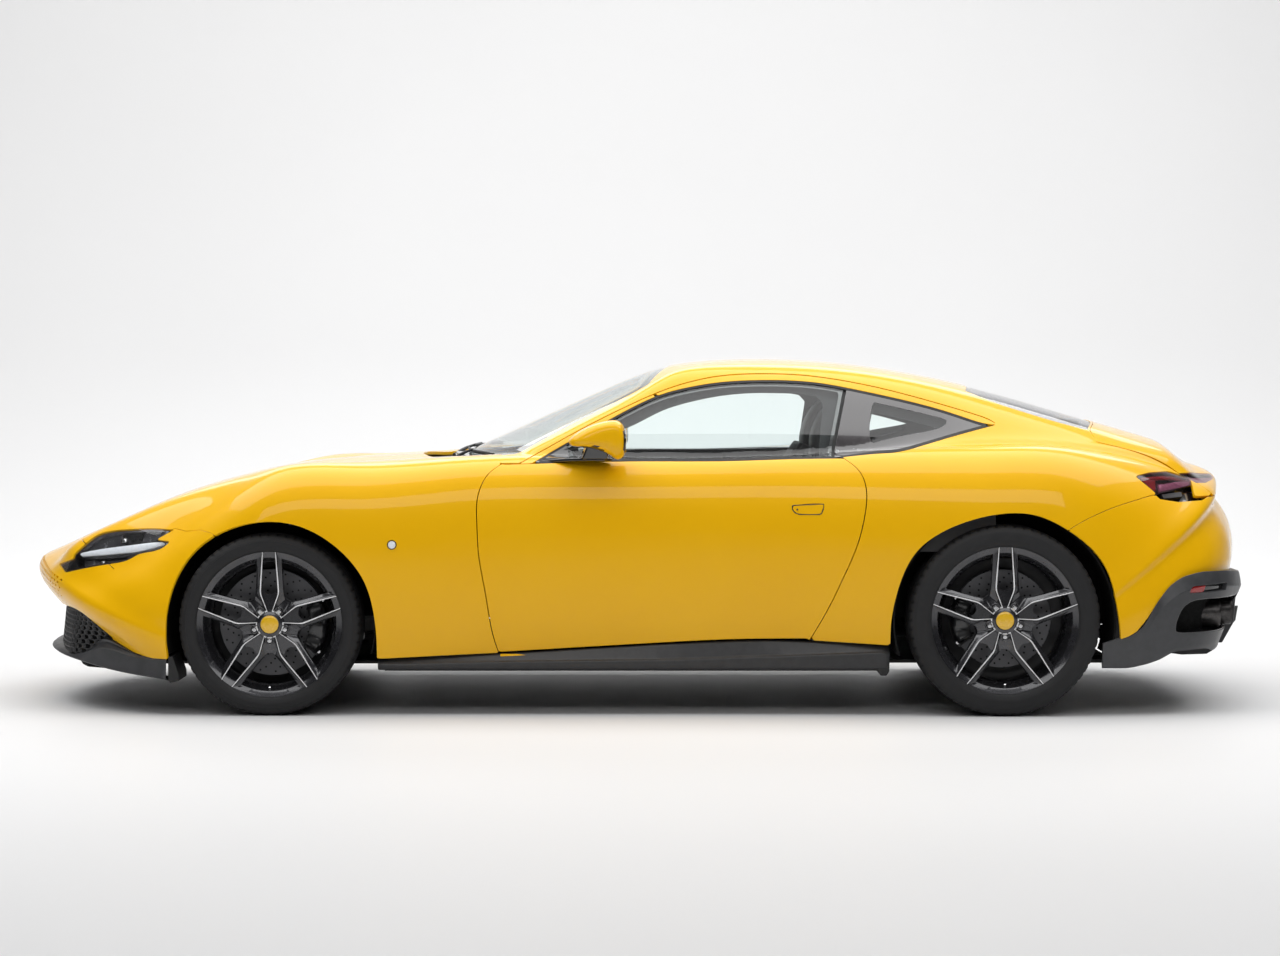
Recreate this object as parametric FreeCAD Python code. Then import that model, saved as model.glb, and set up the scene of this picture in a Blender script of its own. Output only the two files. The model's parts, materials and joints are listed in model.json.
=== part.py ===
import FreeCAD, Part
import math
import os
import time

# A two-door 2+ coupe: nose toward -X, left side at -Y, +Z up, ground at z = 0, x = 0 at mid-length.
# The outer surface is one function of a station s along the car and a row value v over the section.
# In the two ends the sections are half planes that turn about a cross axis by each pair of wheels.

# ---- driving dimensions, metres -------------------------------------------------
XF, XR, ZP = -1.337, 1.333, 0.13          # front axle, rear axle, height of the fan pivots
ROWV = [0.0, .17, .35, .49, .60, .694, .784, .876, 1.046, 1.306, 1.606]


class Spl:
    """Natural cubic spline through (x, y)."""

    def __init__(self, xs, ys, slope0=None, slope1=None):
        n = len(xs)
        self.x, self.y = list(xs), list(ys)
        a, b, c, d = [0.0] * n, [1.0] * n, [0.0] * n, [0.0] * n
        for i in range(1, n - 1):
            h0, h1 = xs[i] - xs[i - 1], xs[i + 1] - xs[i]
            a[i], b[i], c[i] = h0, 2 * (h0 + h1), h1
            d[i] = 6 * ((ys[i + 1] - ys[i]) / h1 - (ys[i] - ys[i - 1]) / h0)
        if slope0 is not None:
            h = xs[1] - xs[0]
            b[0], c[0], d[0] = 2 * h, h, 6 * ((ys[1] - ys[0]) / h - slope0)
        if slope1 is not None:
            h = xs[-1] - xs[-2]
            a[-1], b[-1], d[-1] = h, 2 * h, 6 * (slope1 - (ys[-1] - ys[-2]) / h)
        for i in range(1, n):
            w = a[i] / b[i - 1]
            b[i] -= w * c[i - 1]
            d[i] -= w * d[i - 1]
        m = [0.0] * n
        m[-1] = d[-1] / b[-1]
        for i in range(n - 2, -1, -1):
            m[i] = (d[i] - c[i] * m[i + 1]) / b[i]
        self.m = m

    def __call__(self, t):
        x, y, m = self.x, self.y, self.m
        n = len(x)
        if t <= x[0]:
            h = x[1] - x[0]
            s = (y[1] - y[0]) / h - h * (2 * m[0] + m[1]) / 6
            return y[0] + s * (t - x[0])
        if t >= x[-1]:
            h = x[-1] - x[-2]
            s = (y[-1] - y[-2]) / h + h * (m[-2] + 2 * m[-1]) / 6
            return y[-1] + s * (t - x[-1])
        lo, hi = 0, n - 1
        while hi - lo > 1:
            k = (lo + hi) // 2
            if x[k] <= t:
                lo = k
            else:
                hi = k
        h = x[hi] - x[lo]
        A, B = (x[hi] - t) / h, (t - x[lo]) / h
        return A * y[lo] + B * y[hi] + ((A ** 3 - A) * m[lo] + (B ** 3 - B) * m[hi]) * h * h / 6


def pchip(xs, ys, t):
    """Monotone cubic through the points."""
    n = len(xs)
    h = [xs[i + 1] - xs[i] for i in range(n - 1)]
    d = [(ys[i + 1] - ys[i]) / h[i] for i in range(n - 1)]
    m = [0.0] * n
    m[0], m[-1] = d[0], d[-1]
    for i in range(1, n - 1):
        if d[i - 1] * d[i] > 0:
            w1, w2 = 2 * h[i] + h[i - 1], h[i] + 2 * h[i - 1]
            m[i] = (w1 + w2) / (w1 / d[i - 1] + w2 / d[i])
    i = min(n - 2, max(0, sum(1 for x in xs if x <= t) - 1))
    u = (t - xs[i]) / h[i]
    u = min(1.0, max(0.0, u))
    return ((1 + 2 * u) * (1 - u) ** 2 * ys[i] + u * (1 - u) ** 2 * h[i] * m[i]
            + u * u * (3 - 2 * u) * ys[i + 1] + u * u * (u - 1) * h[i] * m[i + 1])


def sstep(a, b, x):
    t = min(1.0, max(0.0, (x - a) / (b - a)))
    return t * t * t * (t * (6 * t - 15) + 10)


# ---- lower body: sections as (half width, height) or, in the two fans, (half width, radius / R) ----
# middle sections at constant x: rows from the rocker up over the shoulder to the centreline
MID = {
    -1.337: [(.925, .15), (.950, .32), (.9635, .50), (.965, .64), (.947, .755), (.900, .838), (.828, .884), (.735, .897), (.56, .882), (.30, .888), (0, .896)],
    -1.020: [(.915, .15), (.943, .32), (.956, .50), (.957, .64), (.943, .762), (.903, .850), (.838, .901), (.745, .918), (.56, .915), (.30, .921), (0, .927)],
    -0.620: [(.885, .15), (.928, .32), (.944, .50), (.945, .64), (.936, .765), (.906, .858), (.856, .912), (.775, .937), (.56, .937), (.30, .943), (0, .948)],
    -0.200: [(.865, .15), (.916, .32), (.936, .50), (.938, .64), (.930, .765), (.902, .860), (.856, .916), (.780, .946), (.56, .952), (.30, .955), (0, .955)],
    0.230: [(.860, .15), (.913, .32), (.934, .50), (.937, .64), (.930, .765), (.903, .860), (.857, .918), (.780, .948), (.56, .955), (.30, .955), (0, .955)],
    0.640: [(.872, .15), (.925, .32), (.947, .50), (.951, .64), (.943, .768), (.914, .866), (.864, .928), (.785, .956), (.56, .958), (.30, .958), (0, .958)],
    1.000: [(.905, .15), (.953, .32), (.972, .50), (.976, .64), (.965, .772), (.930, .874), (.872, .941), (.792, .971), (.57, .962), (.30, .962), (0, .962)],
    1.333: [(.935, .15), (.968, .32), (.984, .50), (.987, .64), (.973, .775), (.935, .878), (.874, .946), (.790, .977), (.58, .965), (.30, .965), (0, .965)],
}
# nose and tail sections: half width against share of R, at angles about the pivot
NOSE = [(.925, .047), (.953, .19), (.956, .313), (.938, .427), (.893, .54), (.826, .645), (.735, .74), (.612, .83), (.450, .91), (.245, .972), (0, 1)]
LIP = [(.925, .045), (.953, .20), (.958, .36), (.945, .50), (.905, .61), (.848, .70), (.765, .785), (.655, .930), (.480, .976), (.25, .994), (0, 1)]
BROW = [(.925, .040), (.953, .215), (.960, .385), (.950, .535), (.915, .648), (.868, .725), (.805, .795), (.700, .930), (.540, .980), (.28, .996), (0, 1)]
TAIL = [(.935, .05), (.975, .17), (.985, .30), (.972, .43), (.937, .56), (.883, .68), (.800, .785), (.680, .870), (.500, .935), (.265, .982), (0, 1)]
# centreline profile, side view
CF = [(-2.10, .13), (-2.115, .20), (-2.150, .28), (-2.205, .345), (-2.262, .400), (-2.305, .455), (-2.326, .500), (-2.320, .532), (-2.285, .556),
      (-2.22, .584), (-2.10, .636), (-1.98, .688), (-1.86, .741), (-1.74, .790), (-1.62, .829), (-1.48, .866), (-1.337, .896)]
CR = [(1.333, .965), (1.55, .967), (1.72, .966), (1.86, .960), (1.98, .944), (2.08, .920), (2.16, .893), (2.215, .871), (2.233, .852), (2.222, .828), (2.226, .795),
      (2.250, .752), (2.280, .700), (2.296, .640), (2.298, .570), (2.285, .50), (2.26, .43), (2.22, .33), (2.17, .22), (2.13, .13)]


def _polar(pts, x0, sgn):
    """(angle from the horizontal, radius) of a profile about a pivot, by rising angle."""
    out = []
    for x, z in pts:
        dx, dz = sgn * (x - x0), z - ZP
        out.append((math.degrees(math.atan2(dz, dx)), math.hypot(dx, dz)))
    return sorted(out)


PF, PR = _polar(CF, XF, -1), _polar(CR, XR, 1)
FRONT_A = [0, 8, 14, 18, 20.5, 22.5, 24.3, 26.5, 30, 36, 44, 54, 65, 77, 90]
REAR_A = [90, 78, 67, 57, 49, 43.5, 40.5, 38.7, 37, 34.5, 31, 26, 20, 13, 6, 0]


def _arclen_spline(pts):
    """x(t), z(t) splines by chord length, plus the sampled polar angle, so that a profile may turn tightly."""
    t = [0.0]
    for (a, b), (c, d) in zip(pts, pts[1:]):
        t.append(t[-1] + math.hypot(c - a, d - b) ** 0.5)
    return t, Spl(t, [p[0] for p in pts]), Spl(t, [p[1] for p in pts])


def _cross(pts, x0, sgn, ang):
    """The point where the profile crosses the half plane at ang about the pivot."""
    t, fx, fz = _arclen_spline(pts)
    n, best = 600, None
    prev = None
    for i in range(n + 1):
        u = t[-1] * i / n
        x, z = fx(u), fz(u)
        a = math.degrees(math.atan2(z - ZP, sgn * (x - x0)))
        if prev is not None and (prev[0] - ang) * (a - ang) <= 0 and prev[0] != a:
            w = (ang - prev[0]) / (a - prev[0])
            return prev[1] + w * (x - prev[1]), prev[2] + w * (z - prev[2])
        if best is None or abs(a - ang) < best[0]:
            best = (abs(a - ang), x, z)
        prev = (a, x, z)
    return best[1], best[2]


def build_net():
    cols = []
    for a in FRONT_A[:-1]:
        cx, cz = _cross(CF, XF, -1, a)
        R = math.hypot(cx - XF, cz - ZP)
        A = MID[-1.337]
        ra = A[-1][1] - ZP
        full = [(y, (z - ZP) / ra) for y, z in A]
        keys = [(-10, NOSE), (0, NOSE), (20.5, NOSE), (34, LIP), (46, BROW), (90, full)]
        row = []
        for j in range(11):
            y = pchip([k[0] for k in keys], [k[1][j][0] for k in keys], a)
            r = pchip([k[0] for k in keys], [k[1][j][1] for k in keys], a)
            row.append((XF - R * r * math.cos(math.radians(a)), y, ZP + R * r * math.sin(math.radians(a))))
        cols.append(row)
    for x in sorted(MID):
        cols.append([(x, y, z) for y, z in MID[x]])
    for a in REAR_A[1:]:
        cx, cz = _cross(CR, XR, 1, a)
        R = math.hypot(cx - XR, cz - ZP)
        w = 1 - sstep(30, 88, a)
        A = MID[1.333]
        ra = A[-1][1] - ZP
        row = []
        for (ya, za), (yb, rb) in zip(A, TAIL):
            y = ya + (yb - ya) * w
            r = ((za - ZP) / ra) * (1 - w) + rb * w
            row.append((XR + R * r * math.cos(math.radians(a)), y, ZP + R * r * math.sin(math.radians(a))))
        cols.append(row)
    return cols


NET = build_net()
COLS = [0.0]
for _a, _b in zip(NET, NET[1:]):
    COLS.append(COLS[-1] + sum(math.dist(p, q) for p, q in zip(_a[4:], _b[4:])) / 7)
SMAX, VMAX = COLS[-1], ROWV[-1]
# one spline per row and coordinate, along s
_ROWS = [[Spl(COLS, [c[j][k] for c in NET]) for k in range(3)] for j in range(11)]


def col_at(s):
    """The section curve at s, as three splines over v from the rocker to the mirrored rocker."""
    p = [[f(s) for f in _ROWS[j]] for j in range(11)]
    v = ROWV + [2 * VMAX - t for t in ROWV[-2::-1]]
    q = p + [[a[0], -a[1], a[2]] for a in p[-2::-1]]
    return [Spl(v, [a[k] for a in q]) for k in range(3)]


# ---- greenhouse ------------------------------------------------------------------
_H = Spl([-1.10, -.90, -.71, -.50, -.28, -.10, .06, .17, .30, .45, .62, .82, 1.01, 1.20, 1.32, 1.45, 1.58, 1.71, 1.84, 2.00, 2.20, 2.40],
         [.735, .832, .924, 1.022, 1.122, 1.201, 1.262, 1.284, 1.2965, 1.301, 1.297, 1.281, 1.254, 1.217, 1.188, 1.152, 1.111, 1.065, 1.015, .950, .860, .760])
_B = Spl([-1.2, -.8, -.5, -.2, .1, .4, .7, 1.0, 1.3, 1.6, 1.9, 2.2, 2.5],
         [.66, .725, .768, .797, .812, .816, .805, .775, .722, .650, .565, .47, .37])
_C = Spl([-1.2, -.2, .05, .30, .60, .90, 1.2, 1.6, 2.0, 2.5],
         [.0, .0, .02, .07, .09, .10, .13, .17, .17, .15])
TH_A, TH_B, ZBELT = .50, .38, .925


def z_top(x, y):
    k = .44 * (1 - sstep(-.15, .45, x))
    return _H(x - k * y * y) - _C(x) * y * y


def z_side(x, y):
    d = _B(x) - abs(y)
    if d <= 0:
        return ZBELT + d / TH_A - 80 * d * d
    return ZBELT + (-TH_A + math.sqrt(TH_A * TH_A + 4 * TH_B * d)) / (2 * TH_B)


def smin(a, b, k):
    h = max(k - abs(a - b), 0.0) / k
    return min(a, b) - h * h * h * k / 6


def smax(a, b, k):
    h = max(k - abs(a - b), 0.0) / k
    return max(a, b) + h * h * h * k / 6


def z_green(x, y):
    k = .07 + .10 * sstep(-.1, .5, x) + .08 * sstep(.9, 1.5, x)
    return smin(z_top(x, y), z_side(x, y), k)


def lift_k(x):
    return .02 + .26 * sstep(.75, 1.35, x)


def point(colspl, v):
    """A point of the whole outer surface: the lower body raised to the greenhouse."""
    x, y, z = (f(v) for f in colspl)
    vv = min(v, 2 * VMAX - v)
    w = sstep(.72, .86, vv)
    if w <= 0 or x < -1.3 or (x > 1.6 and z < .60):
        return x, y, z
    zg = z_green(x, y)
    if x > 1.98:
        zg -= 9 * (x - 1.98) ** 2
    return x, y, z + w * (smax(z, zg, lift_k(x)) - z)



# =====================================================================================
# geometry helpers
# =====================================================================================
V3 = FreeCAD.Vector
MM = 1000.0
NODES = {}


def vec(p, side=1):
    return V3(p[0] * MM, p[1] * MM * side, p[2] * MM)


def grid(fn, us, vs):
    return [[fn(u, v) for v in vs] for u in us]


def lin(a, b, n):
    return [a + (b - a) * i / (n - 1) for i in range(n)]


def icurve(pts):
    n = len(pts)
    c = Part.BSplineCurve()
    c.interpolate(Points=pts, Parameters=[i / (n - 1.0) for i in range(n)])
    return c


def bsurf(g):
    """Cubic surface through a grid of points, evenly parametrised both ways."""
    rows = [icurve(r) for r in g]
    pr = [c.getPoles() for c in rows]
    cols = [icurve([p[j] for p in pr]) for j in range(len(pr[0]))]
    pc = [c.getPoles() for c in cols]
    poles = [[p[i] for p in pc] for i in range(len(pc[0]))]
    s = Part.BSplineSurface()
    s.buildFromPolesMultsKnots(poles, cols[0].getMultiplicities(), rows[0].getMultiplicities(),
                               cols[0].getKnots(), rows[0].getKnots(), False, False, cols[0].Degree, rows[0].Degree)
    return s


def slab(outer, inner):
    """Closed solid between two point grids with the same layout."""
    so, si = bsurf(outer), bsurf(inner)
    fo, fi = so.toShape(), si.toShape()
    faces = [fo, fi]
    for iso_o, iso_i in ((so.uIso(0), si.uIso(0)), (so.uIso(1), si.uIso(1)),
                         (so.vIso(0), si.vIso(0)), (so.vIso(1), si.vIso(1))):
        faces.append(Part.makeRuledSurface(iso_o.toShape(), iso_i.toShape()))
    shell = Part.Shell(faces)
    if not shell.isClosed():
        comp = Part.makeCompound(faces)
        comp.sewShape()
        shell = comp.Shells[0]
    sol = Part.Solid(shell)
    if sol.Volume < 0:
        sol.reverse()
    return sol


_colcache = {}


def surf(s, v):
    c = _colcache.get(s)
    if c is None:
        c = _colcache[s] = col_at(s)
    return point(c, v)


def unit(a):
    n = math.sqrt(a[0] ** 2 + a[1] ** 2 + a[2] ** 2)
    return (a[0] / n, a[1] / n, a[2] / n)


def normal(s, v, e=.003):
    """Outward unit normal of the outer surface."""
    s0, s1 = max(0.0, s - e), min(SMAX, s + e)
    a, b = surf(s0, v), surf(s1, v)
    c, d = surf(s, v - e), surf(s, v + e)
    p = [b[i] - a[i] for i in range(3)]
    q = [d[i] - c[i] for i in range(3)]
    n = (p[1] * q[2] - p[2] * q[1], p[2] * q[0] - p[0] * q[2], p[0] * q[1] - p[1] * q[0])
    return unit((-n[0], -n[1], -n[2]))


def skin(s0, s1, ns, v0, v1, nv, t, off=0.0, side=1):
    """A sheet of the outer surface, t thick, its outer face off below the surface."""
    o, i = [], []
    for s in lin(s0, s1, ns):
        ro, ri = [], []
        for v in lin(v0(s) if callable(v0) else v0, v1, nv):
            p, n = surf(s, v), normal(s, v)
            ro.append(vec([p[k] - off * n[k] for k in range(3)], side))
            ri.append(vec([p[k] - (off + t) * n[k] for k in range(3)], side))
        o.append(ro)
        i.append(ri)
    return slab(o, i)


def wire(pts, plane="xz", spl=True):
    """Closed wire; a list inside the list is a smooth run, single points are corners."""
    def w(p):
        return V3(p[0] * MM, 0, p[1] * MM) if plane == "xz" else V3(p[0] * MM, p[1] * MM, 0)
    edges, last, first = [], None, None
    for item in pts:
        run = [w(q) for q in item] if isinstance(item, list) else [w(item)]
        if last is not None and (run[0] - last).Length > 1e-3:
            edges.append(Part.LineSegment(last, run[0]).toShape())
        if first is None:
            first = run[0]
        if len(run) > 2:
            c = Part.BSplineCurve()
            c.interpolate(run)
            edges.append(c.toShape())
        elif len(run) == 2:
            edges.append(Part.LineSegment(run[0], run[1]).toShape())
        last = run[-1]
    if (first - last).Length > 1e-3:
        edges.append(Part.LineSegment(last, first).toShape())
    return Part.Wire(edges)


def prism_y(pts, y0, y1):
    """Side-view outline swept across, y in metres."""
    f = Part.Face(wire(pts, "xz"))
    f.translate(V3(0, y0 * MM, 0))
    return f.extrude(V3(0, (y1 - y0) * MM, 0))


def prism_z(pts, z0, z1):
    f = Part.Face(wire(pts, "xy"))
    f.translate(V3(0, 0, z0 * MM))
    return f.extrude(V3(0, 0, (z1 - z0) * MM))


def box(x0, x1, y0, y1, z0, z1):
    x0, x1 = sorted((x0, x1))
    y0, y1 = sorted((y0, y1))
    z0, z1 = sorted((z0, z1))
    return Part.makeBox((x1 - x0) * MM, (y1 - y0) * MM, (z1 - z0) * MM, V3(x0 * MM, y0 * MM, z0 * MM))


def cyl_y(x, z, r, y0, y1):
    y0, y1 = sorted((y0, y1))
    return Part.makeCylinder(r * MM, (y1 - y0) * MM, V3(x * MM, y0 * MM, z * MM), V3(0, 1, 0))


def rod(a, b, r):
    A, B = V3(*[k * MM for k in a]), V3(*[k * MM for k in b])
    return Part.makeCylinder(r * MM, (B - A).Length, A, B - A)


def mirror(s):
    return s.mirror(V3(0, 0, 0), V3(0, 1, 0))


def inside(sol, tool):
    """The part of a sheet inside a prism; the prism is nudged if its edges run along the sheet's."""
    total = sol.Volume
    for k in range(7):
        t = tool.copy()
        if k:
            t.translate(V3(.037 * k * (-1) ** k, .0, .029 * k))
        a, b = sol.common(t), sol.cut(t)
        if a.Volume > 10 and abs(a.Volume + b.Volume - total) < .016 * total:
            return a
    print("   trim not closed", a.Volume, b.Volume, total, tool.isValid())
    return a


def outside(sol, tool):
    total = sol.Volume
    for k in range(7):
        t = tool.copy()
        if k:
            t.translate(V3(.037 * k * (-1) ** k, .0, .029 * k))
        a, b = sol.common(t), sol.cut(t)
        if b.Volume > 10 and abs(a.Volume + b.Volume - total) < .016 * total:
            return b
    print("   cut not closed", a.Volume, b.Volume, total)
    return b


def biggest(sh, keep=1, vmin=1.0):
    sol = sorted(sh.Solids, key=lambda q: -q.Volume)
    sol = [q for q in sol[:keep] if q.Volume > vmin]
    return sol[0] if len(sol) == 1 else Part.makeCompound(sol)


def put(name, shape):
    sol = [q for q in shape.Solids if q.Volume > 50]
    sh = sol[0] if len(sol) == 1 else Part.makeCompound(sol)
    NODES[name] = sh
    bb = sh.optimalBoundingBox(False, False) if sol else sh.BoundBox
    print("%-26s %2d solids  %8.1f cm3  x %6.0f %6.0f  y %6.0f %6.0f  z %6.0f %6.0f  valid %s  %.0fs" % (
        name, len(sol), sh.Volume / 1000, bb.XMin, bb.XMax, bb.YMin, bb.YMax, bb.ZMin, bb.ZMax, sh.isValid(), time.time() - T0))


def pair(base, left):
    put(base + "_left", left)
    put(base + "_right", mirror(left))


def both(name, left):
    put(name, Part.makeCompound([left, mirror(left)]))


# =====================================================================================
# outlines in the side view (x, z), metres
# =====================================================================================
G = .0028                                      # half of a fixed shut line
ARCH_F = [(-1.709, .120), (-1.711, .212), (-1.712, .351), (-1.700, .425), (-1.690, .463), (-1.662, .528), (-1.615, .594), (-1.547, .650), (-1.444, .693),
          (-1.333, .708), (-1.217, .689), (-1.098, .621), (-1.009, .524), (-.966, .422), (-.948, .302), (-.946, .211), (-.946, .120)]
ARCH_R = [(.918, .120), (.918, .265), (.921, .354), (.954, .495), (1.025, .616), (1.153, .695), (1.266, .729), (1.355, .740), (1.445, .731), (1.537, .691),
          (1.633, .623), (1.704, .529), (1.739, .399), (1.753, .290), (1.760, .120)]
DOOR_F = [(-.494, .9135), (-.541, .8765), (-.568, .828), (-.579, .784), (-.581, .735), (-.579, .688), (-.573, .585), (-.549, .446), (-.526, .307), (-.503, .227)]
DOOR_R = [(.626, .276), (.689, .388), (.742, .499), (.796, .628), (.822, .736), (.828, .816), (.806, .886), (.746, .937)]
LOW = [(-.948, .207), (-.861, .211), (-.515, .227), (-.054, .253), (.301, .272), (.472, .276), (.626, .272), (.918, .257)]
BELT = [(-.505, .915), (-.385, .916), (-.054, .924), (.300, .925), (.535, .932), (.740, .935), (.884, .953), (.962, .960), (1.146, 1.008), (1.323, 1.055)]
DLO = [(-.385, .917), (-.259, .990), (-.109, 1.072), (.060, 1.157), (.180, 1.192), (.300, 1.212), (.421, 1.220), (.547, 1.220), (.662, 1.212), (.770, 1.194),
       (.962, 1.153), (1.152, 1.103), (1.279, 1.062), (1.323, 1.055)]
HEAD = [(-2.135, .501), (-2.171, .531), (-2.104, .555), (-2.100, .572), (-2.055, .613), (-2.009, .646), (-1.935, .664), (-1.880, .669), (-1.789, .674), (-1.700, .671),
        (-1.764, .635), (-1.711, .630), (-1.739, .605), (-1.793, .588), (-1.835, .578), (-1.875, .557), (-1.944, .541), (-2.006, .530), (-2.068, .517)]


def shift(pts, dx=0.0, dz=0.0):
    return [(x + dx, z + dz) for x, z in pts]


def seg(pts, x0, x1):
    """The part of a polyline between two x values, with its ends interpolated."""
    out = []
    for (a, b), (c, d) in zip(pts, pts[1:]):
        for xx in (x0, x1):
            if min(a, c) < xx < max(a, c):
                out.append((xx, b + (d - b) * (xx - a) / (c - a)))
        if x0 <= c <= x1:
            out.append((c, d))
    if x0 <= pts[0][0] <= x1:
        out.append(pts[0])
    return sorted(set(out))


def ray(deg, r, x0=XF, sgn=-1):
    return (x0 + sgn * r * math.cos(math.radians(deg)), ZP + r * math.sin(math.radians(deg)))


def s_at(deg_index, frac=0.0):
    return COLS[deg_index] + frac * (COLS[deg_index + 1] - COLS[deg_index])


S_HOOD = COLS[8] + .60 * (COLS[9] - COLS[8])    # about 33.6 degrees: nose shut line
A_HOOD = 33.6


def v_of_y(s, y):
    """The row value where the section at s has half width y, above the shoulder."""
    c = _colcache.get(s) or col_at(s)
    a, b = .70, VMAX
    for _ in range(40):
        m = (a + b) / 2
        if c[1](m) > y:
            a = m
        else:
            b = m
    return (a + b) / 2


def y_green(x, z):
    """Half width of the greenhouse at height z."""
    a, b = .05, 1.2
    for _ in range(44):
        m = (a + b) / 2
        if z_green(x, m) > z:
            a = m
        else:
            b = m
    return (a + b) / 2


# =====================================================================================
# body panels
# =====================================================================================
T0 = time.time()
FAR = 1.30
V_HOOD = .985                                   # row of the hood's side shut line
V_BELT = .80

# ---- front bumper: the nose between the hood and the splitter, back to the arches ----
nose = skin(.03, 1.05, 46, .40, 2 * VMAX - .40, 83, .008)
keep = prism_y([(-2.45, .20), (-1.958, .268), (-1.930, .238), (-1.905, .2215), (-1.860, .2142), (-1.80, .2105), (-1.66, .206), (-1.66, .35), (-1.56, .60), (-1.536, .648), (-1.545, .661), (-1.591, .673), (-1.652, .666),
                (-1.702, .674), (-1.90, .60), ray(A_HOOD, .70), ray(A_HOOD, 1.35), (-2.45, .60)], -FAR, FAR)
bump = inside(nose, keep)
bump = outside(bump, prism_y([ARCH_F], -FAR, FAR))
head_cut = prism_y(HEAD, -FAR, -.40)
bump = outside(outside(bump, head_cut), mirror(head_cut))
# lower intake, a wide mouth across the nose
mouth = prism_z([(-2.5, -.66), (-1.9, -.66), (-1.9, .66), (-2.5, .66)], .205, .372)
bump = outside(bump, mouth)
put("front_bumper", biggest(bump, 1))

# ---- headlights: lens and its housing in one closed unit behind the cut-out ----


def shrunk(pts, d):
    """The closed outline moved inward by d, edge by edge."""
    n = len(pts)
    area = sum(pts[i][0] * pts[(i + 1) % n][1] - pts[(i + 1) % n][0] * pts[i][1] for i in range(n))
    k = 1.0 if area > 0 else -1.0
    lines = []
    for i in range(n):
        (ax, az), (bx_, bz_) = pts[i], pts[(i + 1) % n]
        L = math.hypot(bx_ - ax, bz_ - az)
        nx, nz = -(bz_ - az) / L * k * d, (bx_ - ax) / L * k * d
        lines.append((ax + nx, az + nz, bx_ - ax, bz_ - az))
    out = []
    for i in range(n):
        ax, az, ux, uz = lines[i - 1]
        cx, cz, wx, wz = lines[i]
        det = ux * wz - uz * wx
        if abs(det) < 1e-9:
            out.append((cx, cz))
            continue
        t = ((cx - ax) * wz - (cz - az) * wx) / det
        q = (ax + ux * t, az + uz * t)
        e = math.hypot(q[0] - pts[i][0], q[1] - pts[i][1])
        if e > 3 * d:
            q = (pts[i][0] + (q[0] - pts[i][0]) * 3 * d / e, pts[i][1] + (q[1] - pts[i][1]) * 3 * d / e)
        out.append(q)
    return out


hl = skin(.36, .95, 24, .62, V_HOOD - .003, 18, .030, off=.0015, side=-1)
hl = inside(hl, prism_y(shrunk(HEAD, .004), -FAR, -.415))
both("headlights", biggest(hl, 1))

# ---- front fenders ----


def low_f(s):
    """Lowest row of the fender sheet: it stays clear of the pivot of the fan."""
    return pchip([.4, 1.30, 1.45, 1.55, 1.63, 1.67, 2.3], [.43, .42, .35, .24, .11, .05, .05], s)


def low_r(s):
    return pchip([3.2, 3.53, 3.57, 3.61, 3.67, 3.79, 3.95, 4.8], [.05, .05, .09, .16, .27, .38, .43, .43], s)


fen = skin(.52, 2.18, 60, low_f, V_HOOD, 26, .006, side=-1)
keep = prism_y([ray(A_HOOD + .35, .60), ray(A_HOOD + .35, 1.1), (-1.9, 1.1), (-.50, 1.1), (-.5055, .917)] + [shift(DOOR_F, -.0055)] +
               [[(-.53, .2263), (-.70, .2187), (-.861, .211), (-.93, .2078)], (-1.66, .30), (-1.52, .60), (-1.533, .655), (-1.545, .664), (-1.591, .676),
                (-1.652, .669), (-1.700, .677), (-1.90, .60)], -FAR, -.3)
fen = outside(outside(inside(fen, keep), prism_y([ARCH_F], -FAR, -.3)), prism_y(HEAD, -FAR, -.25))
FEN = biggest(fen, 1)
both("front_fenders", FEN)

# ---- hood ----
hood = skin(S_HOOD + .006, 2.12, 48, V_HOOD + .006, 2 * VMAX - V_HOOD - .006, 49, .016)
cowl_line = [(-.835 + .30 * y * y, y) for y in lin(-.80, .80, 17)]
hood = inside(hood, prism_z([cowl_line, (-2.4, .80), (-2.4, -.80)], .3, 1.3))
put("hood", biggest(hood, 1))

# ---- cowl, the dark trough between hood and windscreen ----
cw = skin(1.75, 2.45, 20, V_HOOD - .05, 2 * VMAX - V_HOOD + .05, 37, .012, off=.022)
cowl_f = [(-.829 + .30 * y * y, y) for y in lin(-.79, .79, 17)]
cowl_b = [(-.640 + .42 * y * y, y) for y in lin(.76, -.76, 17)]
WS_CLEAR = [(-.506, .785), (-.553, .67), (-.630, .50), (-.673, .36), (-.700, .25), (-.716, .12), (-.720, 0)]
cw = inside(cw, prism_z([cowl_f, cowl_b], .7, 1.3))
cw = outside(cw, prism_z([WS_CLEAR + [(x, -y) for x, y in WS_CLEAR[:-1][::-1]], (-.2, -.80), (-.2, .80)], .6, 1.4))
put("cowl", biggest(cw, 1))

# ---- doors: full thickness with the inner trim ----
Y_DOOR = .752


def door_grid(side):
    o, i = [], []
    for s in lin(1.95, 3.60, 40):
        ro, ri = [], []
        for v in lin(.045, .80, 26):
            p = surf(s, v)
            ro.append(vec(p, side))
            zi = p[2]
            ri.append(vec((p[0], min(Y_DOOR + .035 * sstep(.55, .15, zi), p[1] - .02), zi), side))
        o.append(ro)
        i.append(ri)
    return slab(o, i)


DOOR_OUT = [shift(DOOR_F, .0), shift(LOW[2:7], 0, .004)[1:-1] and [(-.503, .231), (-.054, .257), (.301, .276), (.472, .280), (.626, .280)],
            shift(DOOR_R, .0), [(.746, .9335), (.535, .930), (.300, .923), (-.054, .922), (-.385, .914), (-.494, .9125)]]
door_prism = prism_y([DOOR_F, (-.503, .231), [(-.503, .231), (-.054, .257), (.301, .276), (.472, .280), (.620, .281)], DOOR_R,
                      [(.746, .9335), (.535, .930), (.300, .923), (-.054, .922), (-.385, .9135), (-.488, .9105)]], -FAR, -.5)
door = inside(door_grid(-1), door_prism)
pair("door", biggest(door, 1))

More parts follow.
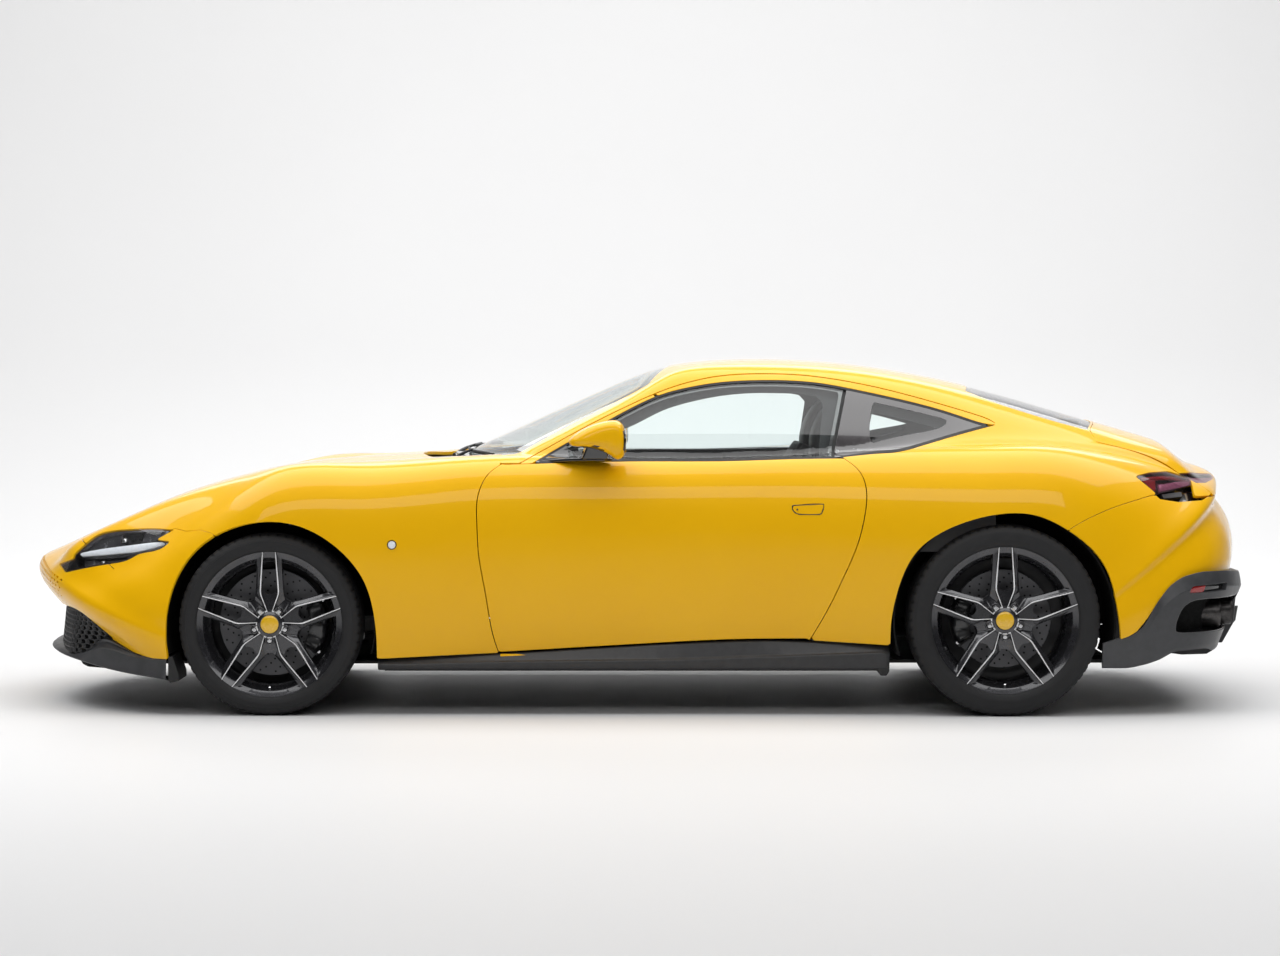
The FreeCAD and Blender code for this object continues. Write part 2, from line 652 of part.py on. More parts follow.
# ---- sills ----
sill = []
for s in (1,):
    o, i = [], []
    for x in lin(-.940, .912, 30):
        zt = pchip([p[0] for p in LOW], [p[1] for p in LOW], x) - .007
        ro, ri = [], []
        yo = .925 + .012 * sstep(.2, .9, x)
        for k, (dy, z) in enumerate(((-.035, zt), (-.012, .205), (.0, .196), (-.004, .176), (-.030, .164))):
            ro.append(V3(x * MM, -(yo + dy) * MM, z * MM))
            ri.append(V3(x * MM, -.80 * MM, z * MM))
        o.append(ro)
        i.append(ri)
    sill = slab(o, i)
both("sills", sill)

# ---- rear quarters ----
qt = skin(3.24, 4.745, 64, low_r, 1.10, 36, .008, side=-1)
keep = prism_y([shift(DOOR_R, .0055), [(.7525, .9385), (.884, .951), (.962, .958), (1.146, 1.006), (1.340, 1.052)], (1.45, 1.003), (1.60, .9999), (1.70, .985), (1.709, 1.2), (2.135, 1.2), (2.135, .792), (1.99, .791), (1.906, .802), (1.882, .800), [(1.882, .800), (1.792, .777), (1.711, .752), (1.623, .715), (1.566, .684)], (1.50, .60), (1.2, .30), (.94, .25),
                [(.918, .257), (.800, .264), (.6315, .274)]], -FAR, -.3)
qt = outside(inside(qt, keep), prism_y([ARCH_R], -FAR, -.3))
TLQ = [(1.829, .8655), (1.838, .871), (1.891, .880), (1.978, .881), (2.069, .857), (2.066, .829), (2.062, .780), (1.93, .78), (1.904, .802)]
qt = outside(qt, prism_y(TLQ, -FAR, -.3))
lid_gap = [(1.690, .606), [(1.712, .606), (1.80, .596), (1.90, .582), (2.00, .572), (2.06, .578), (2.11, .606), (2.16, .616), (2.40, .618)], (2.40, -.618),
           [(2.40, -.618), (2.16, -.616), (2.11, -.606), (2.06, -.578), (2.00, -.572), (1.90, -.582), (1.80, -.596), (1.712, -.606)], (1.690, -.606)]
qt = outside(qt, prism_z(lid_gap, .6, 1.3))
QT = biggest(qt, 1)
both("rear_quarters", QT)

# ---- roof with the pillars: the greenhouse frame between the glasses ----
rf_o, rf_i = [], []
NXR, NYR = 60, 41
for x in lin(-.56, 1.80, NXR):
    ro, ri = [], []
    ym = max(_B(x) + .010, .30)
    for k in range(NYR):
        t = -1 + 2.0 * k / (NYR - 1)
        y = ym * math.copysign(abs(t) ** .8, t)
        e = .002
        zz = z_green(x, y)
        nx = -(z_green(x + e, y) - z_green(x - e, y)) / (2 * e)
        ny = -(z_green(x, y + e) - z_green(x, y - e)) / (2 * e)
        n = unit((nx, ny, 1.0))
        ro.append(V3(x * MM, y * MM, zz * MM))
        ri.append(V3((x - .026 * n[0]) * MM, (y - .026 * n[1]) * MM, (zz - .026 * n[2]) * MM))
    rf_o.append(ro)
    rf_i.append(ri)
shell_top = slab(rf_o, rf_i)
WS = [[(.040, -.580), (-.067, -.600), (-.200, -.636), (-.330, -.675), (-.430, -.715), (-.500, -.760)],
      [(-.500, -.760), (-.62, -.50), (-.69, -.25), (-.71, 0), (-.69, .25), (-.62, .50), (-.500, .760)],
      [(-.500, .760), (-.430, .715), (-.330, .675), (-.200, .636), (-.067, .600), (.040, .580)],
      [(.040, .580), (.105, .30), (.125, 0), (.105, -.30), (.040, -.580)]]
RW = [[(1.235, -.470), (1.26, -.25), (1.268, 0), (1.26, .25), (1.235, .470)],
      [(1.235, .470), (1.317, .517), (1.45, .535), (1.563, .540), (1.690, .530)],
      [(1.690, .530), (1.735, .28), (1.75, 0), (1.735, -.28), (1.690, -.530)],
      [(1.690, -.530), (1.563, -.540), (1.45, -.535), (1.317, -.517), (1.235, -.470)]]
belt_keep = prism_y([(-.60, 1.40), (1.85, 1.40), (1.85, .985), (1.712, .985), (1.45, 1.003), [(1.340, 1.055), (1.146, 1.010), (.962, .962), (.884, .955), (.740, .938), (.535, .934),
                     (.300, .928), (-.054, .927), (-.385, .919), (-.500, .918)], (-.60, .918)], -FAR, FAR)
DLO_CUT = prism_y([[(-.430, .905), (-.385, .917)] + DLO[1:], (1.323, 1.050), (1.146, .98), (.8, .90), (-.43, .90)], -FAR, FAR)
glassy = prism_z(WS, .6, 1.5)
rearw = prism_z(RW, .6, 1.5)
roof = outside(outside(outside(inside(shell_top, belt_keep), DLO_CUT), glassy), rearw)
# the deck behind the window belongs to the lid
roof = outside(roof, prism_z([(1.70, -.60), (2.2, -.60), (2.2, .60), (1.70, .60)], .6, 1.4))
put("roof", biggest(roof, 1))


def glass_sheet(x0, x1, nx, pts_prism, t=.0048, off=.003, ypow=1.0, ymax=None):
    o, i = [], []
    for x in lin(x0, x1, nx):
        ro, ri = [], []
        ym = (ymax or (lambda q: _B(q)))(x)
        for k in range(33):
            tt = -1 + 2.0 * k / 32
            y = ym * tt
            e = .002
            zz = z_green(x, y)
            nx_ = -(z_green(x + e, y) - z_green(x - e, y)) / (2 * e)
            ny_ = -(z_green(x, y + e) - z_green(x, y - e)) / (2 * e)
            n = unit((nx_, ny_, 1.0))
            ro.append(V3((x - off * n[0]) * MM, (y - off * n[1]) * MM, (zz - off * n[2]) * MM))
            ri.append(V3((x - (off + t) * n[0]) * MM, (y - (off + t) * n[1]) * MM, (zz - (off + t) * n[2]) * MM))
        o.append(ro)
        i.append(ri)
    return inside(slab(o, i), pts_prism)


def shrink(runs, k, c):
    return [[(c + (x - c) * k, y * k) for x, y in r] for r in runs]


wsc = glass_sheet(-.76, .16, 30, prism_z(shrink(WS, .992, -.30), .6, 1.5)).common(box(-.9, .3, -.738, .738, .6, 1.5))
put("windscreen", biggest(wsc, 1))
put("rear_window", biggest(glass_sheet(1.20, 1.78, 22, prism_z(shrink(RW, .990, 1.50), .6, 1.5)), 1))


def side_glass(x0, x1, nx, z0, z1, nz, t, off, pr):
    o, i = [], []
    for x in lin(x0, x1, nx):
        ro, ri = [], []
        for z in lin(z0, z1, nz):
            zt = min(z, z_green(x, .30) - .012)
            y = y_green(x, zt)
            ro.append(V3(x * MM, -(y - off) * MM, z * MM))
            ri.append(V3(x * MM, -(y - off - t) * MM, z * MM))
        o.append(ro)
        i.append(ri)
    return inside(slab(o, i), pr)


dg = prism_y([[(-.350, .9255), (-.259, .982), (-.109, 1.064), (.060, 1.149), (.180, 1.184), (.300, 1.204), (.421, 1.212), (.547, 1.212), (.662, 1.204), (.762, 1.188)],
              (.704, .9348), (.535, .9316), (.300, .9246), (-.054, .9236), (-.350, .9158)], -FAR, -.3)
pair("door_glass", biggest(side_glass(-.40, .80, 30, .88, 1.225, 14, .0045, .003, dg), 1))
qg = prism_y([[(.781, 1.186), (.962, 1.146), (1.152, 1.096), (1.272, 1.058)], (1.300, 1.052), [(1.300, 1.052), (1.146, 1.013), (.962, .967), (.884, .960), (.719, .947)]], -FAR, -.3)
both("quarter_windows", biggest(side_glass(.68, 1.33, 20, .93, 1.20, 12, .0045, .003, qg), 1))

# ---- boot lid: from the window over the lip and down between the lamps ----
def prism_x(pts, x0, x1):
    """Rear-view outline (y, z) swept along the car."""
    w = [V3(x0 * MM, p[0] * MM, p[1] * MM) for p in pts]
    f = Part.Face(Part.makePolygon(w + [w[0]]))
    return f.extrude(V3((x1 - x0) * MM, 0, 0))


LID_F = [(1.700, -.525), (1.745, -.28), (1.760, 0), (1.745, .28), (1.700, .525)]
LID_S = [(1.712, .600), (1.80, .590), (1.90, .576), (2.00, .566), (2.06, .572), (2.11, .600), (2.16, .610), (2.40, .612)]


def lid_outline(g):
    side = [(x, y + g) for x, y in LID_S]
    return [[(x - g, y) for x, y in LID_F], [(x - g * (i == 0), y) for i, (x, y) in enumerate(side)], [(x - g * (i == len(side) - 1), -y) for i, (x, y) in enumerate(side[::-1])]]


lid = skin(4.20, 4.885, 40, .90, 2 * VMAX - .90, 45, .009)
lid = inside(lid, prism_z(lid_outline(0), .792, 1.2))
LAMP_IN = [(-.607, .836), (-.572, .872), (-.50, .874), (-.36, .866), (-.24, .861), (-.25, .850), (-.38, .842), (-.52, .834)]
lamp_cut = prism_x(LAMP_IN, 2.02, 2.40)
lid = outside(outside(lid, lamp_cut), mirror(lamp_cut))
put("boot_lid", biggest(lid, 1))
li = skin(4.62, 4.80, 14, .90, 1.40, 20, .020, off=.0025, side=-1)
li = inside(li, prism_x([(y * .996 - .0016, z * .97 + .856 * .03) for y, z in LAMP_IN], 2.02, 2.40))
li = inside(li, prism_z(lid_outline(-.001), .6, 1.3))
both("lid_lamps", biggest(li, 1))

# ---- rear bumper ----
rb = skin(4.22, SMAX - .03, 52, .43, 2 * VMAX - .43, 71, .008)
keep = prism_y([[(1.566, .680), (1.623, .711), (1.711, .748), (1.792, .773), (1.882, .796)], (1.901, .7965), (1.914, .783), (1.990, .771), (2.09, .775), (2.118, .786), (2.40, .786), (2.40, .44), (2.20, .50), (2.089, .514),
                (1.989, .495), (1.943, .469), (1.898, .426), (1.850, .355), (1.811, .309), (1.779, .291), (1.748, .282), (1.70, .30), (1.55, .60)], -FAR, FAR)
rbk = outside(inside(rb, keep), prism_y([ARCH_R], -FAR, FAR))
put("rear_bumper", biggest(rbk, 1))

# ---- tail lamps and the dark recess under them ----
tl = skin(4.44, 4.72, 14, .74, 1.10, 16, .032, off=.0015, side=-1)
TL = [(1.833, .865), (1.840, .868), (1.891, .877), (1.978, .878), (2.066, .854), (2.060, .832), (1.907, .804)]
tl_in = inside(tl, prism_y([(x * .99 + 1.95 * .01, z * .95 + .846 * .05) for x, z in TL], -FAR, -.3))
tl_in = outside(tl_in, prism_z(lid_gap, .6, 1.3))
both("tail_lights", biggest(tl_in, 1))
REC = [1.912, 1.945, 1.98, 2.01, 2.04]
rec_o = [(x, -(y_green(x, .80) - .030)) for x in REC]
rec_i = [(x, -(y_green(x, .80) - .055)) for x in reversed(REC)]
tr = prism_z(rec_o + rec_i, .7, .9).common(prism_y([(1.905, .801), (1.916, .780), (1.990, .768), (2.06, .770), (2.06, .829)], -FAR, -.3))
REC_S = biggest(tr, 1)

# ---- diffuser and lower rear, with the outlets in its corners ----
PLAN_D = Spl([0, .10, .20, .30, .41, .52, .63, .74, .87, 1.0], [1.690, 1.80, 1.90, 2.00, 2.095, 2.175, 2.238, 2.283, 2.314, 2.3265])
PLAN_Y = Spl([0, .10, .20, .30, .41, .52, .63, .74, .87, 1.0], [.952, .953, .942, .914, .862, .785, .670, .515, .275, 0])
TOP_D = [(0, .262), (.05, .280), (.09, .291), (.13, .316), (.19, .405), (.25, .470), (.31, .500), (.41, .5135), (.52, .512), (.63, .505), (.74, .497), (.87, .488), (1, .484)]
BOT_D = [(0, .172), (.07, .172), (.14, .183), (.20, .200), (.28, .232), (.41, .236), (.55, .222), (.74, .205), (1, .200)]


def diff_pt(u, t, off):
    uu = u if u <= 1 else 2 - u
    sg = -1 if u <= 1 else 1
    x, y = PLAN_D(uu), PLAN_Y(uu)
    e = .01
    dx, dy = PLAN_D(min(1, uu + e)) - PLAN_D(uu - e), PLAN_Y(min(1, uu + e)) - PLAN_Y(uu - e)
    n = unit((-dy, dx, 0))
    zt, zb = pchip([p[0] for p in TOP_D], [p[1] for p in TOP_D], uu), pchip([p[0] for p in BOT_D], [p[1] for p in BOT_D], uu)
    z = zb + (zt - zb) * t
    lean = (.105 * sstep(.25, .9, uu) + .022) * (1 - t) ** 1.25 + off
    return V3((x - n[0] * lean) * MM, sg * (y - n[1] * lean) * MM, z * MM)


us, ts = lin(.0, 2.0, 61), lin(0, 1, 9)
dif = slab([[diff_pt(u, t, 0) for t in ts] for u in us], [[diff_pt(u, t, .022) for t in ts] for u in us])
out_cut = prism_y([(1.968, .316), (1.985, .385), (2.010, .412), (2.060, .420), (2.40, .420), (2.40, .300), (2.00, .302)], -1.05, -.505)
dif = outside(outside(dif, out_cut), mirror(out_cut))
ref_cut = prism_y([(2.018, .455), (2.025, .472), (2.16, .478), (2.16, .447), (2.015, .441)], -1.0, -.60)
dif = outside(outside(dif, ref_cut), mirror(ref_cut))
# floor behind the outlets and under the boot, with vertical fins
DIF = biggest(dif, 1)
und = [box(1.80, 2.195, -.44, .44, .215, .227)]
for y in (-.33, -.165, 0, .165, .33):
    und[0] = und[0].fuse(prism_y([(1.90, .216), (2.19, .216), (2.20, .196), (2.10, .172), (1.93, .190)], y - .004, y + .004))
put("rear_diffuser", Part.makeCompound([biggest(dif, 1)] + und + [REC_S, mirror(REC_S)]))
tips = []
for y, x1 in ((-.715, 2.150), (-.590, 2.215)):
    for sg in (1, -1):
        c = Part.makeCone(44, 52, 150, V3((x1 - .150) * MM, sg * y * MM, 361), V3(1, 0, 0))
        tips.append(c.cut(Part.makeCone(40, 48.5, 151, V3((x1 - .1495) * MM, sg * y * MM, 361), V3(1, 0, 0))))
put("exhaust_tips", Part.makeCompound(tips))
# silencer box behind the bumper and its pipes
sil = box(1.90, 2.10, -.44, .44, .265, .42)
NODES.pop("exhaust_tips")
put("exhaust", Part.makeCompound(tips + [sil]))

# ---- splitter ----
LIP_Y = [0, .19, .38, .55, .675, .772, .853, .905, .93]
LIP_Z = [.206, .205, .200, .191, .179, .1625, .147, .138, .131]
TOP_Z = [.258, .256, .250, .240, .224, .214, .208, .2035, .202]
rings = []
for y in lin(-.90, .90, 31):
    a = abs(y)
    xf = -2.267 + .30 * a * a + .42 * a ** 5
    xb = -1.70 - .30 * (1 - (a / .92) ** 6)
    zl, zt = pchip(LIP_Y, LIP_Z, a), pchip(LIP_Y, TOP_Z, a)
    zu, d = min(zl, .150), xb - xf
    rings.append([V3(x * MM, y * MM, z * MM) for x, z in ((xf, zl), (xf + .002, zl + .014), (xf + .18 * d, zl + .014 + (zt - zl - .014) * .45), (xf + .4 * d, zt), (xb, zt), (xb, zu), (xf + .7 * d, zu))])
faces = [Part.Face(Part.makePolygon(rings[0] + rings[0][:1])), Part.Face(Part.makePolygon(rings[-1] + rings[-1][:1]))]
for A, B in zip(rings, rings[1:]):
    for j in range(len(A)):
        k = (j + 1) % len(A)
        for tri in ((A[j], B[j], B[k]), (A[j], B[k], A[k])):
            faces.append(Part.Face(Part.makePolygon(list(tri) + [tri[0]])))
lip = Part.makeSolid(Part.makeShell(faces))
if lip.Volume < 0:
    lip.reverse()
put("front_splitter", lip)
gr = box(-2.125, -2.115, -.55, .55, .262, .269)
for k in range(1, 5):
    gr = gr.fuse(box(-2.125, -2.115, -.55, .55, .262 + .0225 * k, .269 + .0225 * k))
for k in range(9):
    gr = gr.fuse(box(-2.125, -2.115, -.55 + k * .1365, -.542 + k * .1365, .262, .359))
put("intake_grille", gr)

# ---- floor, bulkheads, arch liners ----
put("floor_pan", Part.makeCompound([box(-.93, .90, -.78, .78, .150, .182), box(-1.988, -.945, -.50, .50, .152, .162), box(.925, 1.785, -.56, .56, .160, .172), box(1.75, 2.12, -.55, .55, .440, .460), box(1.060, 1.74, -.55, .55, .470, .490), box(.842, .857, -.55, .55, .184, .318), box(-.905, -.880, -.74, .74, .184, .880)]))


def liner(x, z, r, y0, y1, a0, a1, t=.006):
    ring = cyl_y(x, z, r, y0, y1).cut(cyl_y(x, z, r - t, y0 - .01, y1 + .01))
    ring = ring.common(box(x - 1, x + 1, y0, y1, .22, 1.2))
    return ring.fuse(cyl_y(x, z, r, y1 - .006, y1).common(box(x - 1, x + 1, y1 - .006, y1, .335, 1.2))).removeSplitter()


fl = liner(XF, .332, .388, -.925, -.535, 0, 180).cut(NODES["front_bumper"]).cut(FEN)
both("front_liners", biggest(fl, 1))
rl = liner(XR, .345, .405, -.945, -.640, 0, 180).cut(DIF).cut(QT)
both("rear_liners", biggest(rl, 1))

# ---- engine and gearbox as one mass ----
put("engine_block", box(-1.30, -.93, -.30, .30, .24, .76))
sub_f = box(-1.60, -1.10, -.34, .34, .180, .225)
sub_r = box(1.10, 1.56, -.38, .38, .205, .27)
for sg in (-1, 1):
    for dx in (-.16, .16):
        sub_f = sub_f.fuse(rod((XF + dx, sg * .32, .205), (XF + dx * .25, sg * .655, .215), .014))
        sub_r = sub_r.fuse(rod((XR + dx, sg * .36, .235), (XR + dx * .25, sg * .680, .240), .015))
    sub_r = sub_r.fuse(rod((XR, sg * .20, .255), (XR, sg * .30, .300), .020))
put("subframes", Part.makeCompound([sub_f, sub_r]))

# ---- cabin ----
dash = box(-.60, -.28, -.70, .70, .62, .865)
SW = (-.205, -.37, .80)                         # centre; the rim's plane leans forward at the top
sw = Part.makeTorus(165, 15, V3(-205, -370, 800), V3(.93, 0, .37)).fuse(rod(SW, (SW[0] - .098, SW[1], SW[2] - .039), .032))
for ang in (0, 180, 270):
    c_, s_ = math.cos(math.radians(ang)), math.sin(math.radians(ang))
    sw = sw.fuse(rod(SW, (SW[0] - .155 * s_ * .37, SW[1] + .155 * c_, SW[2] + .155 * s_ * .93), .011))
sw = sw.cut(box(-.62, -.28, -.72, .72, .60, .865))
put("steering_wheel", sw.removeSplitter())


def seat(y):
    b = box(.02, .50, y - .25, y + .25, .22, .44)
    back = Part.makeBox(110, 480, 620, V3(0, 0, 0))
    back = back.fuse(Part.makeBox(90, 260, 160, V3(8, 110, 620)))
    back.rotate(V3(0, 0, 0), V3(0, 1, 0), 20)
    back.translate(V3(.44 * MM, (y - .24) * MM, .42 * MM))
    return b, back.removeSplitter()


fs = seat(-.37)[0].fuse(seat(-.37)[1])
both("front_seats", fs)
put("rear_seat", box(.840, 1.055, -.55, .55, .320, .455).fuse(box(.940, 1.055, -.55, .55, .455, .860)).removeSplitter())
put("dashboard", dash.fuse(box(-.40, .80, -.10, .10, .19, .52)).fuse(box(-.40, -.30, -.10, .10, .50, .64)))

# ---- mirrors ----
m = FreeCAD.Matrix()
m.scale(1.36, 1.26, .93)
mr = Part.makeSphere(75).transformGeometry(m)
mr.translate(V3(-146, -936, 1003))
arm = rod((-.20, -.845, .925), (-.13, -.905, .955), .018)
mir = mr.fuse(arm).cut(box(-.30, -.16, -.95, -.78, .85, .9200))
pair("mirror", mir)

# =====================================================================================
# running gear
# =====================================================================================
AX = {"front_left": (XF, -1), "front_right": (XF, 1), "rear_left": (XR, -1), "rear_right": (XR, 1)}
R_TY = {"front": .332, "rear": .348}
Y_OUT = {"front": .949, "rear": .980}           # outer side wall of the tyre
W_TY = {"front": .245, "rear": .285}
R_RIM = {"front": .2755, "rear": .2785}


def revolve_y(pts, x, z):
    """Ring from a closed (y, r) profile about the wheel's axis."""
    w = Part.makePolygon([V3(0, a * MM, b * MM) for a, b in pts + [pts[0]]])
    f = Part.Face(w)
    s = f.revolve(V3(0, 0, 0), V3(0, 1, 0), 360)
    s.translate(V3(x * MM, 0, z * MM))
    return s


def tyre(ax, sg, x, z):
    R, W, yo, rr = R_TY[ax], W_TY[ax], Y_OUT[ax], R_RIM[ax] - .012
    yi = yo - W
    pts = [(yo - .032, rr), (yo - .0235, rr), (yo - .0160, rr + .0132), (yo - .0115, rr + .0145), (yo - .004, rr + .018), (yo, rr + .032), (yo - .006, R - .022), (yo - .016, R - .008), (yo - .032, R - .0015), (yo - W / 2, R),
           (yi + .032, R - .0015), (yi + .016, R - .008), (yi + .006, R - .022), (yi, rr + .032), (yi + .004, rr + .018), (yi + .018, rr),
           (yi + .022, rr + .008), (yi + .012, rr + .034), (yi + .016, R - .022), (yi + .034, R - .012), (yo - .034, R - .012), (yo - .016, R - .022), (yo - .014, rr + .034), (yo - .030, rr + .008)]
    return revolve_y([(sg * a, b) for a, b in pts], x, z)


def wheel(ax, sg, x, z):
    R, W, yo = R_RIM[ax], W_TY[ax], Y_OUT[ax]
    f = yo - .012                                # face of the rim flange
    r = R - .004
    prof = [(f, R), (f - .004, R + .0), (f - .010, R - .013), (f - .030, R - .020), (f - .08, R - .050), (f - W + .06, R - .046), (f - W + .045, R - .020), (f - W + .026, R - .013), (f - W + .020, R),
            (f - W + .016, R - .004), (f - W + .024, R - .020), (f - W + .055, R - .055), (f - .085, R - .058), (f - .034, R - .028), (f - .006, R - .010)]
    rim = revolve_y([(sg * a, b) for a, b in prof], x, z)
    hub = cyl_y(x, z, .078, sg * (f - .065), sg * (f - .022))
    out = rim.fuse(hub)
    for k in range(5):
        a = math.radians(90 + 72 * k)
        for e in (-1, 1):
            # one limb of a double spoke, from the hub out to the rim
            pts = [(.060, e * .012), (.115, e * .024), (R - .022, e * .016), (R - .022, e * .040), (.118, e * .046), (.060, e * .034)]
            w = []
            for (rr, tt) in pts:
                w.append(V3((rr * math.cos(a) - tt * math.sin(a)) * MM, 0, (rr * math.sin(a) + tt * math.cos(a)) * MM))
            face = Part.Face(Part.makePolygon(w + [w[0]]))
            limb = face.extrude(V3(0, sg * .034 * MM, 0))
            limb.translate(V3(x * MM, sg * (f - .044) * MM, z * MM))
            out = out.fuse(limb)
    # seat of the bolts and the brake disc with its bell
    for k in range(5):
        a = math.radians(90 + 36 + 72 * k)
        bx, bz = x + .060 * math.cos(a), z + .060 * math.sin(a)
        out = out.cut(cyl_y(bx, bz, .0095, sg * (f - .034), sg * (f + .01)))
    return out


def disc(ax, sg, x, z):
    rd = .195 if ax == "front" else .180
    yd = Y_OUT[ax] - .150
    d = cyl_y(x, z, rd, sg * (yd - .017), sg * (yd + .017)).cut(cyl_y(x, z, .100, sg * (yd - .03), sg * (yd + .03)))
    bell = cyl_y(x, z, .104, sg * (yd - .012), sg * (Y_OUT[ax] - .077)).cut(cyl_y(x, z, .088, sg * (yd - .02), sg * (Y_OUT[ax] - .086)))
    return d.fuse(bell)


def knuckle(ax, sg, x, z):
    yd = Y_OUT[ax] - .150
    k = cyl_y(x, z, .045, sg * (yd - .115), sg * (Y_OUT[ax] - .088))
    k = k.fuse(box(x - .035, x + .035, sg * (yd - .085), sg * (yd - .050), z - .10, z + .13))
    return k


def caliper(ax, sg, x, z):
    rd = .195 if ax == "front" else .180
    yd = Y_OUT[ax] - .150
    ring = cyl_y(x, z, rd + .016, sg * (yd - .052), sg * (yd + .050)).cut(cyl_y(x, z, rd - .052, sg * (yd - .06), sg * (yd + .06)))
    ring = ring.cut(cyl_y(x, z, rd + .006, sg * (yd - .023), sg * (yd + .023)))
    sgx = 1 if ax == "front" else -1
    wdg = Part.Face(Part.makePolygon([V3(0, 0, 0), V3(sgx * 500, 0, -230), V3(sgx * 500, 0, 260), V3(0, 0, 0)])).extrude(V3(0, 3000, 0))
    wdg.translate(V3(x * MM, -1500, z * MM))
    return ring.common(wdg)


RK = []
for name, (x, sg) in AX.items():
    ax = name.split("_")[0]
    z = R_TY[ax]
    put("tyre_" + name, tyre(ax, sg, x, z))
    put("wheel_" + name, wheel(ax, sg, x, z))
    put("brake_disc_" + name, disc(ax, sg, x, z))
    k = knuckle(ax, sg, x, z).fuse(caliper(ax, sg, x, z))
    if ax == "front":
        put("knuckle_" + name, k)
    else:
        RK.append(k)
put("rear_knuckles", Part.makeCompound(RK))

os.makedirs("parts", exist_ok=True)
for name, sh in NODES.items():
    sh.exportStep("parts/" + name + ".step")
print(len(NODES), "nodes", round(time.time() - T0), "s")
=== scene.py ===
import bpy
import bmesh
import json
import numpy as np
from mathutils import Matrix, Vector

import math

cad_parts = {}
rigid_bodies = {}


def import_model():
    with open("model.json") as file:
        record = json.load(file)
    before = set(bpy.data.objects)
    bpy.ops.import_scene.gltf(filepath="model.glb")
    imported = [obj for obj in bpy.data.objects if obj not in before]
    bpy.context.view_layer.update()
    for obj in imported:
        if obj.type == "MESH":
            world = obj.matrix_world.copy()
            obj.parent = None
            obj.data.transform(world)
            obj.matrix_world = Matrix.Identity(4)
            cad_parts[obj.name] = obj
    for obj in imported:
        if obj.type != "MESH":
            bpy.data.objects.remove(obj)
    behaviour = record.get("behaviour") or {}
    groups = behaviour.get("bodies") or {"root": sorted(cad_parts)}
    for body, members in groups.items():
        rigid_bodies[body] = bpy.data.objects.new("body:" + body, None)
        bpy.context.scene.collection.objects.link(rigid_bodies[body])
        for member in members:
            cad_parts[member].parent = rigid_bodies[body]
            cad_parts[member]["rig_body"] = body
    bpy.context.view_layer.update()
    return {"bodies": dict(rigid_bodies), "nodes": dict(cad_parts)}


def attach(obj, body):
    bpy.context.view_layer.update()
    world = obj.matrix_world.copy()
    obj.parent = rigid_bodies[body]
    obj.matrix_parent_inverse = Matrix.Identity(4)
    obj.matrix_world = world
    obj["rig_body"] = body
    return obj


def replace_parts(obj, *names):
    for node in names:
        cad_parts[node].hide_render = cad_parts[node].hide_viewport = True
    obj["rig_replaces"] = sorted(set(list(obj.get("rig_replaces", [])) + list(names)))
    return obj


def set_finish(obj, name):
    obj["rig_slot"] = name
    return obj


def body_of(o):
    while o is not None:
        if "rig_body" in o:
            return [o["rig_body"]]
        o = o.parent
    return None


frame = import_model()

# ---- driving dimensions, metres -------------------------------------------------
XF, XR, ZP = -1.337, 1.333, 0.13          # front axle, rear axle, height of the fan pivots
ROWV = [0.0, .17, .35, .49, .60, .694, .784, .876, 1.046, 1.306, 1.606]


class Spl:
    """Natural cubic spline through (x, y)."""

    def __init__(self, xs, ys, slope0=None, slope1=None):
        n = len(xs)
        self.x, self.y = list(xs), list(ys)
        a, b, c, d = [0.0] * n, [1.0] * n, [0.0] * n, [0.0] * n
        for i in range(1, n - 1):
            h0, h1 = xs[i] - xs[i - 1], xs[i + 1] - xs[i]
            a[i], b[i], c[i] = h0, 2 * (h0 + h1), h1
            d[i] = 6 * ((ys[i + 1] - ys[i]) / h1 - (ys[i] - ys[i - 1]) / h0)
        if slope0 is not None:
            h = xs[1] - xs[0]
            b[0], c[0], d[0] = 2 * h, h, 6 * ((ys[1] - ys[0]) / h - slope0)
        if slope1 is not None:
            h = xs[-1] - xs[-2]
            a[-1], b[-1], d[-1] = h, 2 * h, 6 * (slope1 - (ys[-1] - ys[-2]) / h)
        for i in range(1, n):
            w = a[i] / b[i - 1]
            b[i] -= w * c[i - 1]
            d[i] -= w * d[i - 1]
        m = [0.0] * n
        m[-1] = d[-1] / b[-1]
        for i in range(n - 2, -1, -1):
            m[i] = (d[i] - c[i] * m[i + 1]) / b[i]
        self.m = m

    def __call__(self, t):
        x, y, m = self.x, self.y, self.m
        n = len(x)
        if t <= x[0]:
            h = x[1] - x[0]
            s = (y[1] - y[0]) / h - h * (2 * m[0] + m[1]) / 6
            return y[0] + s * (t - x[0])
        if t >= x[-1]:
            h = x[-1] - x[-2]
            s = (y[-1] - y[-2]) / h + h * (m[-2] + 2 * m[-1]) / 6
            return y[-1] + s * (t - x[-1])
        lo, hi = 0, n - 1
        while hi - lo > 1:
            k = (lo + hi) // 2
            if x[k] <= t:
                lo = k
            else:
                hi = k
        h = x[hi] - x[lo]
        A, B = (x[hi] - t) / h, (t - x[lo]) / h
        return A * y[lo] + B * y[hi] + ((A ** 3 - A) * m[lo] + (B ** 3 - B) * m[hi]) * h * h / 6


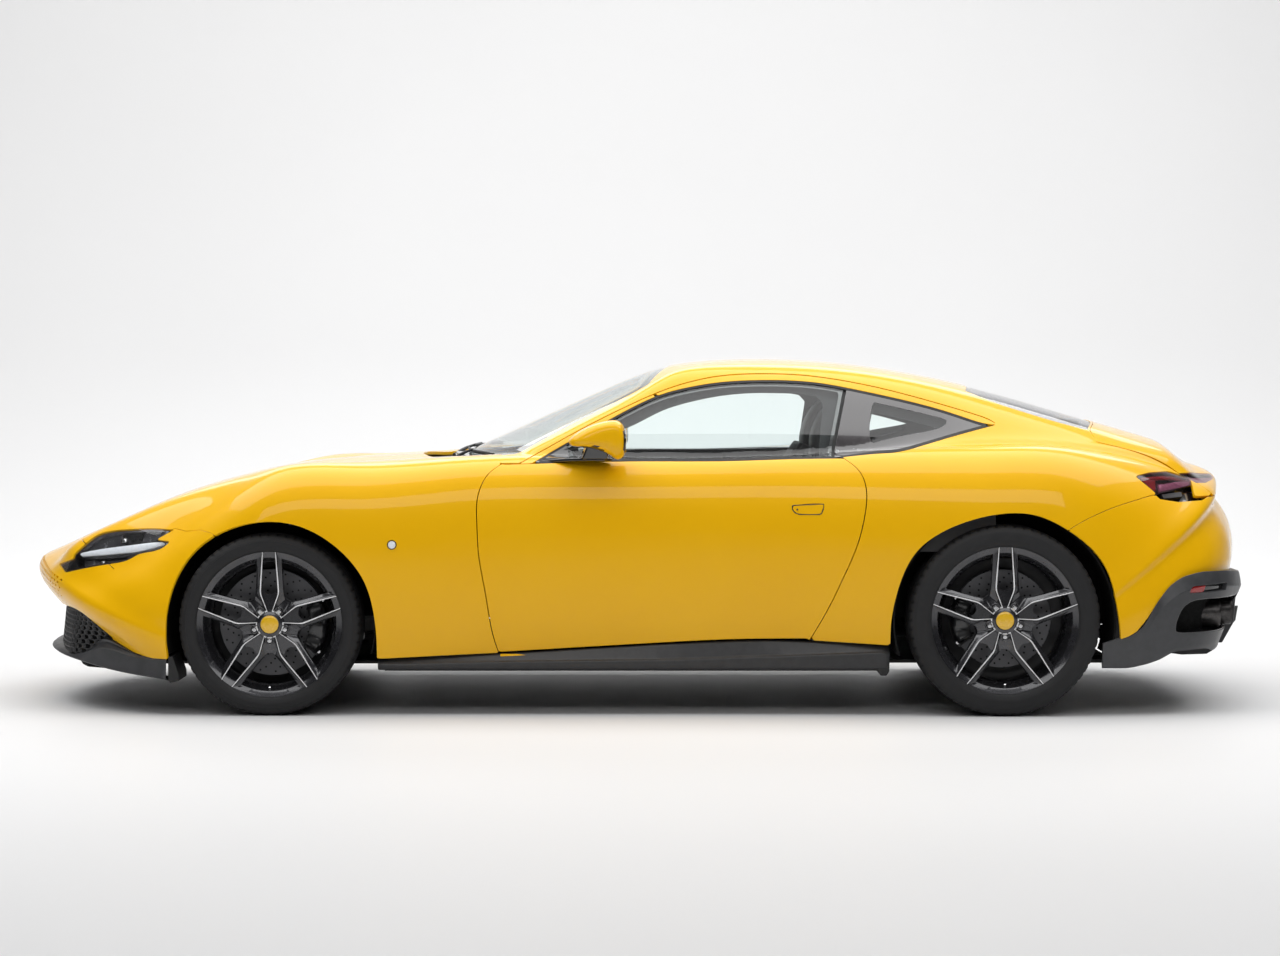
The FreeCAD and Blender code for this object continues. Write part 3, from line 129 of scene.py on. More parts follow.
def pchip(xs, ys, t):
    """Monotone cubic through the points."""
    n = len(xs)
    h = [xs[i + 1] - xs[i] for i in range(n - 1)]
    d = [(ys[i + 1] - ys[i]) / h[i] for i in range(n - 1)]
    m = [0.0] * n
    m[0], m[-1] = d[0], d[-1]
    for i in range(1, n - 1):
        if d[i - 1] * d[i] > 0:
            w1, w2 = 2 * h[i] + h[i - 1], h[i] + 2 * h[i - 1]
            m[i] = (w1 + w2) / (w1 / d[i - 1] + w2 / d[i])
    i = min(n - 2, max(0, sum(1 for x in xs if x <= t) - 1))
    u = (t - xs[i]) / h[i]
    u = min(1.0, max(0.0, u))
    return ((1 + 2 * u) * (1 - u) ** 2 * ys[i] + u * (1 - u) ** 2 * h[i] * m[i]
            + u * u * (3 - 2 * u) * ys[i + 1] + u * u * (u - 1) * h[i] * m[i + 1])


def sstep(a, b, x):
    t = min(1.0, max(0.0, (x - a) / (b - a)))
    return t * t * t * (t * (6 * t - 15) + 10)


# ---- lower body: sections as (half width, height) or, in the two fans, (half width, radius / R) ----
# middle sections at constant x: rows from the rocker up over the shoulder to the centreline
MID = {
    -1.337: [(.925, .15), (.950, .32), (.9635, .50), (.965, .64), (.947, .755), (.900, .838), (.828, .884), (.735, .897), (.56, .882), (.30, .888), (0, .896)],
    -1.020: [(.915, .15), (.943, .32), (.956, .50), (.957, .64), (.943, .762), (.903, .850), (.838, .901), (.745, .918), (.56, .915), (.30, .921), (0, .927)],
    -0.620: [(.885, .15), (.928, .32), (.944, .50), (.945, .64), (.936, .765), (.906, .858), (.856, .912), (.775, .937), (.56, .937), (.30, .943), (0, .948)],
    -0.200: [(.865, .15), (.916, .32), (.936, .50), (.938, .64), (.930, .765), (.902, .860), (.856, .916), (.780, .946), (.56, .952), (.30, .955), (0, .955)],
    0.230: [(.860, .15), (.913, .32), (.934, .50), (.937, .64), (.930, .765), (.903, .860), (.857, .918), (.780, .948), (.56, .955), (.30, .955), (0, .955)],
    0.640: [(.872, .15), (.925, .32), (.947, .50), (.951, .64), (.943, .768), (.914, .866), (.864, .928), (.785, .956), (.56, .958), (.30, .958), (0, .958)],
    1.000: [(.905, .15), (.953, .32), (.972, .50), (.976, .64), (.965, .772), (.930, .874), (.872, .941), (.792, .971), (.57, .962), (.30, .962), (0, .962)],
    1.333: [(.935, .15), (.968, .32), (.984, .50), (.987, .64), (.973, .775), (.935, .878), (.874, .946), (.790, .977), (.58, .965), (.30, .965), (0, .965)],
}
# nose and tail sections: half width against share of R, at angles about the pivot
NOSE = [(.925, .047), (.953, .19), (.956, .313), (.938, .427), (.893, .54), (.826, .645), (.735, .74), (.612, .83), (.450, .91), (.245, .972), (0, 1)]
LIP = [(.925, .045), (.953, .20), (.958, .36), (.945, .50), (.905, .61), (.848, .70), (.765, .785), (.655, .930), (.480, .976), (.25, .994), (0, 1)]
BROW = [(.925, .040), (.953, .215), (.960, .385), (.950, .535), (.915, .648), (.868, .725), (.805, .795), (.700, .930), (.540, .980), (.28, .996), (0, 1)]
TAIL = [(.935, .05), (.975, .17), (.985, .30), (.972, .43), (.937, .56), (.883, .68), (.800, .785), (.680, .870), (.500, .935), (.265, .982), (0, 1)]
# centreline profile, side view
CF = [(-2.10, .13), (-2.115, .20), (-2.150, .28), (-2.205, .345), (-2.262, .400), (-2.305, .455), (-2.326, .500), (-2.320, .532), (-2.285, .556),
      (-2.22, .584), (-2.10, .636), (-1.98, .688), (-1.86, .741), (-1.74, .790), (-1.62, .829), (-1.48, .866), (-1.337, .896)]
CR = [(1.333, .965), (1.55, .967), (1.72, .966), (1.86, .960), (1.98, .944), (2.08, .920), (2.16, .893), (2.215, .871), (2.233, .852), (2.222, .828), (2.226, .795),
      (2.250, .752), (2.280, .700), (2.296, .640), (2.298, .570), (2.285, .50), (2.26, .43), (2.22, .33), (2.17, .22), (2.13, .13)]


def _polar(pts, x0, sgn):
    """(angle from the horizontal, radius) of a profile about a pivot, by rising angle."""
    out = []
    for x, z in pts:
        dx, dz = sgn * (x - x0), z - ZP
        out.append((math.degrees(math.atan2(dz, dx)), math.hypot(dx, dz)))
    return sorted(out)


PF, PR = _polar(CF, XF, -1), _polar(CR, XR, 1)
FRONT_A = [0, 8, 14, 18, 20.5, 22.5, 24.3, 26.5, 30, 36, 44, 54, 65, 77, 90]
REAR_A = [90, 78, 67, 57, 49, 43.5, 40.5, 38.7, 37, 34.5, 31, 26, 20, 13, 6, 0]


def _arclen_spline(pts):
    """x(t), z(t) splines by chord length, so that a profile may turn tightly."""
    t = [0.0]
    for (a, b), (c, d) in zip(pts, pts[1:]):
        t.append(t[-1] + math.hypot(c - a, d - b) ** 0.5)
    return t, Spl(t, [p[0] for p in pts]), Spl(t, [p[1] for p in pts])


def _cross(pts, x0, sgn, ang):
    """The point where the profile crosses the half plane at ang about the pivot."""
    t, fx, fz = _arclen_spline(pts)
    n, best = 600, None
    prev = None
    for i in range(n + 1):
        u = t[-1] * i / n
        x, z = fx(u), fz(u)
        a = math.degrees(math.atan2(z - ZP, sgn * (x - x0)))
        if prev is not None and (prev[0] - ang) * (a - ang) <= 0 and prev[0] != a:
            w = (ang - prev[0]) / (a - prev[0])
            return prev[1] + w * (x - prev[1]), prev[2] + w * (z - prev[2])
        if best is None or abs(a - ang) < best[0]:
            best = (abs(a - ang), x, z)
        prev = (a, x, z)
    return best[1], best[2]


def build_net():
    cols = []
    for a in FRONT_A[:-1]:
        cx, cz = _cross(CF, XF, -1, a)
        R = math.hypot(cx - XF, cz - ZP)
        A = MID[-1.337]
        ra = A[-1][1] - ZP
        full = [(y, (z - ZP) / ra) for y, z in A]
        keys = [(-10, NOSE), (0, NOSE), (20.5, NOSE), (34, LIP), (46, BROW), (90, full)]
        row = []
        for j in range(11):
            y = pchip([k[0] for k in keys], [k[1][j][0] for k in keys], a)
            r = pchip([k[0] for k in keys], [k[1][j][1] for k in keys], a)
            row.append((XF - R * r * math.cos(math.radians(a)), y, ZP + R * r * math.sin(math.radians(a))))
        cols.append(row)
    for x in sorted(MID):
        cols.append([(x, y, z) for y, z in MID[x]])
    for a in REAR_A[1:]:
        cx, cz = _cross(CR, XR, 1, a)
        R = math.hypot(cx - XR, cz - ZP)
        w = 1 - sstep(30, 88, a)
        A = MID[1.333]
        ra = A[-1][1] - ZP
        row = []
        for (ya, za), (yb, rb) in zip(A, TAIL):
            y = ya + (yb - ya) * w
            r = ((za - ZP) / ra) * (1 - w) + rb * w
            row.append((XR + R * r * math.cos(math.radians(a)), y, ZP + R * r * math.sin(math.radians(a))))
        cols.append(row)
    return cols


NET = build_net()
COLS = [0.0]
for _a, _b in zip(NET, NET[1:]):
    COLS.append(COLS[-1] + sum(math.dist(p, q) for p, q in zip(_a[4:], _b[4:])) / 7)
SMAX, VMAX = COLS[-1], ROWV[-1]


# ---- the same outer surface as the CAD, evaluated on whole arrays -----------------
class Basis:
    """Natural cubic spline weights of every knot, for many parameters at once."""

    def __init__(self, xs):
        x = self.x = np.array(xs, float)
        n = self.n = len(x)
        A, R = np.zeros((n, n)), np.zeros((n, n))
        A[0, 0] = A[-1, -1] = 1
        for i in range(1, n - 1):
            h0, h1 = x[i] - x[i - 1], x[i + 1] - x[i]
            A[i, i - 1], A[i, i], A[i, i + 1] = h0, 2 * (h0 + h1), h1
            R[i, i - 1], R[i, i], R[i, i + 1] = 6 / h0, -6 / h0 - 6 / h1, 6 / h1
        self.M = np.linalg.solve(A, R)

    def __call__(self, t):
        x, n = self.x, self.n
        t = np.clip(np.asarray(t, float).ravel(), x[0], x[-1])
        k = np.clip(np.searchsorted(x, t, side="right") - 1, 0, n - 2)
        h = x[k + 1] - x[k]
        a, b = (x[k + 1] - t) / h, (t - x[k]) / h
        W = ((a ** 3 - a) * h * h / 6)[:, None] * self.M[k] + ((b ** 3 - b) * h * h / 6)[:, None] * self.M[k + 1]
        i = np.arange(len(t))
        W[i, k] += a
        W[i, k + 1] += b
        return W


class NS:
    """Natural spline through values, on arrays."""

    def __init__(self, xs, ys):
        self.b, self.y = Basis(xs), np.array(ys, float)

    def __call__(self, t):
        t = np.asarray(t, float)
        return (self.b(t) @ self.y).reshape(t.shape)


ROWS21 = ROWV + [2 * VMAX - t for t in ROWV[-2::-1]]
_net = np.array(NET)
_full = np.concatenate([_net, _net[:, -2::-1] * np.array([1, -1, 1.0])], axis=1)
_bs, _bv = Basis(COLS), Basis(ROWS21)


# ---- greenhouse ------------------------------------------------------------------
_H = NS([-1.10, -.90, -.71, -.50, -.28, -.10, .06, .17, .30, .45, .62, .82, 1.01, 1.20, 1.32, 1.45, 1.58, 1.71, 1.84, 2.00, 2.20, 2.40],
         [.735, .832, .924, 1.022, 1.122, 1.201, 1.262, 1.284, 1.2965, 1.301, 1.297, 1.281, 1.254, 1.217, 1.188, 1.152, 1.111, 1.065, 1.015, .950, .860, .760])
_B = NS([-1.2, -.8, -.5, -.2, .1, .4, .7, 1.0, 1.3, 1.6, 1.9, 2.2, 2.5],
         [.66, .725, .768, .797, .812, .816, .805, .775, .722, .650, .565, .47, .37])
_C = NS([-1.2, -.2, .05, .30, .60, .90, 1.2, 1.6, 2.0, 2.5],
         [.0, .0, .02, .07, .09, .10, .13, .17, .17, .15])
TH_A, TH_B, ZBELT = .50, .38, .925


def nstep(a, b, x):
    t = np.clip((x - a) / (b - a), 0, 1)
    return t * t * t * (t * (6 * t - 15) + 10)


def z_top(x, y):
    k = .44 * (1 - nstep(-.15, .45, x))
    return _H(x - k * y * y) - _C(x) * y * y


def z_side(x, y):
    d = _B(x) - np.abs(y)
    up = ZBELT + (-TH_A + np.sqrt(TH_A * TH_A + 4 * TH_B * np.maximum(d, 0))) / (2 * TH_B)
    return np.where(d <= 0, ZBELT + d / TH_A - 80 * d * d, up)


def nmin(a, b, k):
    h = np.maximum(k - np.abs(a - b), 0.0) / k
    return np.minimum(a, b) - h * h * h * k / 6


def nmax(a, b, k):
    h = np.maximum(k - np.abs(a - b), 0.0) / k
    return np.maximum(a, b) + h * h * h * k / 6


def z_green(x, y):
    k = .07 + .10 * nstep(-.1, .5, x) + .08 * nstep(.9, 1.5, x)
    return nmin(z_top(x, y), z_side(x, y), k)


def S(s, v):
    """Points of the outer surface, (n, 3), right side for v < VMAX."""
    s, v = np.asarray(s, float).ravel(), np.asarray(v, float).ravel()
    G = (_bs(s) @ _full.reshape(len(COLS), -1)).reshape(-1, 21, 3)
    p = np.einsum("nj,njk->nk", _bv(v), G)
    x, y, z = p[:, 0], p[:, 1], p[:, 2]
    vv = np.minimum(v, 2 * VMAX - v)
    w = nstep(.72, .86, vv)
    w = np.where((x < -1.3) | ((x > 1.6) & (z < .60)), 0, w)
    zg = z_green(x, y) - 9 * np.maximum(x - 1.98, 0) ** 2
    k = .02 + .26 * nstep(.75, 1.35, x)
    p[:, 2] = z + w * (nmax(z, zg, k) - z)
    return p


def SN(s, v, e=.003):
    """Points and outward unit normals."""
    s, v = np.asarray(s, float).ravel(), np.asarray(v, float).ravel()
    a, b = S(np.maximum(0, s - e), v), S(np.minimum(SMAX, s + e), v)
    c, d = S(s, v - e), S(s, v + e)
    n = -np.cross(b - a, d - c)
    n /= np.linalg.norm(n, axis=1)[:, None] + 1e-12
    return S(s, v), n


# ---- mesh helpers -----------------------------------------------------------------
def smooth_run(pts, n=10):
    """Smooth curve through points, densified."""
    if len(pts) < 3:
        return list(pts)
    t = [0.0]
    for a, b in zip(pts, pts[1:]):
        t.append(t[-1] + math.dist(a, b) ** .5 + 1e-9)
    fs = [NS(t, [p[k] for p in pts]) for k in range(len(pts[0]))]
    tt = []
    for a, b in zip(t, t[1:]):
        tt += [a + (b - a) * i / n for i in range(n)]
    tt.append(t[-1])
    tt = np.array(tt)
    return [tuple(r) for r in np.stack([f(tt) for f in fs], 1)]


def outline(items, n=8):
    """Closed polygon: nested lists are smooth runs, single points are corners."""
    out = []
    for it in items:
        for p in (smooth_run(it, n) if isinstance(it, list) else [it]):
            if not out or math.dist(out[-1], p) > 1e-5:
                out.append(tuple(p))
    if math.dist(out[0], out[-1]) < 1e-5:
        out.pop()
    return np.array(out)


def sdist(poly, q):
    """Signed distance to a polygon, positive inside."""
    a, b = poly, np.roll(poly, -1, axis=0)
    best = np.full(len(q), 1e9)
    ins = np.zeros(len(q), bool)
    for (ax, ay), (bx, by) in zip(a, b):
        dx, dy = bx - ax, by - ay
        L = dx * dx + dy * dy
        t = np.clip(((q[:, 0] - ax) * dx + (q[:, 1] - ay) * dy) / L, 0, 1)
        d = (q[:, 0] - ax - t * dx) ** 2 + (q[:, 1] - ay - t * dy) ** 2
        best = np.minimum(best, d)
        if ay != by:
            c = ((ay > q[:, 1]) != (by > q[:, 1])) & (q[:, 0] < (bx - ax) * (q[:, 1] - ay) / (by - ay) + ax)
            ins ^= c
    return np.where(ins, 1, -1) * np.sqrt(best)


def in_side(items, n=8):
    """Keep what is inside a side-view outline (x, z)."""
    P = items if isinstance(items, np.ndarray) else outline(items, n)
    return lambda p, s, v: sdist(P, p[:, [0, 2]])


def in_plan(items, n=8):
    P = items if isinstance(items, np.ndarray) else outline(items, n)
    return lambda p, s, v: sdist(P, p[:, [0, 1]])


def in_rear(items, n=8):
    P = items if isinstance(items, np.ndarray) else outline(items, n)
    return lambda p, s, v: sdist(P, p[:, [1, 2]])


def neg(f):
    return lambda p, s, v: -f(p, s, v)


def only(f, cond, other=1.0):
    """f where cond holds, else the constant."""
    return lambda p, s, v: np.where(cond(p), f(p, s, v), other)


def either(*fs):
    return lambda p, s, v: np.maximum.reduce([f(p, s, v) for f in fs])


def clip_mesh(Sv, Vv, polys, fn, side, surf=None):
    """Cuts polygons in (s, v) by fn > 0; new corners lie on the outline."""
    mir = np.array([1, side, 1.0])
    surf = surf or S
    f = fn(surf(Sv, Vv) * mir, Sv, Vv)
    f = np.where(np.abs(f) < 2e-5, -2e-5, f)
    keep, edges, mixed = [], {}, []
    for q in polys:
        pos = [f[i] > 0 for i in q]
        if all(pos):
            keep.append(q)
        elif any(pos):
            mixed.append(q)
            for a, b in zip(q, q[1:] + q[:1]):
                if (f[a] > 0) != (f[b] > 0):
                    edges.setdefault((min(a, b), max(a, b)), len(edges))
    if edges:
        E = np.array(list(edges))
        lo = np.where((f[E[:, 0]] > 0)[:, None], E, E[:, ::-1])
        s0, v0, s1, v1 = Sv[lo[:, 0]], Vv[lo[:, 0]], Sv[lo[:, 1]], Vv[lo[:, 1]]
        ta, tb = np.zeros(len(E)), np.ones(len(E))
        fa, fb = f[lo[:, 0]].copy(), f[lo[:, 1]].copy()
        for k in range(7):
            t = ta + (tb - ta) * np.clip(fa / (fa - fb), .08, .92) if k < 6 else ta + (tb - ta) * fa / (fa - fb)
            if k == 6:
                break
            ss, vv = s0 + (s1 - s0) * t, v0 + (v1 - v0) * t
            ft = fn(surf(ss, vv) * mir, ss, vv)
            up = ft > 0
            ta, fa = np.where(up, t, ta), np.where(up, ft, fa)
            tb, fb = np.where(up, tb, t), np.where(up, fb, np.minimum(ft, -1e-12))
        base = len(Sv)
        Sv = np.concatenate([Sv, s0 + (s1 - s0) * t])
        Vv = np.concatenate([Vv, v0 + (v1 - v0) * t])
        for q in mixed:
            out = []
            for a, b in zip(q, q[1:] + q[:1]):
                if f[a] > 0:
                    out.append(a)
                if (f[a] > 0) != (f[b] > 0):
                    out.append(base + edges[(min(a, b), max(a, b))])
            if len(out) >= 3:
                keep.append(out)
    return Sv, Vv, keep


def compact(Sv, Vv, polys):
    used = sorted({i for q in polys for i in q})
    m = {u: k for k, u in enumerate(used)}
    return Sv[used], Vv[used], [[m[i] for i in q] for q in polys]


def weld(P, N, polys, tol):
    """Joins corners closer than tol, drops faces that vanish."""
    key, rep = {}, []
    for i, p in enumerate(P):
        k = tuple(np.round(p / tol).astype(int))
        rep.append(key.setdefault(k, i))
    out = []
    for q in polys:
        r = []
        for i in q:
            j = rep[i]
            if not r or r[-1] != j:
                r.append(j)
        if len(r) > 1 and r[0] == r[-1]:
            r.pop()
        if len(set(r)) == len(r) >= 3:
            out.append(r)
    used = sorted({i for q in out for i in q})
    m = {u: k for k, u in enumerate(used)}
    return P[used], N[used], [[m[i] for i in q] for q in out]


def mesh_obj(name, P, polys, mat=None, N=None, smooth=True):
    me = bpy.data.meshes.new(name)
    me.from_pydata([tuple(p) for p in np.asarray(P, float).tolist()], [], [list(q) for q in polys])
    me.update()
    if smooth:
        me.polygons.foreach_set("use_smooth", [True] * len(me.polygons))
    if N is not None:
        me.normals_split_custom_set_from_vertices([tuple(n) for n in np.asarray(N, float).tolist()])
    ob = bpy.data.objects.new(name, me)
    bpy.context.scene.collection.objects.link(ob)
    if mat is not None:
        for m in (mat if isinstance(mat, (list, tuple)) else [mat]):
            me.materials.append(m)
    return ob


def boundary(polys):
    seen = {}
    for q in polys:
        for a, b in zip(q, q[1:] + q[:1]):
            if (b, a) in seen:
                del seen[(b, a)]
            else:
                seen[(a, b)] = 1
    return list(seen)


def panel(name, s0, s1, v0, v1, clips, mat, body, off=0.0, side=1, step=.010, rim=.0012, depth=.012, back=None, slot=None, rep=(), sstep=None, vstep=None, fn=None, inner=None, surf=None, mat2=None):
    """A body panel cut out of the outer surface, with rounded, folded edges. back closes it with an inner skin that far below."""
    ns = max(2, int(round((s1 - s0) / (sstep or step))) + 1)
    nv = max(2, int(round((v1 - v0) / (vstep or step))) + 1)
    ss, vv = np.linspace(s0, s1, ns), np.linspace(v0, v1, nv)
    Sv, Vv = np.repeat(ss, nv), np.tile(vv, ns)
    polys = [[i * nv + j, (i + 1) * nv + j, (i + 1) * nv + j + 1, i * nv + j + 1] for i in range(ns - 1) for j in range(nv - 1)]
    for c in clips:
        Sv, Vv, polys = clip_mesh(Sv, Vv, polys, c, side, surf)
        Sv, Vv, polys = compact(Sv, Vv, polys)
    P, N = normals_of(surf, Sv, Vv) if surf else SN(Sv, Vv)
    mir = np.array([1, side, 1.0])
    P, N = P * mir, N * mir
    if fn is not None:
        P, N = fn(P, N, Sv, Vv)
    P = P + N * off
    P, N, polys = weld(P, N, polys, .0006)
    # winding: face normal along N
    q = polys[len(polys) // 2]
    fnv = np.cross(P[q[1]] - P[q[0]], P[q[2]] - P[q[0]])
    if fnv @ N[q[0]] < 0:
        polys = [r[::-1] for r in polys]
    n_out = len(polys)
    if rim or depth or back:
        n_out += len(boundary(polys)) * ((3 if rim else 0) + (1 if depth else 0))
        P, N, polys = fold(P, N, polys, rim, depth, back, inner)
    ob = mesh_obj(name, P, polys, [mat, mat2] if mat2 else mat, N)
    if mat2:
        ob.data.polygons.foreach_set("material_index", [int(i >= n_out) for i in range(len(polys))])
    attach(ob, body)
    if slot:
        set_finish(ob, slot)
    if rep:
        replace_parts(ob, *rep)
    return ob


def normals_of(surf, s, v, e=.002):
    a, b, c, d = surf(s - e, v), surf(s + e, v), surf(s, v - e), surf(s, v + e)
    n = np.cross(b - a, d - c)
    n /= np.linalg.norm(n, axis=1)[:, None] + 1e-12
    P = surf(s, v)
    if np.sum(n[:, 1] * P[:, 1]) < 0:
        n = -n
    return P, n


def fold(P, N, polys, rim, depth, back=None, inner=None):
    be = boundary(polys)
    out = np.zeros_like(P)
    for a, b in be:
        d = P[b] - P[a]
        t = np.cross(d, N[a] + N[b])
        L = np.linalg.norm(t)
        if L > 1e-12:
            t = t / L * np.linalg.norm(d)
        out[a] += t
        out[b] += t
    bv = sorted({i for e in be for i in e})
    T = out[bv]
    T -= N[bv] * np.sum(T * N[bv], 1)[:, None]
    T /= np.linalg.norm(T, axis=1)[:, None] + 1e-12
    idx = {b: k for k, b in enumerate(bv)}
    B, NB = P[bv], N[bv]
    rings, norms = [], []
    if rim:
        for th in (35, 65, 90):
            c, s_ = math.cos(math.radians(th)), math.sin(math.radians(th))
            rings.append(B + NB * rim * (c - 1) + T * rim * s_)
            norms.append(NB * c + T * s_)
    if depth:
        rings.append(B + T * (rim or 0) - NB * depth)
        norms.append(T.copy())
    n0 = len(P)
    allP, allN = [P] + rings, [N] + norms
    faces = list(polys)
    m = len(bv)
    prev = {b: b for b in bv}
    for k in range(len(rings)):
        cur = {b: n0 + k * m + idx[b] for b in bv}
        for a, b in be:
            faces.append([prev[b], prev[a], cur[a], cur[b]])
        prev = cur
    Pn, Nn = np.concatenate(allP), np.concatenate(allN)
    if back or inner is not None:
        # inner skin: the same layout, pushed in, facing the other way
        base = len(Pn)
        Q = inner(P, N) if inner is not None else P - N * back
        Pn = np.concatenate([Pn, Q])
        if inner is not None:
            NI = np.zeros_like(Q)
            for q in polys:
                w = -np.cross(Q[q[1]] - Q[q[0]], Q[q[2]] - Q[q[0]])
                for i in q:
                    NI[i] += w
            NI /= np.linalg.norm(NI, axis=1)[:, None] + 1e-12
        else:
            NI = -N
        Nn = np.concatenate([Nn, NI])
        faces += [[base + i for i in q[::-1]] for q in polys]
        for a, b in be:
            faces.append([prev[b], prev[a], base + a, base + b])
    return Pn, Nn, faces


def grid_obj(name, G, mat, close_u=False, close_v=False, body=None, slot=None, flip=False, sharp=None):
    """A surface through a grid of points."""
    G = np.asarray(G, float)
    nu, nv = G.shape[:2]
    polys = []
    for i in range(nu if close_u else nu - 1):
        for j in range(nv if close_v else nv - 1):
            a, b = i * nv + j, ((i + 1) % nu) * nv + j
            c, d = ((i + 1) % nu) * nv + (j + 1) % nv, i * nv + (j + 1) % nv
            polys.append([a, b, c, d] if not flip else [d, c, b, a])
    ob = mesh_obj(name, G.reshape(-1, 3), polys, mat)
    if body:
        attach(ob, body)
    if slot:
        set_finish(ob, slot)
    return ob


def lathe(name, prof, c, mat, n=96, axis=1, body=None, slot=None, sg=1, smooth=True, close=True):
    """Turns a closed (a, r) profile about an axis through c; a runs along sg * axis."""
    P, polys = [], []
    m = len(prof)
    for i in range(n):
        t = 2 * math.pi * i / n
        for a, r in prof:
            q = [0, 0, 0]
            q[axis] = sg * a
            q[(axis + 1) % 3] = r * math.cos(t)
            q[(axis + 2) % 3] = r * math.sin(t)
            P.append([c[0] + q[0], c[1] + q[1], c[2] + q[2]])
    for i in range(n):
        k = (i + 1) % n
        for j in range(m if close else m - 1):
            l = (j + 1) % m
            polys.append([i * m + j, k * m + j, k * m + l, i * m + l])
    if sg < 0:
        polys = [q[::-1] for q in polys]
    ob = mesh_obj(name, P, polys, mat, smooth=smooth)
    fix_normals(ob)
    if body:
        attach(ob, body)
    if slot:
        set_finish(ob, slot)
    return ob


def fix_normals(ob):
    bm = bmesh.new()
    bm.from_mesh(ob.data)
    bmesh.ops.recalc_face_normals(bm, faces=bm.faces)
    bm.to_mesh(ob.data)
    bm.free()


def bevel(ob, w, seg=2, angle=35, sub=0):
    m = ob.modifiers.new("bevel", "BEVEL")
    m.width, m.segments, m.limit_method, m.angle_limit = w, seg, "ANGLE", math.radians(angle)
    m.harden_normals = True
    if sub:
        k = ob.modifiers.new("sub", "SUBSURF")
        k.levels = k.render_levels = sub
    return ob


def solid(name, P, polys, mat, body, slot=None, bev=.002, seg=2, smooth=True, sub=0):
    ob = mesh_obj(name, P, polys, mat, smooth=smooth)
    fix_normals(ob)
    if bev:
        bevel(ob, bev, seg, sub=sub)
    elif sub:
        k = ob.modifiers.new("sub", "SUBSURF")
        k.levels = k.render_levels = sub
    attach(ob, body)
    if slot:
        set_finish(ob, slot)
    return ob


def prism(name, loop, vec, mat, body, slot=None, bev=.002, seg=2, sub=0):
    """A closed outline of 3-D points pushed along vec."""
    L = np.array(loop, float)
    m = len(L)
    P = np.concatenate([L, L + np.array(vec)])
    polys = [list(range(m))[::-1], list(range(m, 2 * m))] + [[i, (i + 1) % m, m + (i + 1) % m, m + i] for i in range(m)]
    return solid(name, P, polys, mat, body, slot, bev, seg, sub=sub)


def cube(name, x0, x1, y0, y1, z0, z1, mat, body, slot=None, bev=.004, seg=3):
    return prism(name, [(x0, y0, z0), (x1, y0, z0), (x1, y1, z0), (x0, y1, z0)], (0, 0, z1 - z0), mat, body, slot, bev, seg)


def tube(name, pts, r, mat, body, slot=None, n=12, caps=True, smooth_n=6, radii=None):
    """A round bar along a smooth line of points."""
    C = np.array(smooth_run([tuple(p) for p in pts], smooth_n)) if len(pts) > 2 else np.array(pts, float)
    m = len(C)
    rr = np.interp(np.linspace(0, 1, m), np.linspace(0, 1, len(radii)), radii) if radii is not None else np.full(m, r)
    T = np.gradient(C, axis=0)
    T /= np.linalg.norm(T, axis=1)[:, None] + 1e-12
    up = np.array([0, 0, 1.0]) if abs(T[0][2]) < .8 else np.array([0, 1.0, 0])
    P, polys = [], []
    for i in range(m):
        a = np.cross(T[i], up)
        a /= np.linalg.norm(a) + 1e-12
        b = np.cross(T[i], a)
        for k in range(n):
            t = 2 * math.pi * k / n
            P.append(C[i] + rr[i] * (a * math.cos(t) + b * math.sin(t)))
    for i in range(m - 1):
        for k in range(n):
            polys.append([i * n + k, (i + 1) * n + k, (i + 1) * n + (k + 1) % n, i * n + (k + 1) % n])
    if caps:
        polys.append(list(range(n))[::-1])
        polys.append([(m - 1) * n + k for k in range(n)])
    ob = mesh_obj(name, P, polys, mat)
    fix_normals(ob)
    if caps:
        bevel(ob, min(r, .02) * .18, 2, 50)
    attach(ob, body)
    if slot:
        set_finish(ob, slot)
    return ob


def join(name, obs):
    """Several meshes as one piece, modifiers applied first."""
    dg = bpy.context.evaluated_depsgraph_get()
    first = obs[0]
    mats, V, F, MI, SM = [], [], [], [], []
    body = body_of(first)
    for o in obs:
        e = o.evaluated_get(dg)
        me = e.to_mesh()
        base = len(V)
        mw = o.matrix_world
        V += [tuple(mw @ v.co) for v in me.vertices]
        remap = []
        for m in o.data.materials:
            if m not in mats:
                mats.append(m)
            remap.append(mats.index(m))
        for p in me.polygons:
            F.append([base + i for i in p.vertices])
            MI.append(remap[p.material_index] if remap else 0)
            SM.append(p.use_smooth)
        e.to_mesh_clear()
    sl = first.get("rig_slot")
    reps = [r for o in obs for r in o.get("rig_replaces", [])]
    for o in obs:
        bpy.data.objects.remove(o)
    me = bpy.data.meshes.new(name)
    me.from_pydata(V, [], F)
    me.update()
    for m in mats:
        me.materials.append(m)
    me.polygons.foreach_set("material_index", MI)
    me.polygons.foreach_set("use_smooth", SM)
    try:
        me.set_sharp_from_angle(angle=math.radians(38))
    except AttributeError:
        pass
    ob = bpy.data.objects.new(name, me)
    bpy.context.scene.collection.objects.link(ob)
    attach(ob, body[0] if isinstance(body, list) else body)
    if sl:
        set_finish(ob, sl)
    if reps:
        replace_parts(ob, *reps)
    return ob


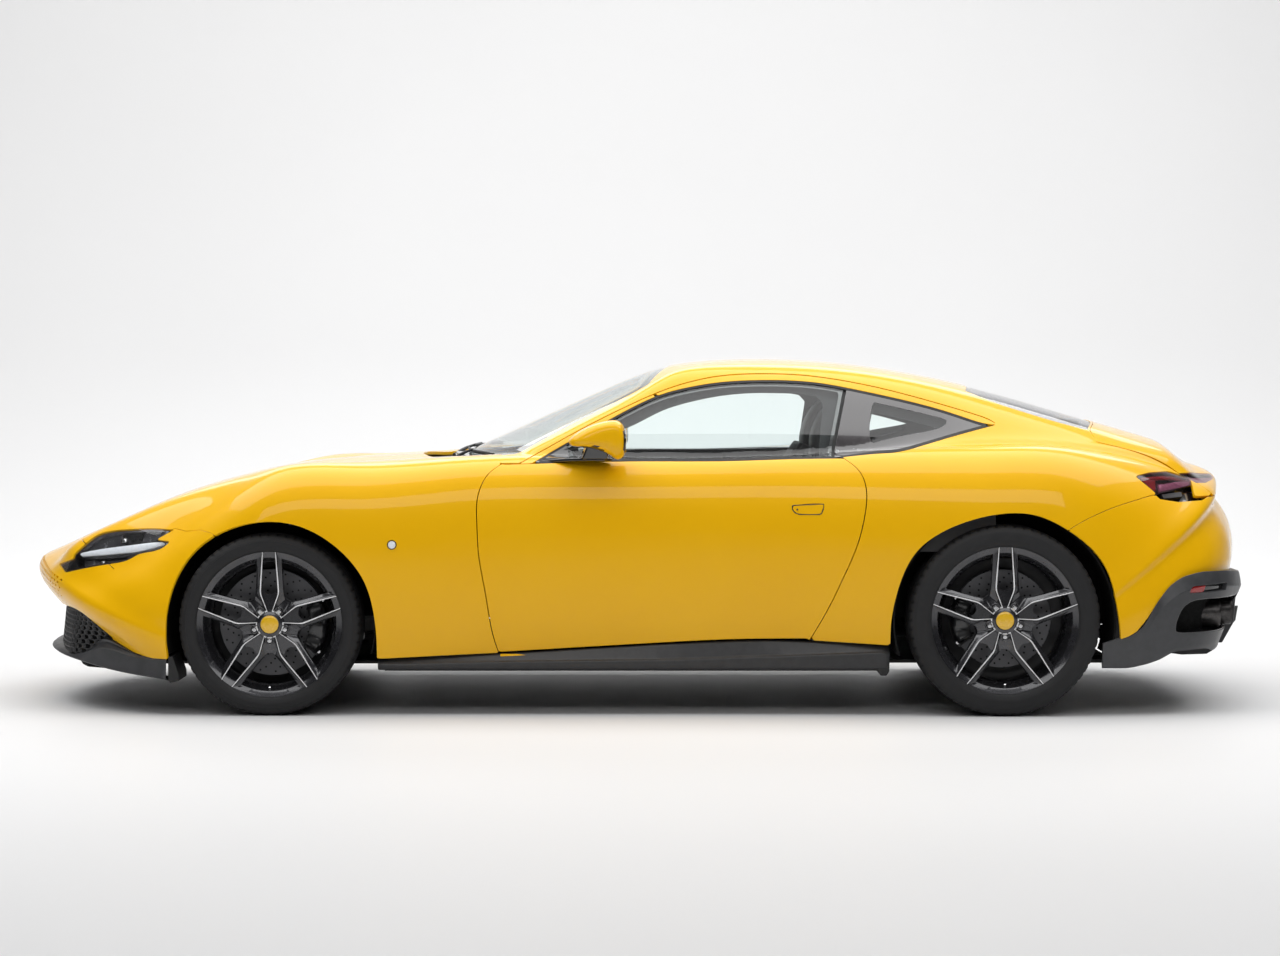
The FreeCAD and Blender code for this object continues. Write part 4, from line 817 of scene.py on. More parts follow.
def copy_mirror(ob, name, body, y=True):
    """The same piece on the other side of the centre plane."""
    me = ob.data.copy()
    me.transform(ob.matrix_world)
    has = me.has_custom_normals
    if has:
        nn = [tuple(Vector((c.vector.x, -c.vector.y, c.vector.z))) for c in me.corner_normals]
    me.transform(Matrix.Scale(-1, 4, (0, 1, 0)))
    me.flip_normals()
    if has:
        # loops run the other way round after the flip, the first stays
        order = []
        for p in me.polygons:
            ls = list(p.loop_indices)
            order.append((ls, [ls[0]] + ls[:0:-1]))
        new = [None] * len(nn)
        for ls, old in order:
            for a, b in zip(ls, old):
                new[a] = nn[b]
        me.normals_split_custom_set(new)
    o = bpy.data.objects.new(name, me)
    bpy.context.scene.collection.objects.link(o)
    for m in ob.modifiers:
        k = o.modifiers.new(m.name, m.type)
        for a in ("width", "segments", "limit_method", "angle_limit", "harden_normals", "levels", "render_levels"):
            if hasattr(m, a):
                setattr(k, a, getattr(m, a))
    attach(o, body)
    if "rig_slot" in ob:
        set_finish(o, ob["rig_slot"])
    return o


# ---- materials --------------------------------------------------------------------
def nt_new(name):
    m = bpy.data.materials.new(name)
    m.use_nodes = True
    nt = m.node_tree
    return m, nt, nt.nodes["Principled BSDF"]


def noise(nt, scale, detail=4, rough=.5, coord="Object", vec=None):
    tc = nt.nodes.new("ShaderNodeTexCoord")
    n = nt.nodes.new("ShaderNodeTexNoise")
    n.inputs["Scale"].default_value = scale
    n.inputs["Detail"].default_value = detail
    n.inputs["Roughness"].default_value = rough
    nt.links.new(vec or tc.outputs[coord], n.inputs["Vector"])
    return n


def ramp(nt, fac, stops):
    r = nt.nodes.new("ShaderNodeValToRGB")
    el = r.color_ramp.elements
    while len(el) < len(stops):
        el.new(.5)
    for e, (p, c) in zip(el, stops):
        e.position = p
        e.color = c if len(c) == 4 else (*c, 1)
    nt.links.new(fac, r.inputs["Fac"])
    return r


def bump(nt, b, height, strength, dist=.001, chain=None):
    k = nt.nodes.new("ShaderNodeBump")
    k.inputs["Strength"].default_value = strength
    k.inputs["Distance"].default_value = dist
    nt.links.new(height, k.inputs["Height"])
    if chain is not None:
        nt.links.new(chain.outputs["Normal"], k.inputs["Normal"])
    nt.links.new(k.outputs["Normal"], b.inputs["Normal"])
    return k


def plain(name, c0, c1, rough0, rough1, metal=0.0, scale=60, bump_s=.15, bump_scale=900, dist=.0004, coat=0, coat_r=.05, spec=.5):
    """Two-tone surface with fine grain and varying roughness."""
    m, nt, b = nt_new(name)
    n = noise(nt, scale, 5, .6)
    nt.links.new(ramp(nt, n.outputs["Fac"], [(.35, c0), (.65, c1)]).outputs["Color"], b.inputs["Base Color"])
    r = ramp(nt, n.outputs["Fac"], [(.3, (rough0,) * 3), (.7, (rough1,) * 3)])
    nt.links.new(r.outputs["Color"], b.inputs["Roughness"])
    b.inputs["Metallic"].default_value = metal
    b.inputs["Specular IOR Level"].default_value = spec
    b.inputs["Coat Weight"].default_value = coat
    b.inputs["Coat Roughness"].default_value = coat_r
    g = noise(nt, bump_scale, 3, .5)
    bump(nt, b, g.outputs["Fac"], bump_s, dist)
    return m


def paint_mat():
    m, nt, b = nt_new("paint_yellow")
    n = noise(nt, 3.0, 3, .5)
    nt.links.new(ramp(nt, n.outputs["Fac"], [(.3, (.885, .470, .0015)), (.7, (.905, .490, .002))]).outputs["Color"], b.inputs["Base Color"])
    b.inputs["Roughness"].default_value = .34
    b.inputs["Specular IOR Level"].default_value = .12
    b.inputs["Coat Weight"].default_value = .85
    b.inputs["Coat Roughness"].default_value = .03
    b.inputs["Coat IOR"].default_value = 1.33
    # fine flake under the lacquer and a faint orange peel on it
    fl = noise(nt, 2600, 2, .5)
    bump(nt, b, fl.outputs["Fac"], .05, .0002)
    pe = noise(nt, 260, 2, .5)
    k = nt.nodes.new("ShaderNodeBump")
    k.inputs["Strength"].default_value = .012
    k.inputs["Distance"].default_value = .0006
    nt.links.new(pe.outputs["Fac"], k.inputs["Height"])
    nt.links.new(k.outputs["Normal"], b.inputs["Coat Normal"])
    return m


def glass_mat(name, tint, rough=.0, alpha_like=None):
    m, nt, b = nt_new(name)
    n = noise(nt, 9, 3, .5)
    nt.links.new(ramp(nt, n.outputs["Fac"], [(.3, tint), (.7, tuple(min(1, t * 1.02) for t in tint))]).outputs["Color"], b.inputs["Base Color"])
    b.inputs["Transmission Weight"].default_value = 1.0
    b.inputs["Roughness"].default_value = rough
    b.inputs["IOR"].default_value = 1.0 + 1e-3 if alpha_like else 1.45
    b.inputs["Coat Weight"].default_value = 1.0 if alpha_like else 0.0
    b.inputs["Coat IOR"].default_value = 1.5
    b.inputs["Coat Roughness"].default_value = .01
    return m


def disc_mat(name, c):
    """Ground brake disc: circular machining marks and rows of drilled holes, about the object's own centre; the holes
    are sunk by bump and painted near-black as painted shade.
    """
    m, nt, b = nt_new(name)
    tc = nt.nodes.new("ShaderNodeTexCoord")
    sep = nt.nodes.new("ShaderNodeSeparateXYZ")
    nt.links.new(tc.outputs["Object"], sep.inputs[0])

    def mth(op, a, bb=None, cl=False):
        k = nt.nodes.new("ShaderNodeMath")
        k.operation = op
        k.use_clamp = cl
        for i, v in enumerate((a, bb)):
            if v is None:
                continue
            if isinstance(v, (int, float)):
                k.inputs[i].default_value = v
            else:
                nt.links.new(v, k.inputs[i])
        return k.outputs[0]
    X, Z = sep.outputs["X"], sep.outputs["Z"]
    r = mth("SQRT", mth("ADD", mth("MULTIPLY", X, X), mth("MULTIPLY", Z, Z)))
    th = mth("ARCTAN2", Z, X)
    dark = None
    # drilled holes: the mask dark both sinks each hole by bump and paints it near-black, a painted shade for the dark
    # inside of the hole
    for rr, cnt, ph in ((.118, 20, 0), (.134, 20, .33), (.150, 20, .66), (.166, 20, 1.0), (.181, 20, .33)):
        q = mth("MULTIPLY", th, cnt / (2 * math.pi))
        fr = mth("SUBTRACT", mth("FRACT", mth("ADD", q, ph)), .5)
        du = mth("MULTIPLY", fr, 2 * math.pi * rr / cnt)
        dr = mth("SUBTRACT", r, rr)
        d = mth("SQRT", mth("ADD", mth("MULTIPLY", du, du), mth("MULTIPLY", dr, dr)))
        h = mth("LESS_THAN", d, .0034)
        dark = h if dark is None else mth("MAXIMUM", dark, h)
    w = nt.nodes.new("ShaderNodeTexWave")
    w.wave_type, w.rings_direction = "RINGS", "Y"
    w.inputs["Scale"].default_value = 140
    w.inputs["Distortion"].default_value = .4
    nt.links.new(tc.outputs["Object"], w.inputs["Vector"])
    base = ramp(nt, w.outputs["Fac"], [(.2, c), (.8, tuple(t * 1.25 for t in c))])
    mx = nt.nodes.new("ShaderNodeMixRGB")
    nt.links.new(dark, mx.inputs["Fac"])
    nt.links.new(base.outputs["Color"], mx.inputs["Color1"])
    # painted shade: near-black colour in the drilled holes
    mx.inputs["Color2"].default_value = (.004, .004, .004, 1)
    nt.links.new(mx.outputs["Color"], b.inputs["Base Color"])
    b.inputs["Metallic"].default_value = .85
    b.inputs["Roughness"].default_value = .42
    hgt = mth("SUBTRACT", mth("MULTIPLY", w.outputs["Fac"], .06), dark)
    bump(nt, b, hgt, .6, .001)
    return m


def tyre_mat():
    m, nt, b = nt_new("tyre_rubber")
    n = noise(nt, 14, 6, .6)
    nt.links.new(ramp(nt, n.outputs["Fac"], [(.3, (.010, .010, .011)), (.7, (.019, .019, .020))]).outputs["Color"], b.inputs["Base Color"])
    r = ramp(nt, n.outputs["Fac"], [(.3, (.55,) * 3), (.7, (.74,) * 3)])
    nt.links.new(r.outputs["Color"], b.inputs["Roughness"])
    b.inputs["Specular IOR Level"].default_value = .35
    tc = nt.nodes.new("ShaderNodeTexCoord")
    w = nt.nodes.new("ShaderNodeTexWave")
    w.wave_type, w.rings_direction = "RINGS", "Y"
    w.inputs["Scale"].default_value = 120
    nt.links.new(tc.outputs["Object"], w.inputs["Vector"])
    k = bump(nt, b, w.outputs["Fac"], .10, .0006)
    g = noise(nt, 900, 3, .5)
    bump(nt, b, g.outputs["Fac"], .12, .0004, k)
    return m


def leather_mat(name, c0, c1):
    m, nt, b = nt_new(name)
    n = noise(nt, 7, 4, .5)
    nt.links.new(ramp(nt, n.outputs["Fac"], [(.3, c0), (.7, c1)]).outputs["Color"], b.inputs["Base Color"])
    tc = nt.nodes.new("ShaderNodeTexCoord")
    v = nt.nodes.new("ShaderNodeTexVoronoi")
    v.inputs["Scale"].default_value = 420
    v.feature = "DISTANCE_TO_EDGE"
    nt.links.new(tc.outputs["Object"], v.inputs["Vector"])
    vr = ramp(nt, v.outputs["Distance"], [(.0, (0, 0, 0)), (.12, (1, 1, 1))])
    k = bump(nt, b, vr.outputs["Color"], .30, .0006)
    cr = noise(nt, 35, 5, .6)
    bump(nt, b, cr.outputs["Fac"], .15, .002, k)
    b.inputs["Roughness"].default_value = .52
    b.inputs["Specular IOR Level"].default_value = .4
    return m


def mesh_mat(name):
    """Woven black grille cloth behind the openings."""
    m, nt, b = nt_new(name)
    tc = nt.nodes.new("ShaderNodeTexCoord")
    v = nt.nodes.new("ShaderNodeTexVoronoi")
    v.inputs["Scale"].default_value = 75
    v.inputs["Randomness"].default_value = 0
    v.feature = "F1"
    nt.links.new(tc.outputs["Object"], v.inputs["Vector"])
    c = ramp(nt, v.outputs["Distance"], [(.30, (.001, .001, .001)), (.42, (.028, .028, .03))])
    nt.links.new(c.outputs["Color"], b.inputs["Base Color"])
    bump(nt, b, c.outputs["Color"], 1.0, .004)
    b.inputs["Roughness"].default_value = .45
    return m


M = {}
M["paint"] = paint_mat()
# inner faces of hood and boot lid: the body yellow darkened as painted shade, with a rougher, duller finish
M["paint_in"] = plain("paint_inside", (.55, .30, .004), (.60, .34, .006), .45, .6, scale=12, bump_s=.1, bump_scale=300)
M["glass"] = glass_mat("glass_tinted", (.80, .90, .885), alpha_like=True)
M["glass_dark"] = glass_mat("glass_smoked", (.34, .35, .37), alpha_like=True)
M["lens"] = glass_mat("lens_clear", (.93, .94, .95), alpha_like=True)
M["lens_red"] = glass_mat("lens_red", (.46, .20, .28), alpha_like=True)
M["frit"] = plain("glass_border", (.022, .018, .020), (.030, .025, .027), .08, .14, scale=40, bump_s=.02, coat=1, coat_r=.02)
M["black"] = plain("black_plastic", (.020, .020, .021), (.030, .030, .032), .38, .52, scale=30, bump_s=.25, bump_scale=1400, dist=.0003)
M["grey"] = plain("dark_grey_plastic", (.040, .041, .044), (.052, .053, .057), .34, .46, scale=24, bump_s=.22, bump_scale=1300, dist=.0003)
M["gloss_black"] = plain("gloss_black", (.006, .006, .007), (.010, .010, .011), .12, .18, scale=30, bump_s=.03, coat=1, coat_r=.02)
M["liner"] = plain("arch_felt", (.006, .006, .006), (.013, .013, .013), .85, .95, scale=90, bump_s=.8, bump_scale=700, dist=.002, spec=.15)
M["under"] = plain("underbody", (.020, .020, .021), (.036, .035, .034), .6, .8, scale=20, bump_s=.4, bump_scale=240, dist=.001)
M["rim"] = plain("rim_dark", (.032, .032, .036), (.040, .040, .045), .22, .30, metal=.6, scale=26, bump_s=.04, bump_scale=1500, dist=.0002, coat=1, coat_r=.06)
M["silver"] = plain("rim_machined", (.78, .78, .79), (.88, .88, .89), .28, .38, metal=.25, scale=70, bump_s=.10, bump_scale=2500, dist=.0002)
M["chrome"] = plain("bright_steel", (.60, .60, .61), (.68, .68, .69), .12, .2, metal=1, scale=60, bump_s=.04)
M["alloy"] = plain("cast_alloy_rough", (.16, .16, .165), (.22, .22, .225), .5, .65, metal=.8, scale=40, bump_s=.5, bump_scale=420, dist=.0008)
M["caliper"] = plain("caliper_black", (.012, .012, .013), (.020, .020, .021), .25, .36, metal=.2, scale=50, bump_s=.2, bump_scale=600, coat=.6, coat_r=.15)
M["disc"] = disc_mat("disc_ground", (.10, .10, .105))
M["tyre"] = tyre_mat()
M["seat"] = leather_mat("leather_dark", (.020, .020, .022), (.034, .034, .037))
M["seat2"] = leather_mat("leather_grey", (.050, .052, .056), (.072, .074, .080))
M["trim"] = plain("cabin_trim", (.020, .020, .021), (.032, .032, .034), .55, .7, scale=18, bump_s=.5, bump_scale=900, dist=.0006)
M["carpet"] = plain("carpet", (.012, .012, .013), (.026, .026, .028), .9, 1.0, scale=300, bump_s=1.0, bump_scale=1600, dist=.003, spec=.1)
M["lining"] = plain("roof_lining", (.035, .035, .037), (.046, .046, .048), .85, .95, scale=200, bump_s=.5, bump_scale=1800, dist=.0006, spec=.2)
M["mesh"] = mesh_mat("grille_mesh")
M["drl"] = plain("light_bar", (.80, .84, .90), (.88, .92, .97), .18, .26, scale=90, bump_s=.3, bump_scale=500)
M["red"] = plain("reflector_red", (.30, .012, .012), (.42, .02, .02), .15, .25, scale=300, bump_s=.6, bump_scale=700, coat=1, coat_r=.03)
M["cap"] = plain("cap_yellow", (.80, .47, .012), (.84, .50, .016), .25, .3, scale=40, bump_s=.04, coat=1, coat_r=.03)
M["exhaust"] = plain("exhaust_dark", (.050, .048, .047), (.095, .09, .088), .28, .42, metal=.9, scale=60, bump_s=.2, bump_scale=800)
M["lamp_dark"] = plain("lamp_housing", (.010, .010, .011), (.022, .022, .024), .22, .34, scale=30, bump_s=.1, bump_scale=600)
M["lamp_red_dark"] = plain("lamp_red_housing", (.030, .008, .014), (.050, .012, .020), .22, .34, scale=30, bump_s=.1, bump_scale=600, coat=.6)
M["lamp_band"] = plain("lamp_band", (.40, .24, .33), (.48, .32, .41), .16, .26, scale=90, bump_s=.4, bump_scale=420, coat=1, coat_r=.03)
M["lamp_grey"] = plain("lamp_bezel", (.09, .09, .10), (.13, .13, .14), .2, .3, metal=.6, scale=30, bump_s=.1, bump_scale=600)
M["belt"] = plain("rubber_seal", (.010, .010, .010), (.016, .016, .016), .55, .7, scale=60, bump_s=.3, bump_scale=900)
M["engine"] = plain("engine_cast", (.12, .12, .125), (.19, .19, .195), .5, .7, metal=.7, scale=30, bump_s=.5, bump_scale=300, dist=.001)
M["mirror"] = plain("mirror_face", (.75, .77, .78), (.80, .82, .83), .02, .04, metal=1, scale=20, bump_s=0)


# ---- camera, floor and light ------------------------------------------------------
def look(loc, target, lens, name):
    c = bpy.data.cameras.new(name)
    o = bpy.data.objects.new(name, c)
    bpy.context.scene.collection.objects.link(o)
    o.location = loc
    o.rotation_euler = (Vector(target) - Vector(loc)).to_track_quat("-Z", "Y").to_euler()
    c.lens, c.sensor_width = lens, 36
    c.clip_end = 200
    c.dof.use_dof = False
    return o


CAM = (.0095, -12.55, 1.22)
cam = look(CAM, (.0095, 0, 1.22 - 98 * 12.55 / 3204), 3204 / 1280 * 36, "camera")
bpy.context.scene.camera = cam

# floor that sweeps up into the backdrop
prof = [(-30, 0), (5.0, 0), (7.0, .04), (8.6, .28), (10.0, .9), (11.2, 1.9), (12.2, 3.6), (12.8, 6.0), (13.0, 9.0), (13.0, 14.0)]
prof = smooth_run(prof[1:], 6)
prof = [(-30, 0), (-15, 0), (-6, 0)] + prof
G = [[(x, y, z) for y, z in prof] for x in np.linspace(-34, 34, 9)]
floor = grid_obj("studio_floor", G, None)
fm, fnt, fb = nt_new("studio_floor_mat")
fb.inputs["Base Color"].default_value = (.80, .80, .80, 1)
fb.inputs["Roughness"].default_value = .55
fb.inputs["Specular IOR Level"].default_value = .25
fn_ = noise(fnt, .35, 2, .4)
fnt.links.new(ramp(fnt, fn_.outputs["Fac"], [(.3, (.690, .690, .692)), (.7, (.705, .705, .707))]).outputs["Color"], fb.inputs["Base Color"])
floor.data.materials.append(fm)

world = bpy.data.worlds.new("studio")
bpy.context.scene.world = world
bpy.context.scene.view_settings.view_transform = "Standard"
world.use_nodes = True
wn = world.node_tree
bg = wn.nodes["Background"]
tcw = wn.nodes.new("ShaderNodeTexCoord")
sw_ = wn.nodes.new("ShaderNodeSeparateXYZ")
wn.links.new(tcw.outputs["Generated"], sw_.inputs[0])
# bright overhead, falling off to a dim horizon, a little brighter behind the car than behind the camera
# bright overhead, dim near the horizon, a little brighter behind the car than behind the camera
wr = ramp(wn, sw_.outputs["Z"], [(0.0, (.05, .05, .052)), (.50, (.05, .05, .052)), (.56, (.10, .10, .10)), (.66, (.30, .30, .305)), (.80, (.80, .80, .81)), (1.0, (1, 1, 1))])
wb = ramp(wn, sw_.outputs["Y"], [(0.0, (0, 0, 0)), (.5, (.0, .0, .0)), (1.0, (.25, .25, .25))])
wa = wn.nodes.new("ShaderNodeMixRGB")
wa.blend_type = "ADD"
wa.inputs["Fac"].default_value = 1
wn.links.new(wr.outputs["Color"], wa.inputs["Color1"])
wn.links.new(wb.outputs["Color"], wa.inputs["Color2"])
wn.links.new(wa.outputs["Color"], bg.inputs["Color"])
bg.inputs["Strength"].default_value = .55


def area(name, loc, target, sx, sy, power, color=(1, 1, 1)):
    l = bpy.data.lights.new(name, "AREA")
    l.shape, l.size, l.size_y, l.energy, l.color = "RECTANGLE", sx, sy, power, color
    o = bpy.data.objects.new(name, l)
    bpy.context.scene.collection.objects.link(o)
    o.location = loc
    o.rotation_euler = (Vector(target) - Vector(loc)).to_track_quat("-Z", "Y").to_euler()
    return o


area("light_top", (0, -.3, 5.4), (0, 0, 0), 12.0, 6.0, 600)
area("light_front_side", (0, -9.5, 5.6), (0, 0, .6), 12.0, 2.4, 230)
area("light_back_side", (0, 7.0, 5.4), (0, 2.0, .6), 10.0, 2.4, 150)
area("light_backdrop", (0, 4.0, 7.0), (0, 12.5, 3.4), 16.0, 2.5, 1020)


# ---- body panels ------------------------------------------------------------------
PAINT, PIN_SHADED = M["paint"], M["paint_in"]
ARCH_F = [(-1.709, .120), (-1.711, .212), (-1.712, .351), (-1.700, .425), (-1.690, .463), (-1.662, .528), (-1.615, .594), (-1.547, .650), (-1.444, .693),
          (-1.333, .708), (-1.217, .689), (-1.098, .621), (-1.009, .524), (-.966, .422), (-.948, .302), (-.946, .211), (-.946, .120)]
ARCH_R = [(.918, .120), (.918, .265), (.921, .354), (.954, .495), (1.025, .616), (1.153, .695), (1.266, .729), (1.355, .740), (1.445, .731), (1.537, .691),
          (1.633, .623), (1.704, .529), (1.739, .399), (1.753, .290), (1.760, .120)]
DOOR_F = [(-.494, .9135), (-.541, .8765), (-.568, .828), (-.579, .784), (-.581, .735), (-.579, .688), (-.573, .585), (-.549, .446), (-.526, .307), (-.503, .227)]
DOOR_R = [(.626, .276), (.689, .388), (.742, .499), (.796, .628), (.822, .736), (.828, .816), (.806, .886), (.746, .937)]
HEAD = [(-2.135, .501), (-2.171, .531), (-2.104, .555), (-2.100, .572), (-2.055, .613), (-2.009, .646), (-1.935, .664), (-1.880, .669), (-1.789, .674), (-1.700, .671),
        (-1.764, .635), (-1.711, .630), (-1.739, .605), (-1.793, .588), (-1.835, .578), (-1.875, .557), (-1.944, .541), (-2.006, .530), (-2.068, .517)]
A_HOOD = 33.6
V_HOOD = .985


def shift(pts, dx=0.0, dz=0.0):
    return [(x + dx, z + dz) for x, z in pts]


def ray(deg, r, x0=XF, sgn=-1):
    return (x0 + sgn * r * math.cos(math.radians(deg)), ZP + r * math.sin(math.radians(deg)))


def grow(poly, d):
    """Pushes a closed outline outward by d."""
    P = np.array(poly, float)
    a = np.roll(P, 1, axis=0)
    b = np.roll(P, -1, axis=0)
    t = b - a
    n = np.stack([t[:, 1], -t[:, 0]], 1)
    n /= np.linalg.norm(n, axis=1)[:, None] + 1e-12
    area_ = np.sum(P[:, 0] * np.roll(P[:, 1], -1) - P[:, 1] * np.roll(P[:, 0], -1))
    return P + n * d * (1 if area_ > 0 else -1)


HEAD_POLY = outline([[HEAD[0], HEAD[1]], HEAD[1:3], HEAD[2:4], HEAD[3:10], [HEAD[9], HEAD[10]], [HEAD[10], HEAD[11]], HEAD[11:]], 6)
ARCHF = in_side([ARCH_F])
ARCHR = in_side([ARCH_R])
arch_rim = .0012
side_only = lambda p: np.abs(p[:, 1]) > .40
HEADC = only(in_side(HEAD_POLY), side_only, -1.0)

# front bumper, from the hood's front edge down to the splitter
keep = in_side([(-2.45, .20), (-1.958, .268), (-1.930, .238), (-1.905, .2215), (-1.860, .2110), (-1.80, .2075), (-1.66, .206), (-1.66, .35), (-1.56, .60), (-1.536, .648), (-1.545, .661), (-1.591, .673), (-1.652, .666),
                (-1.702, .674), (-1.90, .60), ray(A_HOOD, .70), ray(A_HOOD, 1.35), (-2.45, .60)])
# front lower intake: a wide mouth whose side corners sweep back and down
MOUTH = [(-.80, .195), (-.80, .235), (-.775, .300), (-.735, .352), (-.68, .372), (-.45, .378), (0, .380), (.45, .378), (.68, .372), (.735, .352), (.775, .300), (.80, .235), (.80, .195)]
mouth = only(in_rear([MOUTH]), lambda p: p[:, 0] < -1.93, -1.0)
GR_S, GR_V = (.298, .402), .86
gr_zone = lambda p, s, v: np.minimum(np.minimum(s - GR_S[0], GR_S[1] - s), np.minimum(v - GR_V, 2 * VMAX - GR_V - v))
bump_ob = panel("front_bumper_skin", .03, 1.05, .40, 2 * VMAX - .40, [keep, neg(ARCHF), neg(HEADC), neg(mouth), neg(gr_zone)], PAINT, "body", step=.0095, slot="body_paint", rep=("front_bumper",))

# fenders
low_fx, low_fy = [.4, 1.30, 1.45, 1.55, 1.63, 1.67, 2.3], [.43, .42, .35, .24, .11, .05, .05]
low_f = lambda p, s, v: v - np.interp(s, low_fx, low_fy)
keep = in_side([ray(A_HOOD + .35, .60), ray(A_HOOD + .35, 1.1), (-1.9, 1.1), (-.50, 1.1), (-.5055, .917), shift(DOOR_F, -.0055),
                [(-.53, .2263), (-.70, .2187), (-.861, .211), (-.93, .2078)], (-1.66, .30), (-1.52, .60), (-1.533, .655), (-1.545, .664), (-1.591, .676),
                (-1.652, .669), (-1.700, .677), (-1.90, .60)])
fl = panel("fender_left_skin", .52, 2.18, .05, V_HOOD, [low_f, keep, neg(ARCHF), neg(HEADC)], PAINT, "body", side=-1, step=.0095, slot="body_paint", rep=("front_fenders",))
fr = copy_mirror(fl, "fender_right_skin", "body")
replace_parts(fr, "front_fenders")

# hood, with its inner frame
S_HOOD = COLS[8] + .60 * (COLS[9] - COLS[8])
cowl_line = [(-.835 + .30 * y * y, y) for y in np.linspace(-.80, .80, 17)]
hood_keep = in_plan([cowl_line, (-2.4, .80), (-2.4, -.80)])


def hood_rib(P, N, Sv, Vv):
    return P, N


# the hood's inner skin takes the darkened yellow, painted shade
hood = panel("hood_skin", S_HOOD + .006, 2.12, V_HOOD + .006, 2 * VMAX - V_HOOD - .006, [hood_keep], PAINT, "hood", step=.0138, slot="body_paint", rep=("hood",), back=.015, mat2=PIN_SHADED)

# doors: outer skin and an inner trim side in one closed piece
dkeep = in_side([DOOR_F, (-.503, .231), [(-.503, .231), (-.054, .257), (.301, .276), (.472, .280), (.620, .281)], DOOR_R,
                 [(.746, .9335), (.535, .930), (.300, .923), (-.054, .922), (-.385, .9135), (-.488, .9105)]])
HANDLE = [(.562, .764), (.568, .7655), (.676, .770), (.6745, .752), (.668, .737), (.660, .7325), (.588, .7325), (.572, .738), (.562, .750)]
handle = in_side([HANDLE + [HANDLE[0]]])


def door_inner(P, N):
    Q = P.copy()
    sg = np.sign(P[:, 1])
    z = P[:, 2]
    t = nstep(.55, .15, z)
    y = np.minimum(.760 + .030 * nstep(.45, .20, z), np.abs(P[:, 1]) - .022)
    # arm rest and pocket swell
    y -= .028 * np.exp(-((z - .66) / .045) ** 2) * nstep(-.42, -.25, P[:, 0]) * nstep(.74, .60, P[:, 0])
    y -= .018 * np.exp(-((z - .36) / .06) ** 2) * nstep(-.42, -.25, P[:, 0]) * nstep(.62, .45, P[:, 0])
    Q[:, 1] = sg * np.minimum(y, np.abs(P[:, 1]) - .014)
    return Q


dl = panel("door_left_skin", 1.95, 3.60, .045, .80, [dkeep, neg(handle)], PAINT, "door_left", side=-1, step=.0127, slot="body_paint", rep=("door_left",), inner=door_inner, depth=.012, mat2=M["trim"])
dr = copy_mirror(dl, "door_right_skin", "door_right")
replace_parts(dr, "door_right")
for m_ in (dl.data.materials, ):
    pass
for sd, sg in (("left", -1), ("right", 1)):
    # flush handle plate in its opening, with the key cap
    hp = panel("door_handle_" + sd, 3.15, 3.36, .54, .64, [in_side(grow(outline([HANDLE + [HANDLE[0]]]), -.0036))], PAINT, "door_" + sd, side=sg, step=.005, rim=.0007, depth=.008, off=.0006, slot="body_paint")
    kc = lathe("door_key_cap_" + sd, [(0, .0001), (.003, .0001), (.003, .0030), (0, .0036)], (.580, sg * .9425, .7505), M["black"], n=20, sg=sg, body="door_" + sd, slot="black_trim")
    hb = panel("door_handle_bed_" + sd, 3.14, 3.37, .53, .65, [in_side(grow(outline([HANDLE + [HANDLE[0]]]), .006))], M["black"], "door_" + sd, side=sg, step=.008, rim=0, depth=0, off=-.0075, slot="black_trim")

# rear quarters, roof and pillars are one welded body side
SEAM = [(-.4315, .9175), (-.315, .982), (-.197, 1.047), (-.055, 1.118), (.085, 1.180), (.197, 1.216), (.307, 1.2375), (.43, 1.2455), (.55, 1.2445), (.68, 1.2335), (.87, 1.200), (1.06, 1.152), (1.245, 1.098),
        (1.312, 1.073), (1.3345, 1.058)]
DLO = [(-.385, .917), (-.259, .990), (-.109, 1.072), (.060, 1.157), (.180, 1.192), (.300, 1.212), (.421, 1.220), (.547, 1.220), (.662, 1.212), (.770, 1.194),
       (.962, 1.153), (1.152, 1.103), (1.279, 1.062), (1.323, 1.055)]
BELT = [(1.323, 1.055), (1.146, 1.010), (.962, .962), (.884, .955), (.740, .9375), (.535, .9335), (.300, .9275), (-.054, .9265), (-.385, .9185)]
WS = [[(.040, -.580), (-.067, -.600), (-.200, -.636), (-.330, -.675), (-.430, -.715), (-.500, -.760)],
      [(-.500, -.760), (-.62, -.50), (-.69, -.25), (-.71, 0), (-.69, .25), (-.62, .50), (-.500, .760)],
      [(-.500, .760), (-.430, .715), (-.330, .675), (-.200, .636), (-.067, .600), (.040, .580)],
      [(.040, .580), (.105, .30), (.125, 0), (.105, -.30), (.040, -.580)]]
RW = [[(1.235, -.470), (1.26, -.25), (1.268, 0), (1.26, .25), (1.235, .470)],
      [(1.235, .470), (1.317, .517), (1.45, .535), (1.563, .540), (1.690, .530)],
      [(1.690, .530), (1.735, .28), (1.75, 0), (1.735, -.28), (1.690, -.530)],
      [(1.690, -.530), (1.563, -.540), (1.45, -.535), (1.317, -.517), (1.235, -.470)]]
WSP, RWP = outline(WS), outline(RW)
low_rx, low_ry = [3.2, 3.53, 3.57, 3.61, 3.67, 3.79, 3.95, 4.8], [.05, .05, .09, .16, .27, .38, .43, .43]
low_r = lambda p, s, v: np.minimum(v, 2 * VMAX - v) - np.interp(s, low_rx, low_ry)
LID_S = [(1.712, .600), (1.80, .590), (1.90, .576), (2.00, .566), (2.06, .572), (2.11, .600), (2.16, .610), (2.40, .612)]
LID_F = [(1.700, -.525), (1.745, -.28), (1.760, 0), (1.745, .28), (1.700, .525)]
